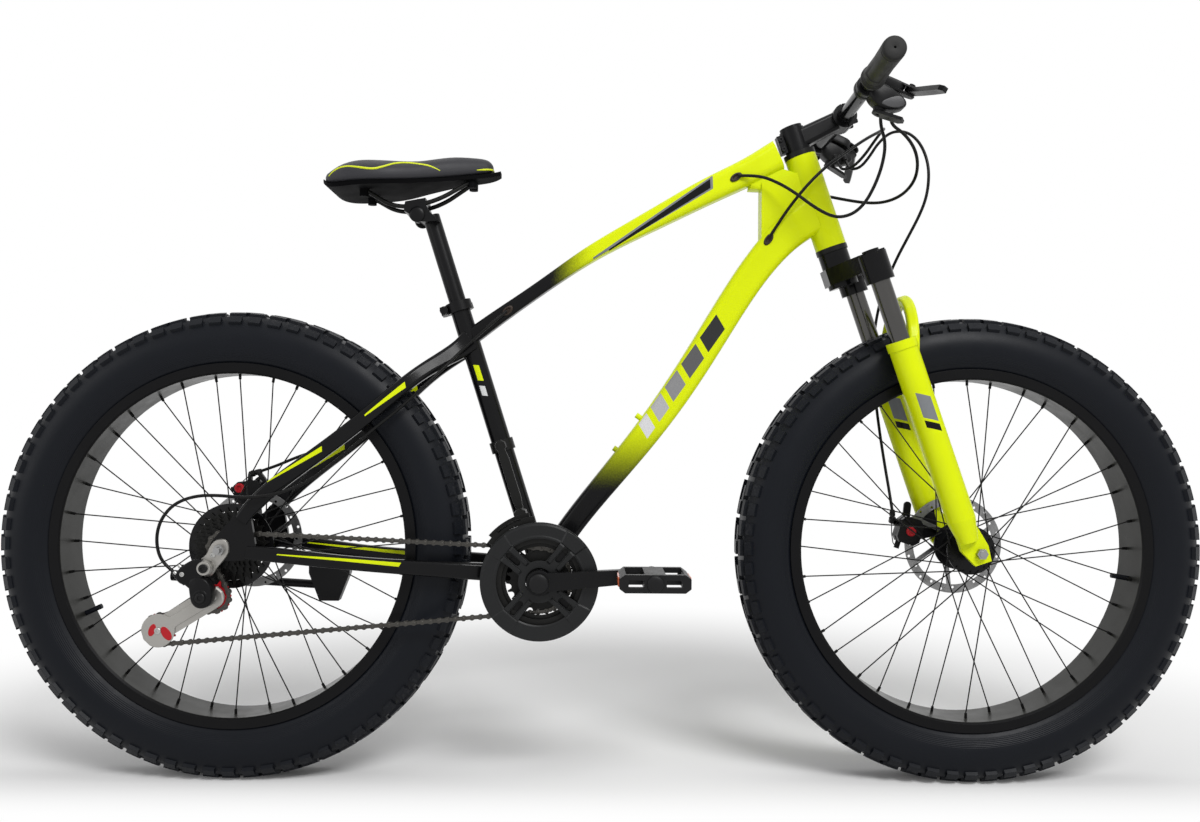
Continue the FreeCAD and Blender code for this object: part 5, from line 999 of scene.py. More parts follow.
@dataclass
class Cable:
    """One cable housing along its route, which is in millimetres. Its radius is in metres."""

    name: str
    route: tuple[Point, ...]
    node: str
    body: str
    far_body: str | None = None
    radius: float = 0.0025
    rings: int = 5
    steps: int = 10

    def mesh(self, radius: float) -> bpy.types.Mesh:
        """Route's smooth line, bare where the radius is 0."""
        return tube_mesh(self.name, millimetres(self.route), radius, self.rings, self.steps)

    def build(self, material: Material) -> Piece:
        """Builds the housing, says what it is and makes it follow its bodies.

        Args:
            material: The housing's material.

        Returns:
            The housing.
        """
        line = [v.co.copy() for v in self.mesh(0.0).vertices]
        length = sum((b - a).length for a, b in zip(line, line[1:]))
        piece = new_piece(self.name, self.mesh(self.radius), material)
        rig.cord(piece, exit=line[0], length=length, diameter=self.radius * 2, far_end="object",
                stiffness="stiff", lay="loose", path=line)
        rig.replaces(piece, self.node)
        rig.slot(piece, "housing")
        if self.far_body:
            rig.blend(piece, self.body, self.far_body, start=line[0], end=line[-1])
        else:
            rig.ride(piece, self.body)
        return piece


CABLES = (
    Cable("rear_shift_cable_front", (
        (405.3, -140.8, 1023.2), (407.0, -131.2, 1013.6), (414, -137, 985), (411, -133, 955),
        (402, -126, 925), (389, -115, 898), (372, -103, 883), (349, -89, 881), (321, -74, 900),
        (297, -58, 924), (270, -43, 945), (240, -32, 959), (210, -25, 959)),
          "steering_cables", "steering", "frame"),
    Cable("rear_brake_cable_front", (
        (420.4, -140.8, 1024.9), (421.4, -131.8, 1014.6), (445, -127, 1001), (463, -118, 982),
        (473, -102, 963), (476, -80, 945), (471, -54, 932), (461, -27, 925), (445, -2, 923), (426, 20, 927),
        (402, 36, 934), (372, 46, 942), (326, 46, 951), (282, 40, 961), (246, 32, 965), (212, 25.2, 960)),
          "steering_cables", "steering", "frame"),
    Cable("front_shift_cable", (
        (405.3, 140.8, 1023.2), (407.0, 131.2, 1013.6), (409, 120, 1005), (424, 108, 1006), (441, 97, 1024),
        (453, 84, 1043), (461, 64, 1056), (460, 38, 1055), (444, 6, 1041), (416, -18, 1023), (383, -32, 999),
        (350, -40, 975), (322, -43, 948), (300, -42, 922), (279, -37, 893), (260, -29, 862)),
          "steering_cables", "steering", "frame"),
    Cable("front_brake_cable_run", (
        (420.4, 140.8, 1024.9), (421.4, 131.8, 1014.6), (424, 122, 1006), (438, 113, 1007), (452, 107, 1024),
        (465, 101, 1046), (484, 93, 1064), (506, 80, 1062), (520, 63, 1045), (529, 51, 1022), (534, 43, 995),
        (534, 41, 967), (530, 43, 939), (521, 51, 912), (508, 64, 882), (491, 84, 842), (474, 104, 790),
        (464, 114, 730), (462, 116, 670), (466, 112, 610), (472, 105, 550), (478, 94, 495), (482, 80, 452),
        (484, 69, 421)),
          "front_brake_cable", "steering", "fork_slider"),
    Cable("rear_shift_cable_rear", (
        (-157, -17.5, 741), (-176, -23, 724), (-199, -29, 703), (-224, -35, 678), (-250, -45, 650),
        (-279, -58, 621), (-316, -68, 584), (-360, -74, 548), (-404, -79, 508), (-450, -88, 470),
        (-496, -102, 452), (-540, -108, 447), (-578, -109, 451), (-614, -109, 450), (-645, -109, 438),
        (-664, -108, 416), (-672, -106, 391), (-671, -103, 365), (-662, -100.5, 346), (-648.4, -100, 335.3)),
          "rear_cables", "frame"),
    Cable("rear_brake_cable_rear", (
        (-425, 78, 545), (-450, 82, 527), (-482, 86, 514), (-515, 88, 503), (-543, 85.5, 490.5),
        (-560, 83.5, 484), (-574, 82, 479)), "rear_cables", "frame"),
)


@dataclass
class Saddle:
    """Padded saddle with a stitched cover and yellow piping.

    Rows, places and the groove's sizes are in millimetres, radii in metres.
    """

    paints: Paintbox
    rows: tuple[tuple[float, float, float, float], ...] = (
        (-444, 46, 939, 14), (-432, 61, 933, 26), (-420, 71, 930, 38), (-402, 79, 929.5, 45),
        (-384, 81.5, 930, 47.5), (-362, 80, 931, 46.5), (-340, 75, 933, 44), (-318, 66, 936, 41),
        (-297, 55, 940, 38), (-273, 43, 945, 38.5), (-250, 34, 949.5, 38.5), (-230, 29.5, 953, 35.5),
        (-212, 25.5, 956, 31.5), (-199, 23, 958.5, 28), (-190, 20.5, 960.5, 24), (-184.5, 16.5, 962.5, 18),
        (-181, 11, 965, 10))
    around: int = 36
    groove_depth: float = 4.5
    groove_width: float = 0.2
    groove_end: float = -200.0
    groove_ramp: float = 60.0
    side_power: float = 0.8
    crown_power: float = 0.62
    tuck: float = 0.07
    piping_radius: float = 0.0017
    nose_radius: float = 0.0015
    nose_turn: float = 0.03
    nose_places: tuple[float, ...] = (-206.0, -198.0, -190.0, -185.0, -181.2)
    edging_rings: int = 3
    edging_steps: int = 12
    edging_tip: float = 0.35
    piping_route: Pairs = (
        (-432, 0.08), (-424, 0.155), (-406, 0.165), (-384, 0.115), (-361, 0.0875), (-345, 0.125),
        (-330, 0.20), (-312, 0.235), (-296, 0.20), (-275, 0.125), (-262, 0.05))

    def outline(self, row: tuple[float, float, float, float], turn: float) -> Vector:
        """Point on the cover's section.

        Args:
            row: The section's place, half width, lowest level and height, in millimetres.
            turn: Share of the way round from the lower right edge over the crown to the lower left.

        Returns:
            The point in metres.
        """
        x, half, low, height = row
        angle = math.pi * turn
        side = -math.cos(angle)
        bulge = math.copysign(abs(side) ** self.side_power, side)
        rise = math.sin(angle) ** self.crown_power
        ramp = min(1.0, max(0.0, (self.groove_end - x) / self.groove_ramp))
        groove = self.groove_depth * math.exp(-(side / self.groove_width) ** 2) * ramp
        inward = 1 - self.tuck * (1 - rise) ** 2
        return Vector((x, half * bulge * inward, low + height * rise - groove)) * MM

    def build(self) -> list[Piece]:
        """Builds the cover and its piping.

        Returns:
            The pieces.
        """
        work = bmesh.new()
        loops = []
        for row in self.rows:
            loops.append([work.verts.new(self.outline(row, k / self.around)) for k in range(self.around + 1)])
        for first, second in zip(loops, loops[1:]):
            for k in range(self.around):
                work.faces.new((first[k], second[k], second[k + 1], first[k + 1]))
            work.faces.new((first[0], first[-1], second[-1], second[0]))
        for loop in (loops[0], loops[-1]):
            work.faces.new(loop)
        leather = self.paints.plain(Finishes.LEATHER)
        cover = new_piece("saddle_cover", closed_mesh("saddle_cover", work), leather)
        cover.modifiers.new("Rounding", "SUBSURF").render_levels = 1
        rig.replaces(cover, "saddle_pad")
        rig.padded(cover, fill=0.9)
        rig.slot(cover, "saddle_cover")
        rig.ride(cover, "seat")
        return [cover, self.piping(1), self.piping(-1), self.nose_edging()]

    def row_at(self, x: float) -> tuple[float, float, float, float]:
        """Section of the cover at a place along it.

        Args:
            x: The place, in millimetres.

        Returns:
            The section, between the two rows on either side.
        """
        for first, second in zip(self.rows, self.rows[1:]):
            if first[0] <= x <= second[0]:
                share = (x - first[0]) / (second[0] - first[0])
                return tuple(a + (b - a) * share for a, b in zip(first, second))
        return self.rows[-1]

    def edging(self, name: str, points: Sequence[Vector], radius: float) -> Piece:
        """Sews a thin yellow edging along points on the cover.

        Args:
            name: The edging's name.
            points: Points that it follows.
            radius: Its radius.

        Returns:
            The edging.
        """
        mesh = tube_mesh(name, points, radius, self.edging_rings, self.edging_steps, self.edging_tip)
        piece = new_piece(name, mesh, self.paints.plain(Finishes.PIPING))
        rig.slot(piece, "saddle_cover")
        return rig.ride(piece, "seat")

    def piping(self, side: int) -> Piece:
        """Builds the wavy piping along one side of the cover.

        Args:
            side: 1 on the left, -1 on the right.

        Returns:
            The piping.
        """
        points = []
        for x, turn in self.piping_route:
            points.append(self.outline(self.row_at(x), turn if side < 0 else 1 - turn))
        return self.edging("saddle_piping_left" if side > 0 else "saddle_piping_right", points,
                           self.piping_radius)

    def nose_edging(self) -> Piece:
        """Builds the edging round the nose.

        Returns:
            The edging.
        """
        right = [self.outline(self.row_at(x), self.nose_turn) for x in self.nose_places]
        left = [Vector((p.x, -p.y, p.z)) for p in reversed(right)]
        return self.edging("saddle_nose_edging", right + left, self.nose_radius)


@dataclass(frozen=True)
class BoltHead:
    """Socket-headed bolt at a place, pointing out along an axis. Its profiles are shares of its size."""

    place: Vector
    axis: Vector
    radius: float
    height: float
    sides: int = 28
    head: Pairs = ((0.0, 1.0), (0.72, 1.0), (1.0, 0.86), (1.0, 0.6))
    socket: Pairs = ((1.0, 0.55), (0.35, 0.55))

    def add_to(self, work: Work) -> None:
        """Adds the head, with its chamfer and hexagonal socket, to a mesh.

        Args:
            work: The mesh that takes it.
        """
        along = self.axis.normalized()
        outs = round_axis(along, self.sides)
        flats = []
        for k, out in enumerate(outs):
            turn = 2 * math.pi * k / self.sides % (math.pi / 3) - math.pi / 6
            flats.append(out * math.cos(math.pi / 6) / math.cos(turn))
        rings = []
        for directions, shares in ((outs, self.head), (flats, self.socket)):
            profile = [(self.height * lift / MM, self.radius * share / MM) for lift, share in shares]
            rings += turned_rings(work, self.place, along, directions, profile)
        skin(work, rings)


def bolt_set(name: str, bolts: Iterable[BoltHead], body: str, slot: str,
             material: Material) -> Piece:
    """Builds several bolt heads as one piece.

    Args:
        name: The piece's name.
        bolts: The bolts.
        body: The body that they move with.
        slot: The record's material slot.
        material: Their material.

    Returns:
        The piece.
    """
    work = bmesh.new()
    for bolt in bolts:
        bolt.add_to(work)
    return trim_piece(name, work, body, slot, material)


def fork_place(x: float, y: float, z: float) -> Vector:
    """Point in the fork's own frame, in millimetres, as a place in the row frame."""
    return FORK_FOOT + (STEER_FORWARD * x + SIDEWAYS * y + STEER_UP * z) * MM


def tilted(direction: Sequence[float], degrees: float) -> Vector:
    """Direction turned about the Y axis."""
    return Matrix.Rotation(math.radians(degrees), 3, "Y") @ Vector(direction)


def middle_of(node: str) -> Vector:
    """Middle of a node's box."""
    low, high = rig.box(node)
    return (Vector(low) + Vector(high)) / 2


@dataclass
class CockpitTrim:
    """Bolts of the stem, its cap and the controls.

    Places are in millimetres, each bolt's radius and height in metres.
    """

    paints: Paintbox
    stem_low: float = 688.3
    stem_top: float = 726.3
    reach: float = 84.0
    bar_height: float = 717.8
    clamp_radius: float = 19.2
    bolt_offset: float = 12.5
    bolt_sunk: float = 3.0
    cap_height: float = 5.0
    control_place: float = 165.0
    control_tilt: float = 25.0
    bar_shift: float = 1.0
    lever_pivot: Point = (58.0, 12.0, 25.4)
    clamp_place: Point = (10.0, -11.0, 11.0)
    pivot_lean: float = 0.17
    bolt_rows: Pair = (-15.0, 15.0)
    pinch_place: Pair = (-23.5, -9.0)
    pinch_inset: float = 11.0
    face_bolt: Pair = (0.0038, 0.0062)
    cap_bolt: Pair = (0.0062, 0.0022)
    pinch_bolt: Pair = (0.0040, 0.0030)
    pivot_bolt: Pair = (0.0046, 0.0022)
    clamp_bolt: Pair = (0.0036, 0.0040)

    def stem_bolts(self) -> list[BoltHead]:
        """Faceplate, cap and pinch bolts."""
        face = self.reach - self.bolt_sunk + math.sqrt(self.clamp_radius ** 2 - self.bolt_offset ** 2)
        bolts = []
        for y in self.bolt_rows:
            for dz in (-self.bolt_offset, self.bolt_offset):
                place = fork_place(face, y, self.bar_height + dz)
                bolts.append(BoltHead(place, STEER_FORWARD, *self.face_bolt))
        bolts.append(BoltHead(fork_place(0.0, 0.0, self.stem_top + self.cap_height), STEER_UP, *self.cap_bolt))
        for z in (self.stem_low + self.pinch_inset, self.stem_top - self.pinch_inset):
            bolts.append(BoltHead(fork_place(*self.pinch_place, z), -SIDEWAYS, *self.pinch_bolt))
        return bolts

    def control_bolts(self, side: int) -> list[BoltHead]:
        """Lever pivot and clamp bolts of one control.

        Args:
            side: 1 on the left, -1 on the right.

        Returns:
            The bolts.
        """
        bar = middle_of("handlebar") + Vector((self.bar_shift * MM, 0.0, 0.0))
        up = tilted((0.0, 0.0, 1.0), self.control_tilt)
        ahead = tilted((1.0, 0.0, 0.0), self.control_tilt)
        outboard = SIDEWAYS * side
        places = []
        for x, y, z in (self.lever_pivot, self.clamp_place):
            places.append(bar + (ahead * x + up * z + outboard * (self.control_place + y)) * MM)
        return [BoltHead(places[0], up + outboard * self.pivot_lean, *self.pivot_bolt),
                BoltHead(places[1], up, *self.clamp_bolt)]

    def build(self) -> list[Piece]:
        """Builds the bolts as one piece."""
        bolts = self.stem_bolts() + self.control_bolts(1) + self.control_bolts(-1)
        return [bolt_set("cockpit_bolts", bolts, "steering", "steel_dark", self.paints.plain(Finishes.BOLT))]


@dataclass
class Controls:
    """Brake perch, shifter housing, clamp and cable barrels on one side of the bar, in millimetres."""

    paints: Paintbox
    side: int
    place: float = 165.0
    tilt: float = 25.0
    droop: float = 10.0
    rise: float = 19.0
    pod_half: float = 15.0
    pod: Pairs = (
        (-2, 4), (8, 11), (26, 12), (46, 9), (62, 3), (64, -5), (54, -15), (36, -21), (18, -20), (4, -10))
    perch: Pairs = ((-2, -14), (-2, 10), (26, 15), (51, 19), (51, -16), (24, -17))
    cheek: Pairs = ((36, -12), (36, 17), (56, 20), (69, 15), (69, 0), (58, -8))
    barrels: tuple[tuple[Point, Point], ...] = (((46, -12, 0), (53, -24, -12)),
                                                ((33, -12, -10), (40, -24, -20)))
    shift_pivot: Point = (32.0, -2.0, -18.8)
    perch_half: float = 7.5
    cheek_faces: Pairs = ((4.0, 7.0), (-4.0, -7.0))
    cover_sunk: float = 0.4
    cover_depth: float = 2.4
    cover_inset: float = 0.22
    band: Pairs = (
        (-11.5, 11.3), (-11.5, 15.0), (-10.5, 16.0), (-4, 16.0), (-3.5, 15.3), (3.5, 15.3), (4, 16.0),
        (10.5, 16.0), (11.5, 15.0), (11.5, 11.3))
    boss: Pairs = ((0, 9.5), (3.5, 9.5), (4.5, 8.5), (5.4, 8.5))
    barrel: Pairs = (
        (-4, 4.4), (1, 5.2), (3, 5.2), (3.6, 4.2), (5.4, 4.2), (6, 5.0), (8, 5.0), (8.4, 4.5), (9.6, 4.5),
        (10, 5.0), (12, 5.0), (12.4, 4.5), (13.6, 4.5), (14, 4.8), (15, 4.0), (17, 3.5))
    barrel_sides: int = 20
    grip_profile: Pairs = (
        (3.0, 1.4), (0.2, 1.7), (0.0, 2.4), (0.0, 13.4), (0.7, 15.0), (2.4, 16.2), (7.0, 16.6), (8.0, 16.6),
        (8.5, 15.8), (9.5, 15.8), (10.0, 16.6), (20.0, 16.4), (23.5, 16.3), (24.3, 16.3), (60.0, 15.7),
        (98.0, 16.2), (98.8, 16.2), (110.0, 16.4), (112.0, 16.4), (112.5, 15.7), (113.5, 15.7),
        (114.0, 16.4), (120.0, 16.6), (122.0, 18.0), (126.0, 18.0), (127.5, 17.0), (127.5, 11.3))
    grip_sides: int = 48
    grip_shift: float = -4.8
    grip_sweep: Pair = (8.0, 260.0)
    panel_facing: Point = (-0.6, 0.0, -0.8)
    panel_span: Pair = (24.0, 98.5)
    panel_edge: float = 0.62
    panel_depth: float = 0.8

    @property
    def name(self) -> str:
        """Side's name."""
        return "left" if self.side > 0 else "right"

    def at(self, x: float, y: float, z: float) -> Vector:
        """Point of the control's own frame, as a place in the row frame."""
        flat = tilted((1.0, 0.0, 0.0), self.tilt) * x + tilted((0.0, 0.0, 1.0), self.tilt) * z
        return middle_of("handlebar") + (flat + SIDEWAYS * self.side * (self.place + y)) * MM

    def head_at(self, x: float, y: float, z: float) -> Vector:
        """Point of the lever's own frame, as a place in the row frame."""
        cosine, sine = math.cos(math.radians(self.droop)), math.sin(math.radians(self.droop))
        return self.at(x, y * cosine + z * sine, self.rise - y * sine + z * cosine)

    def housing(self) -> Piece:
        """Clamp, shifter housing, perch and barrels.

        Returns:
            The piece.
        """
        work = bmesh.new()
        outboard = SIDEWAYS * self.side
        add_turned(work, self.at(0, 0, 0), outboard, self.band)
        side_view = rounded([self.at(x, -self.pod_half, z) for x, z in self.pod])
        add_housing(work, side_view, outboard * self.pod_half * 2 * MM)
        perch = rounded([self.head_at(x, y, -self.perch_half) for x, y in self.perch])
        add_housing(work, perch, self.head_at(0, 0, self.perch_half) - self.head_at(0, 0, -self.perch_half),
                    0.12)
        for low, high in self.cheek_faces:
            cheek = rounded([self.head_at(x, y, low) for x, y in self.cheek])
            add_plate(work, cheek, self.head_at(0, 0, high) - self.head_at(0, 0, low), 0.07)
        add_turned(work, self.at(*self.shift_pivot), self.at(0, 0, -1) - self.at(0, 0, 0), self.boss)
        for start, end in self.barrels:
            add_turned(work, self.at(*start), self.at(*end) - self.at(*start), self.barrel, self.barrel_sides)
        return trim_piece(self.name + "_controls", work, "steering", "plastic_black",
                          self.paints.plain(Finishes.PLASTIC), True, self.name + "_control")

    def cover(self) -> Piece:
        """Pale cover on the outer side of the shifter housing.

        Returns:
            The piece.
        """
        work = bmesh.new()
        corners = [self.at(x, self.pod_half - self.cover_sunk, z) for x, z in self.pod[3:9]]
        middle = sum(corners, Vector()) / len(corners)
        outline = rounded([p.lerp(middle, self.cover_inset) for p in corners])
        add_housing(work, outline, SIDEWAYS * self.side * self.cover_depth * MM, 0.10)
        return trim_piece(self.name + "_shifter_cover", work, "steering", "plastic_black",
                          self.paints.plain(Finishes.COVER), True)

    def grip(self) -> Piece:
        """Rubber grip with ringed ends, a sunk panel and a hole in its closed end.

        Returns:
            The piece.
        """
        low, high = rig.box("handlebar_grips")
        end = middle_of("handlebar") + Vector((self.grip_shift * MM, 0.0, 0.0))
        end.y = high[1] if self.side > 0 else low[1]
        inward = Vector((self.grip_sweep[0], -self.grip_sweep[1] * self.side, 0.0)).normalized()
        down = Vector(self.panel_facing)
        beside = inward.cross(down)
        work = bmesh.new()
        rings = []
        first, last = self.panel_span
        for place, radius in self.grip_profile:
            ring = []
            for out in round_about(down, beside, self.grip_sides):
                sunk = self.panel_depth if first < place < last and out.dot(down) > self.panel_edge else 0.0
                ring.append(work.verts.new(end + (inward * place + out * (radius - sunk)) * MM))
            rings.append(ring)
        skin(work, rings)
        return trim_piece(self.name + "_grip", work, "steering", "rubber", self.paints.plain(Finishes.RUBBER),
                          True, "handlebar_grips")

    def build(self) -> list[Piece]:
        """Builds the controls and the grip of one side."""
        return [self.housing(), self.cover(), self.grip()]


@dataclass
class RearMech:
    """Hanger and body of the rear derailleur.

    Outlines and profiles are in millimetres from the axle, faces, depths and the screws' sizes in metres.
    """

    paints: Paintbox
    dropout_face: float = 0.0931
    hanger: Pairs = (
        (13, 10), (6, 17), (-8, 15), (-16, 4), (-20, -8), (-33, -17), (-36, -29), (-28, -41), (-12, -41),
        (-5, -28), (6, -16), (14, -4))
    arm: Pairs = (
        (-14, -19), (-30, -12), (-46, -18), (-62, -32), (-63, -44), (-52, -53), (-36, -50), (-22, -40),
        (-12, -34))
    foot: Pairs = (
        (-44, -42), (-22, -38), (-9, -50), (-6, -70), (-12, -85), (-28, -89), (-39, -80), (-42, -62))
    upper: Pair = (-20.0, -27.0)
    lower: Pair = (-24.0, -71.0)
    hanger_depth: float = 0.0034
    arm_face: float = 0.0972
    arm_depth: float = 0.0112
    foot_face: float = 0.0860
    foot_depth: float = 0.0235
    sleeve_face: float = 0.0830
    barrel_ends: tuple[Point, Point] = ((-36.0, -57.7, 0.1026), (-68.0, -33.0, 0.1000))
    screws: tuple[tuple[Point, Point, Pair], ...] = (
        ((-10.0, -8.0, 0.0964), (0.0, -1.0, 0.0), (0.0040, 0.0026)),
        ((-52.0, -36.0, 0.1082), (0.0, -1.0, 0.0), (0.0036, 0.0020)),
        ((-56.0, -26.0, 0.1030), (-0.6, 0.0, 0.8), (0.0030, 0.0050)),
        ((-62.0, -36.0, 0.1030), (-0.8, 0.0, 0.6), (0.0030, 0.0050)))
    knuckle: Pairs = ((0, 12.6), (9, 12.6), (10, 11.8), (13.6, 11.8), (15, 10.6), (16.6, 10.2))
    sleeve: Pairs = ((0, 12.0), (26, 12.0), (27.5, 10.5))
    barrel: Pairs = (
        (0, 4.6), (14, 4.6), (15, 6.2), (19, 6.2), (19.6, 5.4), (20.8, 5.4), (21.4, 6.2), (25.4, 6.2),
        (26, 5.4), (27.2, 5.4), (27.8, 6.2), (33, 6.2), (34, 5.0), (39.5, 4.2), (40.3, 3.4))

    def at(self, x: float, z: float, face: float) -> Vector:
        """Place beside the axle, on a face square to the wheel's axle."""
        return REAR_AXLE + Vector((x * MM, -face, z * MM))

    def hanger_plate(self) -> Piece:
        """Bare plate under the axle nut, with the upper knuckle.

        Returns:
            The piece.
        """
        work = bmesh.new()
        plate = rounded([self.at(x, z, self.dropout_face) for x, z in self.hanger], 3)
        add_plate(work, plate, -SIDEWAYS * self.hanger_depth, 0.05)
        add_turned(work, self.at(*self.upper, self.dropout_face), -SIDEWAYS, self.knuckle, 36)
        return trim_piece("hanger_plate", work, "frame", "alloy_silver",
                          self.paints.plain(Finishes.SILVER_ALLOY), True, "rear_derailleur")

    def body(self) -> Piece:
        """Black linkage, lower knuckle and barrel adjuster.

        Returns:
            The piece.
        """
        work = bmesh.new()
        for outline, face, depth in ((self.arm, self.arm_face, self.arm_depth),
                                     (self.foot, self.foot_face, self.foot_depth)):
            add_housing(work, rounded([self.at(x, z, face) for x, z in outline]), -SIDEWAYS * depth, 0.14)
        add_turned(work, self.at(*self.lower, self.sleeve_face), -SIDEWAYS, self.sleeve)
        start, end = (self.at(*place) for place in self.barrel_ends)
        add_turned(work, start, end - start, self.barrel, 20)
        return trim_piece("mech_body", work, "frame", "alloy_black", self.paints.plain(Finishes.SATIN_ALLOY),
                          True, "rear_derailleur")

    def build(self) -> list[Piece]:
        """Builds the hanger, the body and their bright screws.

        Returns:
            The pieces.
        """
        screws = [BoltHead(self.at(*place), Vector(axis), *size) for place, axis, size in self.screws]
        plated = self.paints.plain(Finishes.STEEL_BOLT)
        return [self.hanger_plate(), self.body(), bolt_set("mech_screws", screws, "frame", "steel", plated)]


@dataclass
class DriveTrim:
    """Bolts and trim of the crankset, the derailleurs and the brakes.

    Sizes are in metres, apart from the profiles of the two bands, which are in millimetres.
    """

    paints: Paintbox
    crank_angle: float = 4.5
    guard_circle: float = 0.074
    guard_face: float = -0.098
    cap_face: float = 0.117
    cage_face: float = -0.0826
    knuckle_face: float = -0.110
    disc_circle: float = 0.0225
    disc_bolts: int = 6
    front_disc_face: float = 0.054
    rear_disc_face: float = 0.0715
    rail: Pairs = ((0.030, 0.0055), (0.066, 0.0055), (0.066, 0.0145), (0.030, 0.0115))
    tip: Pairs = (
        (0.066, -0.0145), (0.066, 0.0145), (0.0865, 0.0195), (0.0885, 0.009), (0.0892, 0.0), (0.0885, -0.009),
        (0.0865, -0.0195))
    relief: float = 0.0026
    band: Pairs = ((-0.2, 65.5), (1.0, 68.0), (0.2, 70.5), (1.2, 85.0), (-0.4, 89.5))
    band_sides: int = 96
    lobe: float = 0.0255
    neck: float = 0.0085
    ring: float = 0.0165
    plate_depth: float = 0.0018
    panel_face: float = 0.0014
    panel_depth: float = 0.0010
    pulley_bolt_face: float = 0.0016
    front_knob: Point = (0.5064, 0.0392, 0.3905)
    rear_knob: Point = (-0.6005, 0.0567, 0.4520)
    panels: tuple[tuple[float, ...], ...] = (
        (-0.0085, 0.001, 0.0052, 0.0098, 20.0), (0.0130, -0.004, 0.0066, 0.0118, -35.0))
    arcs: tuple[tuple[float, ...], ...] = (
        (0.0895, 0.0985, 95, 147, -0.0813, 0.0016), (0.0895, 0.1040, 100, 140, -0.0691, 0.0016),
        (0.0960, 0.0985, 108, 132, -0.0691, 0.0138), (0.0895, 0.0985, 144, 147, -0.0691, 0.0138))
    seat_band: Pairs = ((0.0, 16.0), (0.0, 19.3), (18.0, 19.3), (18.0, 16.0))
    seat_band_place: float = 0.205
    blocks: tuple[tuple[float, ...], ...] = (
        (0.206, 0.222, 0.0085, 0.0150, 0.027), (0.096, 0.224, 0.0075, 0.0340, 0.009),
        (0.096, 0.112, 0.0100, 0.0400, 0.030))
    guard_bolt: Pair = (0.0045, 0.0018)
    disc_bolt: Pair = (0.0036, 0.0022)
    pulley_bolt: Pair = (0.0050, 0.0022)
    knob: Pair = (0.0080, 0.0036)
    knuckles: tuple[Point, ...] = ((-0.020, -0.027, 0.0068), (-0.024, -0.071, 0.0075))
    knuckle_height: float = 0.0030
    cap: Pair = (0.0148, 0.0046)

    def guard_arms(self) -> list[Vector]:
        """Directions of the guard's four arms."""
        return [side_direction(45 + 90 * k + self.crank_angle) for k in range(4)]

    def crank_bolts(self) -> list[BoltHead]:
        """Screws of the guard."""
        face = BOTTOM_BRACKET + SIDEWAYS * self.guard_face
        places = [face + out * self.guard_circle for out in self.guard_arms()]
        return [BoltHead(place, -SIDEWAYS, *self.guard_bolt) for place in places]

    def guard_relief(self) -> Piece:
        """Raised rails and tips of the guard's four arms, and its dished and bevelled band.

        Returns:
            The piece.
        """
        work = bmesh.new()
        lift = -SIDEWAYS * self.relief
        root = BOTTOM_BRACKET + SIDEWAYS * self.guard_face
        for out in self.guard_arms():
            side = Vector((-out.z, 0.0, out.x))
            for sign in (1, -1):
                add_plate(work, [root + out * u + side * sign * v for u, v in self.rail], lift, 0.14)
            add_plate(work, [root + out * u + side * v for u, v in self.tip], lift, 0.12)
        around = round_about(side_direction(0), side_direction(90), self.band_sides)
        skin(work, turned_rings(work, root, -SIDEWAYS, around, self.band), foot=False, face=False)
        return trim_piece("guard_relief", work, "crankset", "plastic_black",
                          self.paints.plain(Finishes.GUARD))

    def cage_plate(self) -> list[Piece]:
        """Outer plate of the derailleur's cage, wide at the lower pulley, with its two red panels.

        Returns:
            The pieces.
        """
        low, high = middle_of("tension_pulley"), middle_of("guide_pulley")
        low.y = high.y = self.cage_face
        length = (high - low).length
        upper = []
        for k in range(41):
            reach = -self.lobe + (length + self.lobe + self.ring) * k / 40
            first = math.sqrt(max(0.0, self.lobe ** 2 - reach ** 2))
            last = math.sqrt(max(0.0, self.ring ** 2 - (reach - length) ** 2))
            upper.append((reach, max(first, last, self.neck if 0 < reach < length else 0.0)))
        work = bmesh.new()
        add_plate(work, lobed(low, high, upper), -SIDEWAYS * self.plate_depth, 0.035)
        plate = trim_piece("cage_plate", work, "cage", "alloy_silver",
                           self.paints.plain(Finishes.SILVER_ALLOY))
        work = bmesh.new()
        for x, z, half_x, half_z, lean in self.panels:
            middle = low + Vector((x, -self.panel_face, z))
            turn = Matrix.Rotation(math.radians(lean), 3, "Y")
            oval = round_about(Vector((half_x, 0.0, 0.0)), Vector((0.0, 0.0, half_z)), 28)
            add_plate(work, [middle + turn @ out for out in oval], -SIDEWAYS * self.panel_depth, 0.10)
        panels = trim_piece("cage_panels", work, "cage", "pulley_red", self.paints.plain(Finishes.PULLEY))
        return [plate, panels]

    def front_cage(self) -> Piece:
        """Front derailleur: band round the seat tube, arm and narrow curved cage close over the rings.

        Returns:
            The piece.
        """
        work = bmesh.new()
        for inner, outer, first, last, face, depth in self.arcs:
            arc = [side_direction(first + (last - first) * k / 24) for k in range(25)]
            outline = [v * outer for v in arc] + [v * inner for v in reversed(arc)]
            add_plate(work, [BOTTOM_BRACKET + p + SIDEWAYS * face for p in outline], -SIDEWAYS * depth, 0.004)
        foot = BOTTOM_BRACKET + SEAT_UP * self.seat_band_place
        across = Vector((SEAT_UP.z, 0.0, -SEAT_UP.x))
        rings = turned_rings(work, foot, SEAT_UP, round_about(across, SIDEWAYS, 36), self.seat_band)
        skin(work, rings, foot=False, face=False)
        for low, high, half, face, depth in self.blocks:
            corners = ((low, -half), (low, half), (high, half), (high, -half))
            block = [BOTTOM_BRACKET + SEAT_UP * u + across * v - SIDEWAYS * face for u, v in corners]
            add_housing(work, rounded(block, 1), -SIDEWAYS * depth, 0.08)
        return trim_piece("front_cage", work, "frame", "steel_dark", self.paints.plain(Finishes.DARK_STEEL),
                          node="front_derailleur")

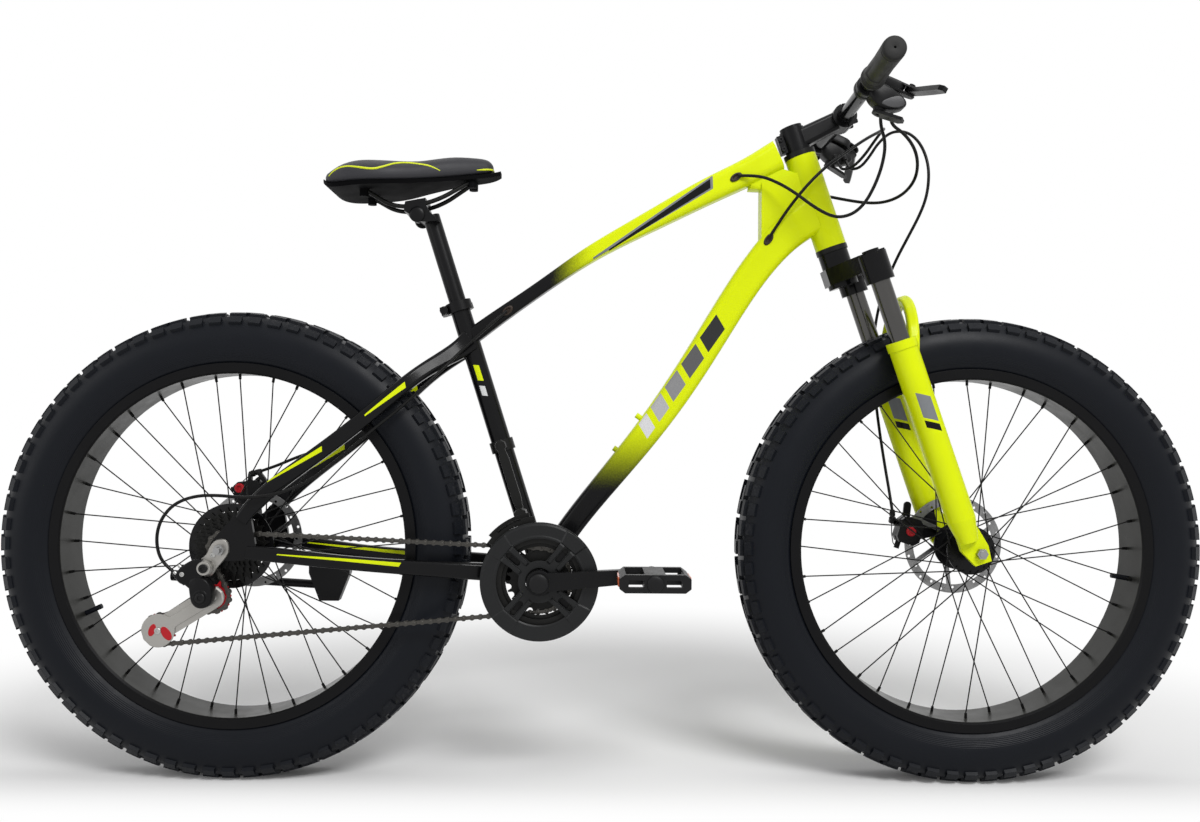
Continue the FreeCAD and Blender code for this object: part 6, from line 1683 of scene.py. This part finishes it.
    def caps(self) -> Piece:
        """Domed caps over the two crank bolts.

        Returns:
            The piece.
        """
        work = bmesh.new()
        for side in (1, -1):
            add_dome(work, BOTTOM_BRACKET + SIDEWAYS * side * self.cap_face, SIDEWAYS * side, *self.cap)
        return trim_piece("crank_caps", work, "crankset", "plastic_black",
                          self.paints.plain(Finishes.PLASTIC), True)

    def pad_knobs(self) -> list[Piece]:
        """Red knobs that set the brakes' inner pads.

        Returns:
            The pieces.
        """
        red = self.paints.plain(Finishes.PULLEY)
        front = BoltHead(Vector(self.front_knob), -SIDEWAYS, *self.knob)
        rear = BoltHead(Vector(self.rear_knob), -SIDEWAYS, *self.knob)
        return [bolt_set("front_pad_knob", [front], "fork_slider", "pulley_red", red),
                bolt_set("rear_pad_knob", [rear], "frame", "pulley_red", red)]

    def disc(self, axle: Vector, face: float) -> list[BoltHead]:
        """Bolts that hold one disc on its hub.

        Args:
            axle: The wheel's axle.
            face: The disc's outer face.

        Returns:
            The bolts.
        """
        hub = axle + SIDEWAYS * face
        outs = [side_direction(360 * (k + 0.5) / self.disc_bolts) for k in range(self.disc_bolts)]
        return [BoltHead(hub + out * self.disc_circle, SIDEWAYS, *self.disc_bolt) for out in outs]

    def cage_bolts(self) -> list[BoltHead]:
        """Bolts through the two pulleys."""
        bolts = []
        for node in ("guide_pulley", "tension_pulley"):
            place = middle_of(node)
            place.y = self.cage_face - self.pulley_bolt_face
            bolts.append(BoltHead(place, -SIDEWAYS, *self.pulley_bolt))
        return bolts

    def build(self) -> list[Piece]:
        """Builds each set of bolts and each piece of trim.

        Returns:
            The pieces.
        """
        black, plated = self.paints.plain(Finishes.BOLT), self.paints.plain(Finishes.STEEL_BOLT)
        knuckles = []
        for x, z, radius in self.knuckles:
            place = REAR_AXLE + Vector((x, self.knuckle_face, z))
            knuckles.append(BoltHead(place, -SIDEWAYS, radius, self.knuckle_height))
        pieces = [bolt_set("crank_bolts", self.crank_bolts(), "crankset", "steel_dark", black),
                  bolt_set("cage_bolts", self.cage_bolts(), "cage", "steel", plated),
                  bolt_set("hanger_bolts", knuckles, "frame", "steel_dark", black)]
        for end, axle, face in (("front", FRONT_AXLE, self.front_disc_face),
                                ("rear", REAR_AXLE, self.rear_disc_face)):
            bolts = self.disc(axle, face)
            pieces.append(bolt_set(f"{end}_disc_bolts", bolts, f"{end}_wheel", "steel_dark", black))
        pieces += [self.guard_relief(), self.caps(), self.front_cage()]
        return pieces + self.pad_knobs() + self.cage_plate()


@dataclass(frozen=True)
class CableStop:
    """Barrel on a caliper's lugs, where a brake housing ends and its bare wire goes on.

    Sizes are in millimetres. Each lug runs from one point to another, seen from the side, with a half width.
    """

    name: str
    body: str
    side: float
    lugs: tuple[tuple[Pair, Pair, float], ...]
    top: Point
    axis: Point
    wire: tuple[Point, ...]
    depth: float = 9.5
    wire_radius: float = 0.8
    barrel: Pairs = (
        (0.0, 3.0), (0.4, 3.9), (4.0, 4.6), (10.0, 4.9), (11.0, 4.1), (12.0, 4.1), (12.6, 5.6), (17.0, 5.6),
        (17.6, 4.0))

    def add_lug(self, work: Work, start: Pair, end: Pair, half: float) -> None:
        """Adds one rounded lug.

        Args:
            work: The mesh that takes it.
            start: Its first end, seen from the side.
            end: Its other end.
            half: Half its width.
        """
        first, last = (Vector((x, self.side, z)) for x, z in (start, end))
        along = (last - first).normalized()
        across = Vector((-along.z, 0.0, along.x)) * half
        corners = (first - across, first + across, last + across, last - across)
        add_housing(work, rounded([corner * MM for corner in corners]), SIDEWAYS * self.depth * MM, 0.10)

    def build(self, material: Material) -> Piece:
        """Builds the stop.

        Args:
            material: Its material.

        Returns:
            The piece.
        """
        work = bmesh.new()
        for start, end, half in self.lugs:
            self.add_lug(work, start, end, half)
        add_turned(work, Vector(self.top) * MM, Vector(self.axis), self.barrel)
        wire = millimetres(self.wire)
        for start, end in zip(wire, wire[1:]):
            run = end - start
            add_turned(work, start, run, ((0.0, self.wire_radius), (run.length / MM, self.wire_radius)), 12)
        return trim_piece(self.name, work, self.body, "plastic_black", material, True)


CABLE_STOPS = (
    CableStop("front_cable_stop", "fork_slider", 63.0,
              (((478, 405), (490, 404), 4.5), ((484, 405), (502, 396), 5.0)), (483.8, 68.2, 424.0),
              (0.0, 0.0, -1.0),
              ((482.5, 68.0, 405.0), (482.5, 67.5, 384.0), (484.5, 66.5, 369.0), (489.5, 65.0, 361.5))),
    CableStop("rear_cable_stop", "frame", 77.0, (
        ((-591, 479), (-591, 452), 3.2), ((-579, 480), (-560, 454), 3.6), ((-574, 470), (-592, 448), 3.6)),
              (-572.0, 82.0, 479.6), (-0.958, 0.0, -0.287),
              ((-589.0, 82.0, 474.4), (-599.0, 82.0, 466.0), (-607.0, 82.0, 458.0))),
)


@dataclass
class ChainLinks:
    """Waisted link plates and pins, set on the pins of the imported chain."""

    paints: Paintbox
    node: Piece
    middle: float = -0.076
    pitch: float = 0.0127
    eye: float = 0.0042
    waist: float = 0.0027
    plate: float = 0.0010
    inner_face: float = 0.0012
    pin_radius: float = 0.0019
    pin_half: float = 0.0036
    cog_radius: float = 0.0245
    ring_radius: float = 0.0487
    pulley_radius: float = 0.0225
    slack: float = 0.0022
    end_slack: float = 0.0001
    pin_room: float = 0.4
    outer_head: float = 0.0008
    inner_head: float = 0.0014

    def pins(self) -> list[Vector]:
        """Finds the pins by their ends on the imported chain, in order round the loop.

        Returns:
            The pins' middles.
        """
        found: list[list[Vector]] = []
        for vertex in self.node.data.vertices:
            place = self.node.matrix_world @ vertex.co
            if place.y > self.middle - self.pin_half + self.end_slack:
                continue
            near = next((group for group in found if (group[0] - place).length < self.pitch * self.pin_room),
                        None)
            if near is None:
                found.append([place])
            else:
                near.append(place)
        loose = [(min(p.x for p in g) + max(p.x for p in g),
                  min(p.z for p in g) + max(p.z for p in g)) for g in found]
        places = [Vector((x / 2, self.middle, z / 2)) for x, z in loose]
        ordered = [places.pop(0)]
        while places:
            nearest = min(places, key=lambda p: (p - ordered[-1]).length)
            places.remove(nearest)
            ordered.append(nearest)
        return ordered

    def outline(self, start: Vector, end: Vector) -> list[Vector]:
        """Outline of one link plate, round at both pins and drawn in between them.

        Args:
            start: First pin.
            end: Second pin.

        Returns:
            The outline's points.
        """
        length = (end - start).length
        upper = []
        steps = 22
        for k in range(steps + 1):
            reach = -self.eye * math.cos(math.pi * k / steps) * (1 + length / (2 * self.eye)) + length / 2
            from_eye = min(abs(reach), abs(reach - length))
            half = math.sqrt(max(0.0, self.eye ** 2 - from_eye ** 2))
            upper.append((reach, max(half, self.waist if 0 < reach < length else 0.0)))
        return lobed(start, end, upper)

    def add_link(self, work: Work, start: Vector, end: Vector, outer: bool) -> None:
        """Adds one link with the pin at its start to a mesh.

        Args:
            work: The mesh that takes it.
            start: The link's first pin.
            end: Its second pin.
            outer: Whether its plates lie outside its neighbours'.
        """
        outline = self.outline(start, end)
        face = self.inner_face + self.plate * outer
        head = self.outer_head if outer else self.inner_head
        for side in (1, -1):
            shift = SIDEWAYS * side
            add_plate(work, [p + shift * face for p in outline], shift * self.plate, 0.03)
            add_dome(work, start + shift * (face + self.plate), shift, self.pin_radius, head)

    def near(self, pin: Vector, centre: Vector, radius: float) -> bool:
        """Whether a pin lies on a toothed wheel."""
        return math.hypot(pin.x - centre.x, pin.z - centre.z) < radius + self.slack

    def build(self) -> list[Piece]:
        """Builds the links on the frame and on the pulley cage, and the two runs that join them.

        Returns:
            The pieces.
        """
        pins = self.pins()
        LOG.info("chain has %d pins", len(pins))
        pulleys = [middle_of(node) for node in ("guide_pulley", "tension_pulley")]
        start = max(range(len(pins)), key=lambda k: pins[k].x)
        pins = pins[start:] + pins[:start]
        held = [k for k, pin in enumerate(pins)
                if any(self.near(pin, p, self.pulley_radius) for p in pulleys)]
        kept = [k for k, pin in enumerate(pins) if self.near(pin, REAR_AXLE, self.cog_radius)
                or self.near(pin, BOTTOM_BRACKET, self.ring_radius)]
        first, last = held[0], held[-1]
        before, after = max(k for k in kept if k < first), min(k for k in kept if k > last)
        names = ["chain_lower_run", "chain_guide_run"]
        if self.near(pins[before], REAR_AXLE, self.cog_radius):
            names.reverse()
        spans = {"chain_links": [*range(after, len(pins)), *range(before)],
                 "chain_on_pulleys": [*range(first, last)], names[0]: [*range(before, first)],
                 names[1]: [*range(last, after)]}
        bodies = {"chain_links": "frame", "chain_on_pulleys": "cage"}
        pieces = {}
        for name, links in spans.items():
            work = bmesh.new()
            for k in links:
                self.add_link(work, pins[k], pins[(k + 1) % len(pins)], k % 2 == 1)
            steel = self.paints.plain(Finishes.CHAIN_STEEL)
            pieces[name] = trim_piece(name, work, bodies.get(name), "steel_dark", steel, node="chain")
        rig.blend(pieces[names[0]], "frame", "cage", start=pins[before], end=pins[first])
        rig.blend(pieces[names[1]], "cage", "frame", start=pins[last], end=pins[after])
        return list(pieces.values())


@dataclass
class FrameTrim:
    """Welded web behind the head tube, and the bosses of the saddle's clamp."""

    paints: Paintbox
    web: Pairs = (
        (0.228, 0.940), (0.232, 0.962), (0.262, 0.9765), (0.2865, 0.9735), (0.303, 0.9685), (0.309, 0.958),
        (0.296, 0.938))
    web_half: float = 0.0135
    clamp: Pair = (-0.299, 0.892)
    clamp_face: float = 0.028
    boss: Pair = (0.0125, 0.0045)

    def build(self) -> list[Piece]:
        """Builds the web and the bosses.

        Returns:
            The pieces.
        """
        work = bmesh.new()
        for side in (1, -1):
            add_plate(work, [Vector((x, 0.0, z)) for x, z in self.web], SIDEWAYS * side * self.web_half, 0.06)
        web = trim_piece("head_web", work, "frame", "paint_yellow", self.paints.plain(Finishes.PAINT))
        work = bmesh.new()
        for side in (1, -1):
            place = Vector((self.clamp[0], side * self.clamp_face, self.clamp[1]))
            add_dome(work, place, SIDEWAYS * side, *self.boss)
        bosses = trim_piece("clamp_bosses", work, "seat", "alloy_black",
                            self.paints.plain(Finishes.SATIN_ALLOY), True)
        return [web, bosses]


@dataclass
class CablePort:
    """Oval rubber grommet where a cable goes into a tube."""

    name: str
    place: Point
    outward: Point
    along: Point
    half_length: float = 0.0105
    half_width: float = 0.0058
    height: float = 0.0024
    sides: int = 32
    profile: Pairs = ((-0.6, 1.0), (0.35, 1.0), (0.85, 0.88), (1.0, 0.72), (0.8, 0.55), (0.1, 0.5),
                      (-0.2, 0.3))

    def build(self, material: Material) -> Piece:
        """Builds the grommet as a rounded oval ring.

        Args:
            material: Its rubber.

        Returns:
            The piece.
        """
        out = Vector(self.outward).normalized()
        along = (Vector(self.along) - out * Vector(self.along).dot(out)).normalized()
        side = out.cross(along)
        oval = round_about(along * self.half_length, side * self.half_width, self.sides)
        work = bmesh.new()
        heights = [(self.height * lift / MM, share / MM) for lift, share in self.profile]
        skin(work, turned_rings(work, Vector(self.place), out, oval, heights), foot=False)
        piece = new_piece(self.name, closed_mesh(self.name, work), material)
        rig.slot(piece, "rubber")
        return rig.ride(piece, "frame")


CABLE_PORTS = (
    CablePort("top_port_right", (0.2065, -0.0225, 0.9575), (0.0, -1.0, 0.0), (0.84, 0.0, 0.54)),
    CablePort("top_port_left", (0.2085, 0.0227, 0.9585), (0.0, 1.0, 0.0), (0.84, 0.0, 0.54)),
    CablePort("down_port_right", (0.2585, -0.0255, 0.8580), (0.0, -1.0, 0.0), (0.571, 0.0, 0.821)),
    CablePort("rear_port_right", (-0.1555, -0.0150, 0.7420), (0.0, -1.0, 0.0), (0.75, 0.0, 0.66)),
)


@dataclass
class PedalTrim:
    """Amber reflectors and domed axle covers of the pedals."""

    paints: Paintbox
    half_length: float = 0.0515
    depth: float = 0.0042
    half_height: float = 0.0072
    half_width: float = 0.024
    cap: Pair = (0.0122, 0.0040)
    edge: float = 0.0007

    def build(self) -> list[Piece]:
        """Builds both pedals' reflectors and covers."""
        sides = ("right", "left")
        return [self.pair(side) for side in sides] + [self.cover(side) for side in sides]

    def cover(self, side: str) -> Piece:
        """Builds the domed cover over the outer end of one pedal's axle.

        Args:
            side: Right or left.

        Returns:
            The piece.
        """
        low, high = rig.box(f"{side}_pedal")
        centre = middle_of(f"{side}_pedal")
        facing = -1 if side == "right" else 1
        centre.y = low[1] if side == "right" else high[1]
        work = bmesh.new()
        add_dome(work, centre, SIDEWAYS * facing, *self.cap)
        return trim_piece(f"{side}_pedal_cover", work, f"pedal_{side}", "plastic_black",
                          self.paints.plain(Finishes.PLASTIC), True)

    def pair(self, side: str) -> Piece:
        """Builds the two reflectors of one pedal.

        Args:
            side: Right or left.

        Returns:
            The piece.
        """
        centre = middle_of(f"{side}_pedal")
        work = bmesh.new()
        for sign in (1, -1):
            made = bmesh.ops.create_cube(work, size=1.0)
            for vert in made["verts"]:
                x, y, z = vert.co
                reach = sign * (self.half_length - self.depth * 0.5) + x * self.depth * 1.6
                vert.co = centre + Vector((reach, y * 2 * self.half_width, z * 2 * self.half_height))
        bmesh.ops.bevel(work, geom=work.edges[:], offset=self.edge, segments=2, affect="EDGES")
        return trim_piece(f"{side}_pedal_reflectors", work, f"pedal_{side}", "plastic_clear",
                          self.paints.plain(Finishes.REFLECTOR))


class PhotoCamera:
    """Camera that stands where the photograph was taken."""

    place = Vector((-0.0223, -1.7398, 0.56024))
    forward = Vector((0.0089, 0.99987, 0.0134))
    up = Vector((-0.0084, -0.0133, 0.9999))
    lens = 32.495
    sensor = 36.0

    def build(self) -> Piece:
        """Makes the camera and sets it as the scene's own.

        Returns:
            The camera.
        """
        data = bpy.data.cameras.new("camera")
        data.lens = self.lens
        data.sensor_width = self.sensor
        data.sensor_fit = "HORIZONTAL"
        camera = bpy.data.objects.new("camera", data)
        back = -self.forward.normalized()
        right = self.up.cross(back).normalized()
        up = back.cross(right)
        turn = Matrix((right, up, back)).transposed().to_4x4()
        camera.matrix_world = Matrix.Translation(self.place) @ turn
        bpy.context.scene.collection.objects.link(camera)
        bpy.context.scene.camera = camera
        return camera


@dataclass(frozen=True)
class Softbox:
    """One large soft lamp."""

    name: str
    place: Point
    aim: Point
    width: float
    depth: float
    power: float

    def build(self) -> Piece:
        """Hangs the lamp.

        Returns:
            The lamp.
        """
        data = bpy.data.lights.new(self.name, "AREA")
        data.shape = "RECTANGLE"
        data.size = self.width
        data.size_y = self.depth
        data.energy = self.power
        lamp = bpy.data.objects.new(self.name, data)
        lamp.location = self.place
        direction = Vector(self.aim) - Vector(self.place)
        lamp.rotation_euler = direction.to_track_quat("-Z", "Y").to_euler()
        bpy.context.scene.collection.objects.link(lamp)
        return lamp


@dataclass
class Studio:
    """White floor, white surroundings and soft lamps."""

    floor_half: float = 14.0
    world_light: float = 0.31
    floor_shade: float = 0.93
    white_distance: Pair = (0.85, 1.7)
    white_ahead: Pair = (0.02, -0.20)
    lamps: tuple[Softbox, ...] = (
        Softbox("key", (1.3, -3.0, 3.3), (0.0, 0.2, 0.2), 1.9, 1.5, 128.0),
        Softbox("overhead", (0.0, 0.3, 3.4), (0.0, 0.0, 0.4), 3.2, 2.0, 22.0),
        Softbox("left_side", (-3.2, -1.8, 1.5), (-0.3, 0.0, 0.5), 1.6, 1.8, 16.0))

    def build(self) -> None:
        """Builds the floor, the surroundings and the lamps."""
        bpy.context.scene.view_settings.view_transform = "Standard"
        for lamp in self.lamps:
            lamp.build()
        self.world()
        self.floor()

    def seen(self, graph: Graph) -> bpy.types.NodeSocket:
        """Mask of the rays that show the background.

        Args:
            graph: The graph that needs it.

        Returns:
            The mask's socket.
        """
        rays = graph.add("ShaderNodeLightPath")
        either = graph.sum("MAXIMUM", rays.outputs["Is Camera Ray"], rays.outputs["Is Glossy Ray"])
        return graph.sum("MAXIMUM", either, rays.outputs["Is Transmission Ray"])

    def world(self) -> None:
        """Makes white surroundings that light the object at a plain level."""
        world = bpy.data.worlds.new("studio")
        world.use_nodes = True
        world.node_tree.nodes.clear()
        graph = Graph(world.node_tree)
        seen = self.seen(graph)
        strength = graph.sum("ADD", graph.sum("MULTIPLY", seen, 1.0 - self.world_light), self.world_light)
        light = graph.add("ShaderNodeBackground", {"Color": (1.0, 1.0, 1.0, 1.0), "Strength": strength})
        out = graph.add("ShaderNodeOutputWorld", {"Surface": light.outputs[0]})
        out.is_active_output = True
        bpy.context.scene.world = world

    def floor(self) -> Piece:
        """Makes a pale floor that keeps the shadow and goes white further off.

        Returns:
            The floor.
        """
        work = bmesh.new()
        bmesh.ops.create_grid(work, x_segments=8, y_segments=8, size=self.floor_half)
        mesh = bpy.data.meshes.new("floor")
        work.to_mesh(mesh)
        work.free()
        material = bpy.data.materials.new("floor")
        material.use_nodes = True
        material.node_tree.nodes.clear()
        graph = Graph(material.node_tree)
        distance = graph.vector("LENGTH", graph.place(), (0.0, 0.0, 0.0)).outputs["Value"]
        parts = graph.add("ShaderNodeSeparateXYZ", {0: graph.place()})
        ahead = graph.step(parts.outputs["Y"], *self.white_ahead)
        white_share = graph.sum("MAXIMUM", graph.step(distance, *self.white_distance), ahead)
        far = graph.sum("MULTIPLY", white_share, self.seen(graph))
        matt = graph.add("ShaderNodeBsdfDiffuse", {"Color": opaque((self.floor_shade,) * 3)})
        white = graph.add("ShaderNodeEmission", {"Color": (1.0, 1.0, 1.0, 1.0), "Strength": 1.0})
        mixed = graph.add("ShaderNodeMixShader", {0: far, 1: matt.outputs[0], 2: white.outputs[0]})
        graph.add("ShaderNodeOutputMaterial", {"Surface": mixed.outputs[0]})
        floor = new_piece("floor", mesh, material)
        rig.stage(floor)
        return floor


TOP_TUBE_PATCHES = (
    Patch((-0.020, 0.0, 0.8265), (0.170, 0.0, 0.9500), GREY, 0.0015, 0.0095, 0.6),
    Patch((0.005, 0.0, 0.8400), (0.166, 0.0, 0.9475), GLOSS_BLACK, 0.0012, 0.0065, 0.6),
)
CHAINSTAY_PATCHES = (Patch((-0.311, 0.0, 0.345), (-0.495, 0.0, 0.361), NEON, 0.0034, 0.0010, 0.5),)
SEATSTAY_PATCHES = (
    Patch((-0.431, 0.0, 0.5215), (-0.512, 0.0, 0.471), NEON, 0.0038, 0.0012, 0.5),
    Patch((-0.308, 0.0, 0.621), (-0.368, 0.0, 0.5725), NEON, 0.0044, 0.0014, 0.5),
)
SEAT_TUBE_PATCHES = (
    Patch((-0.205, 0.0, 0.655), (-0.197, 0.0, 0.630), NEON, 0.0045, 0.0045, 0.4),
    Patch((-0.195, 0.0, 0.622), (-0.190, 0.0, 0.606), PALE, 0.0045, 0.0045, 0.4),
)


BAR_START = 0.492
BAR_WIDTHS = (0.046, 0.040, 0.034, 0.028, 0.022)
BAR_GAP = 0.011
BAR_HALF = 0.0125
BAR_SLANT = 0.45
BAR_SHADES = (0.03, 0.63)
FORK_BARS = ((0.262, 0.222, GREY), (0.218, 0.206, GLOSS_BLACK))
FORK_BAR_FRONT = 0.035
FORK_BAR_HALF = 0.0105
FORK_BAR_SLANT = 0.6


def down_tube_patches() -> tuple[Patch, ...]:
    """Slanted bars along the down tube, dark in front and pale behind.

    Returns:
        The bars.
    """
    bars = []
    reach = BAR_START
    dark, pale = BAR_SHADES
    for k, width in enumerate(BAR_WIDTHS):
        start = BOTTOM_BRACKET + DOWN_TUBE_ALONG * (reach - width)
        end = BOTTOM_BRACKET + DOWN_TUBE_ALONG * reach
        shade = dark + (pale - dark) * (k / (len(BAR_WIDTHS) - 1)) ** 1.5
        colour = (shade, shade, shade * 1.02)
        bars.append(Patch(tuple(start), tuple(end), colour, BAR_HALF, BAR_HALF, BAR_SLANT))
        reach -= width + BAR_GAP
    return tuple(bars)


def fork_patches() -> tuple[Patch, ...]:
    """Two slanted patches on the fork legs.

    Returns:
        The patches.
    """
    leg = FORK_FOOT + STEER_FORWARD * FORK_BAR_FRONT
    patches = []
    for high, low, colour in FORK_BARS:
        start, end = leg + STEER_UP * low, leg + STEER_UP * high
        patches.append(Patch(tuple(start), tuple(end), colour, FORK_BAR_HALF, FORK_BAR_HALF, FORK_BAR_SLANT))
    return tuple(patches)


@dataclass
class Dresser:
    """Gives every kept node its material."""

    paints: Paintbox
    nodes: dict[str, Piece]

    def plain_nodes(self) -> dict[str, Finish]:
        """Finish of each node that has one colour.

        Returns:
            Finishes by node.
        """
        sets: dict[Finish, tuple[str, ...]] = {
            Finishes.BLACK_PAINT: ("fork_crown", "handlebar"),
            Finishes.SATIN_ALLOY: (
                "seat_collar", "rear_brake_caliper", "kickstand_bracket", "stem", "front_brake_caliper",
                "right_crank", "left_crank", "left_brake_lever", "right_brake_lever", "seatpost",
                "quick_release_lever", "kickstand_leg", "front_brake_arm", "rear_brake_arm"),
            Finishes.SILVER_ALLOY: ("derailleur_cage",),
            Finishes.STANCHION: ("fork_stanchions",),
            Finishes.STEEL: ("rear_axle", "front_axle"),
            Finishes.DARK_STEEL: ("bearing_cups", "freewheel", "chainrings", "saddle_rails"),
            Finishes.SPOKE: ("front_spokes", "rear_spokes"),
            Finishes.HUB: ("front_hub", "rear_hub"),
            Finishes.PLASTIC: (
                "right_pedal", "left_pedal", "left_shift_lever", "right_shift_lever"),
            Finishes.SHELL: ("saddle_base",),
            Finishes.GUARD: ("chain_guard",),
            Finishes.PULLEY: ("guide_pulley", "tension_pulley"),
            Finishes.SMOKED: ("spoke_protector",),
        }
        return {node: finish for finish, names in sets.items() for node in names}

    def special_nodes(self) -> dict[str, Material]:
        """Material of each painted, striped or rubber node.

        Returns:
            Materials by node.
        """
        sprayed, striped = self.paints.sprayed, self.paints.striped
        materials = {
            "head_tube": self.paints.plain(Finishes.PAINT),
            "top_tube": sprayed("Top tube paint", (1.0, 0.0, 0.0), -0.088, -0.012, TOP_TUBE_PATCHES),
            "down_tube": sprayed("Down tube paint", (0.0, 0.0, 1.0), 0.455, 0.575, down_tube_patches()),
            "fork_lowers": striped("Fork paint", Finishes.PAINT, fork_patches()),
            "seat_tube": striped("Saddle tube paint", Finishes.BLACK_PAINT, SEAT_TUBE_PATCHES),
            "chainstays": striped("Chainstay paint", Finishes.BLACK_PAINT, CHAINSTAY_PATCHES),
            "seatstays": striped("Seatstay paint", Finishes.BLACK_PAINT, SEATSTAY_PATCHES),
        }
        for name, axle in (("front", FRONT_AXLE), ("rear", REAR_AXLE)):
            wheel = Wheel(self.paints, name.capitalize(), axle)
            materials[f"{name}_tyre"] = wheel.tyre()
            materials[f"{name}_rim"] = wheel.rim()
            materials[f"{name}_rotor"] = wheel.disc()
        return materials

    def dress(self) -> None:
        """Puts each material on its node."""
        chosen = {node: self.paints.plain(finish) for node, finish in self.plain_nodes().items()}
        chosen.update(self.special_nodes())
        for node, material in chosen.items():
            self.nodes[node].data.materials.clear()
            self.nodes[node].data.materials.append(material)
            LOG.info("dressed %s in %s", node, material.name)


def write_sizes(cad: Any, visual: Any) -> None:
    """Args:
        cad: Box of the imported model.
        visual: Box of the dressed model.
    """
    boxes = {"cad": [list(corner) for corner in cad], "visual": [list(corner) for corner in visual]}
    with open("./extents.json", "w") as file:
        json.dump(boxes, file)


def main() -> None:
    """Builds the dressed bicycle and its studio."""
    logging.basicConfig(level=logging.INFO)
    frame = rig.load()
    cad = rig.bounds()
    PhotoCamera().build()
    paints = Paintbox()
    for cable in CABLES:
        LOG.info("laid %s", cable.build(paints.plain(Finishes.HOUSING)).name)
    for piece in Saddle(paints).build():
        LOG.info("built %s", piece.name)
    trim = CockpitTrim(paints).build() + DriveTrim(paints).build() + PedalTrim(paints).build()
    trim += Controls(paints, 1).build() + Controls(paints, -1).build() + RearMech(paints).build()
    trim += FrameTrim(paints).build() + [port.build(paints.plain(Finishes.GROMMET)) for port in CABLE_PORTS]
    trim += [stop.build(paints.plain(Finishes.PLASTIC)) for stop in CABLE_STOPS]
    trim += ChainLinks(paints, frame["nodes"]["chain"]).build()
    for piece in trim:
        LOG.info("fitted %s", piece.name)
    Dresser(paints, frame["nodes"]).dress()
    Studio().build()
    write_sizes(cad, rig.bounds())


if __name__ == "__main__":
    main()
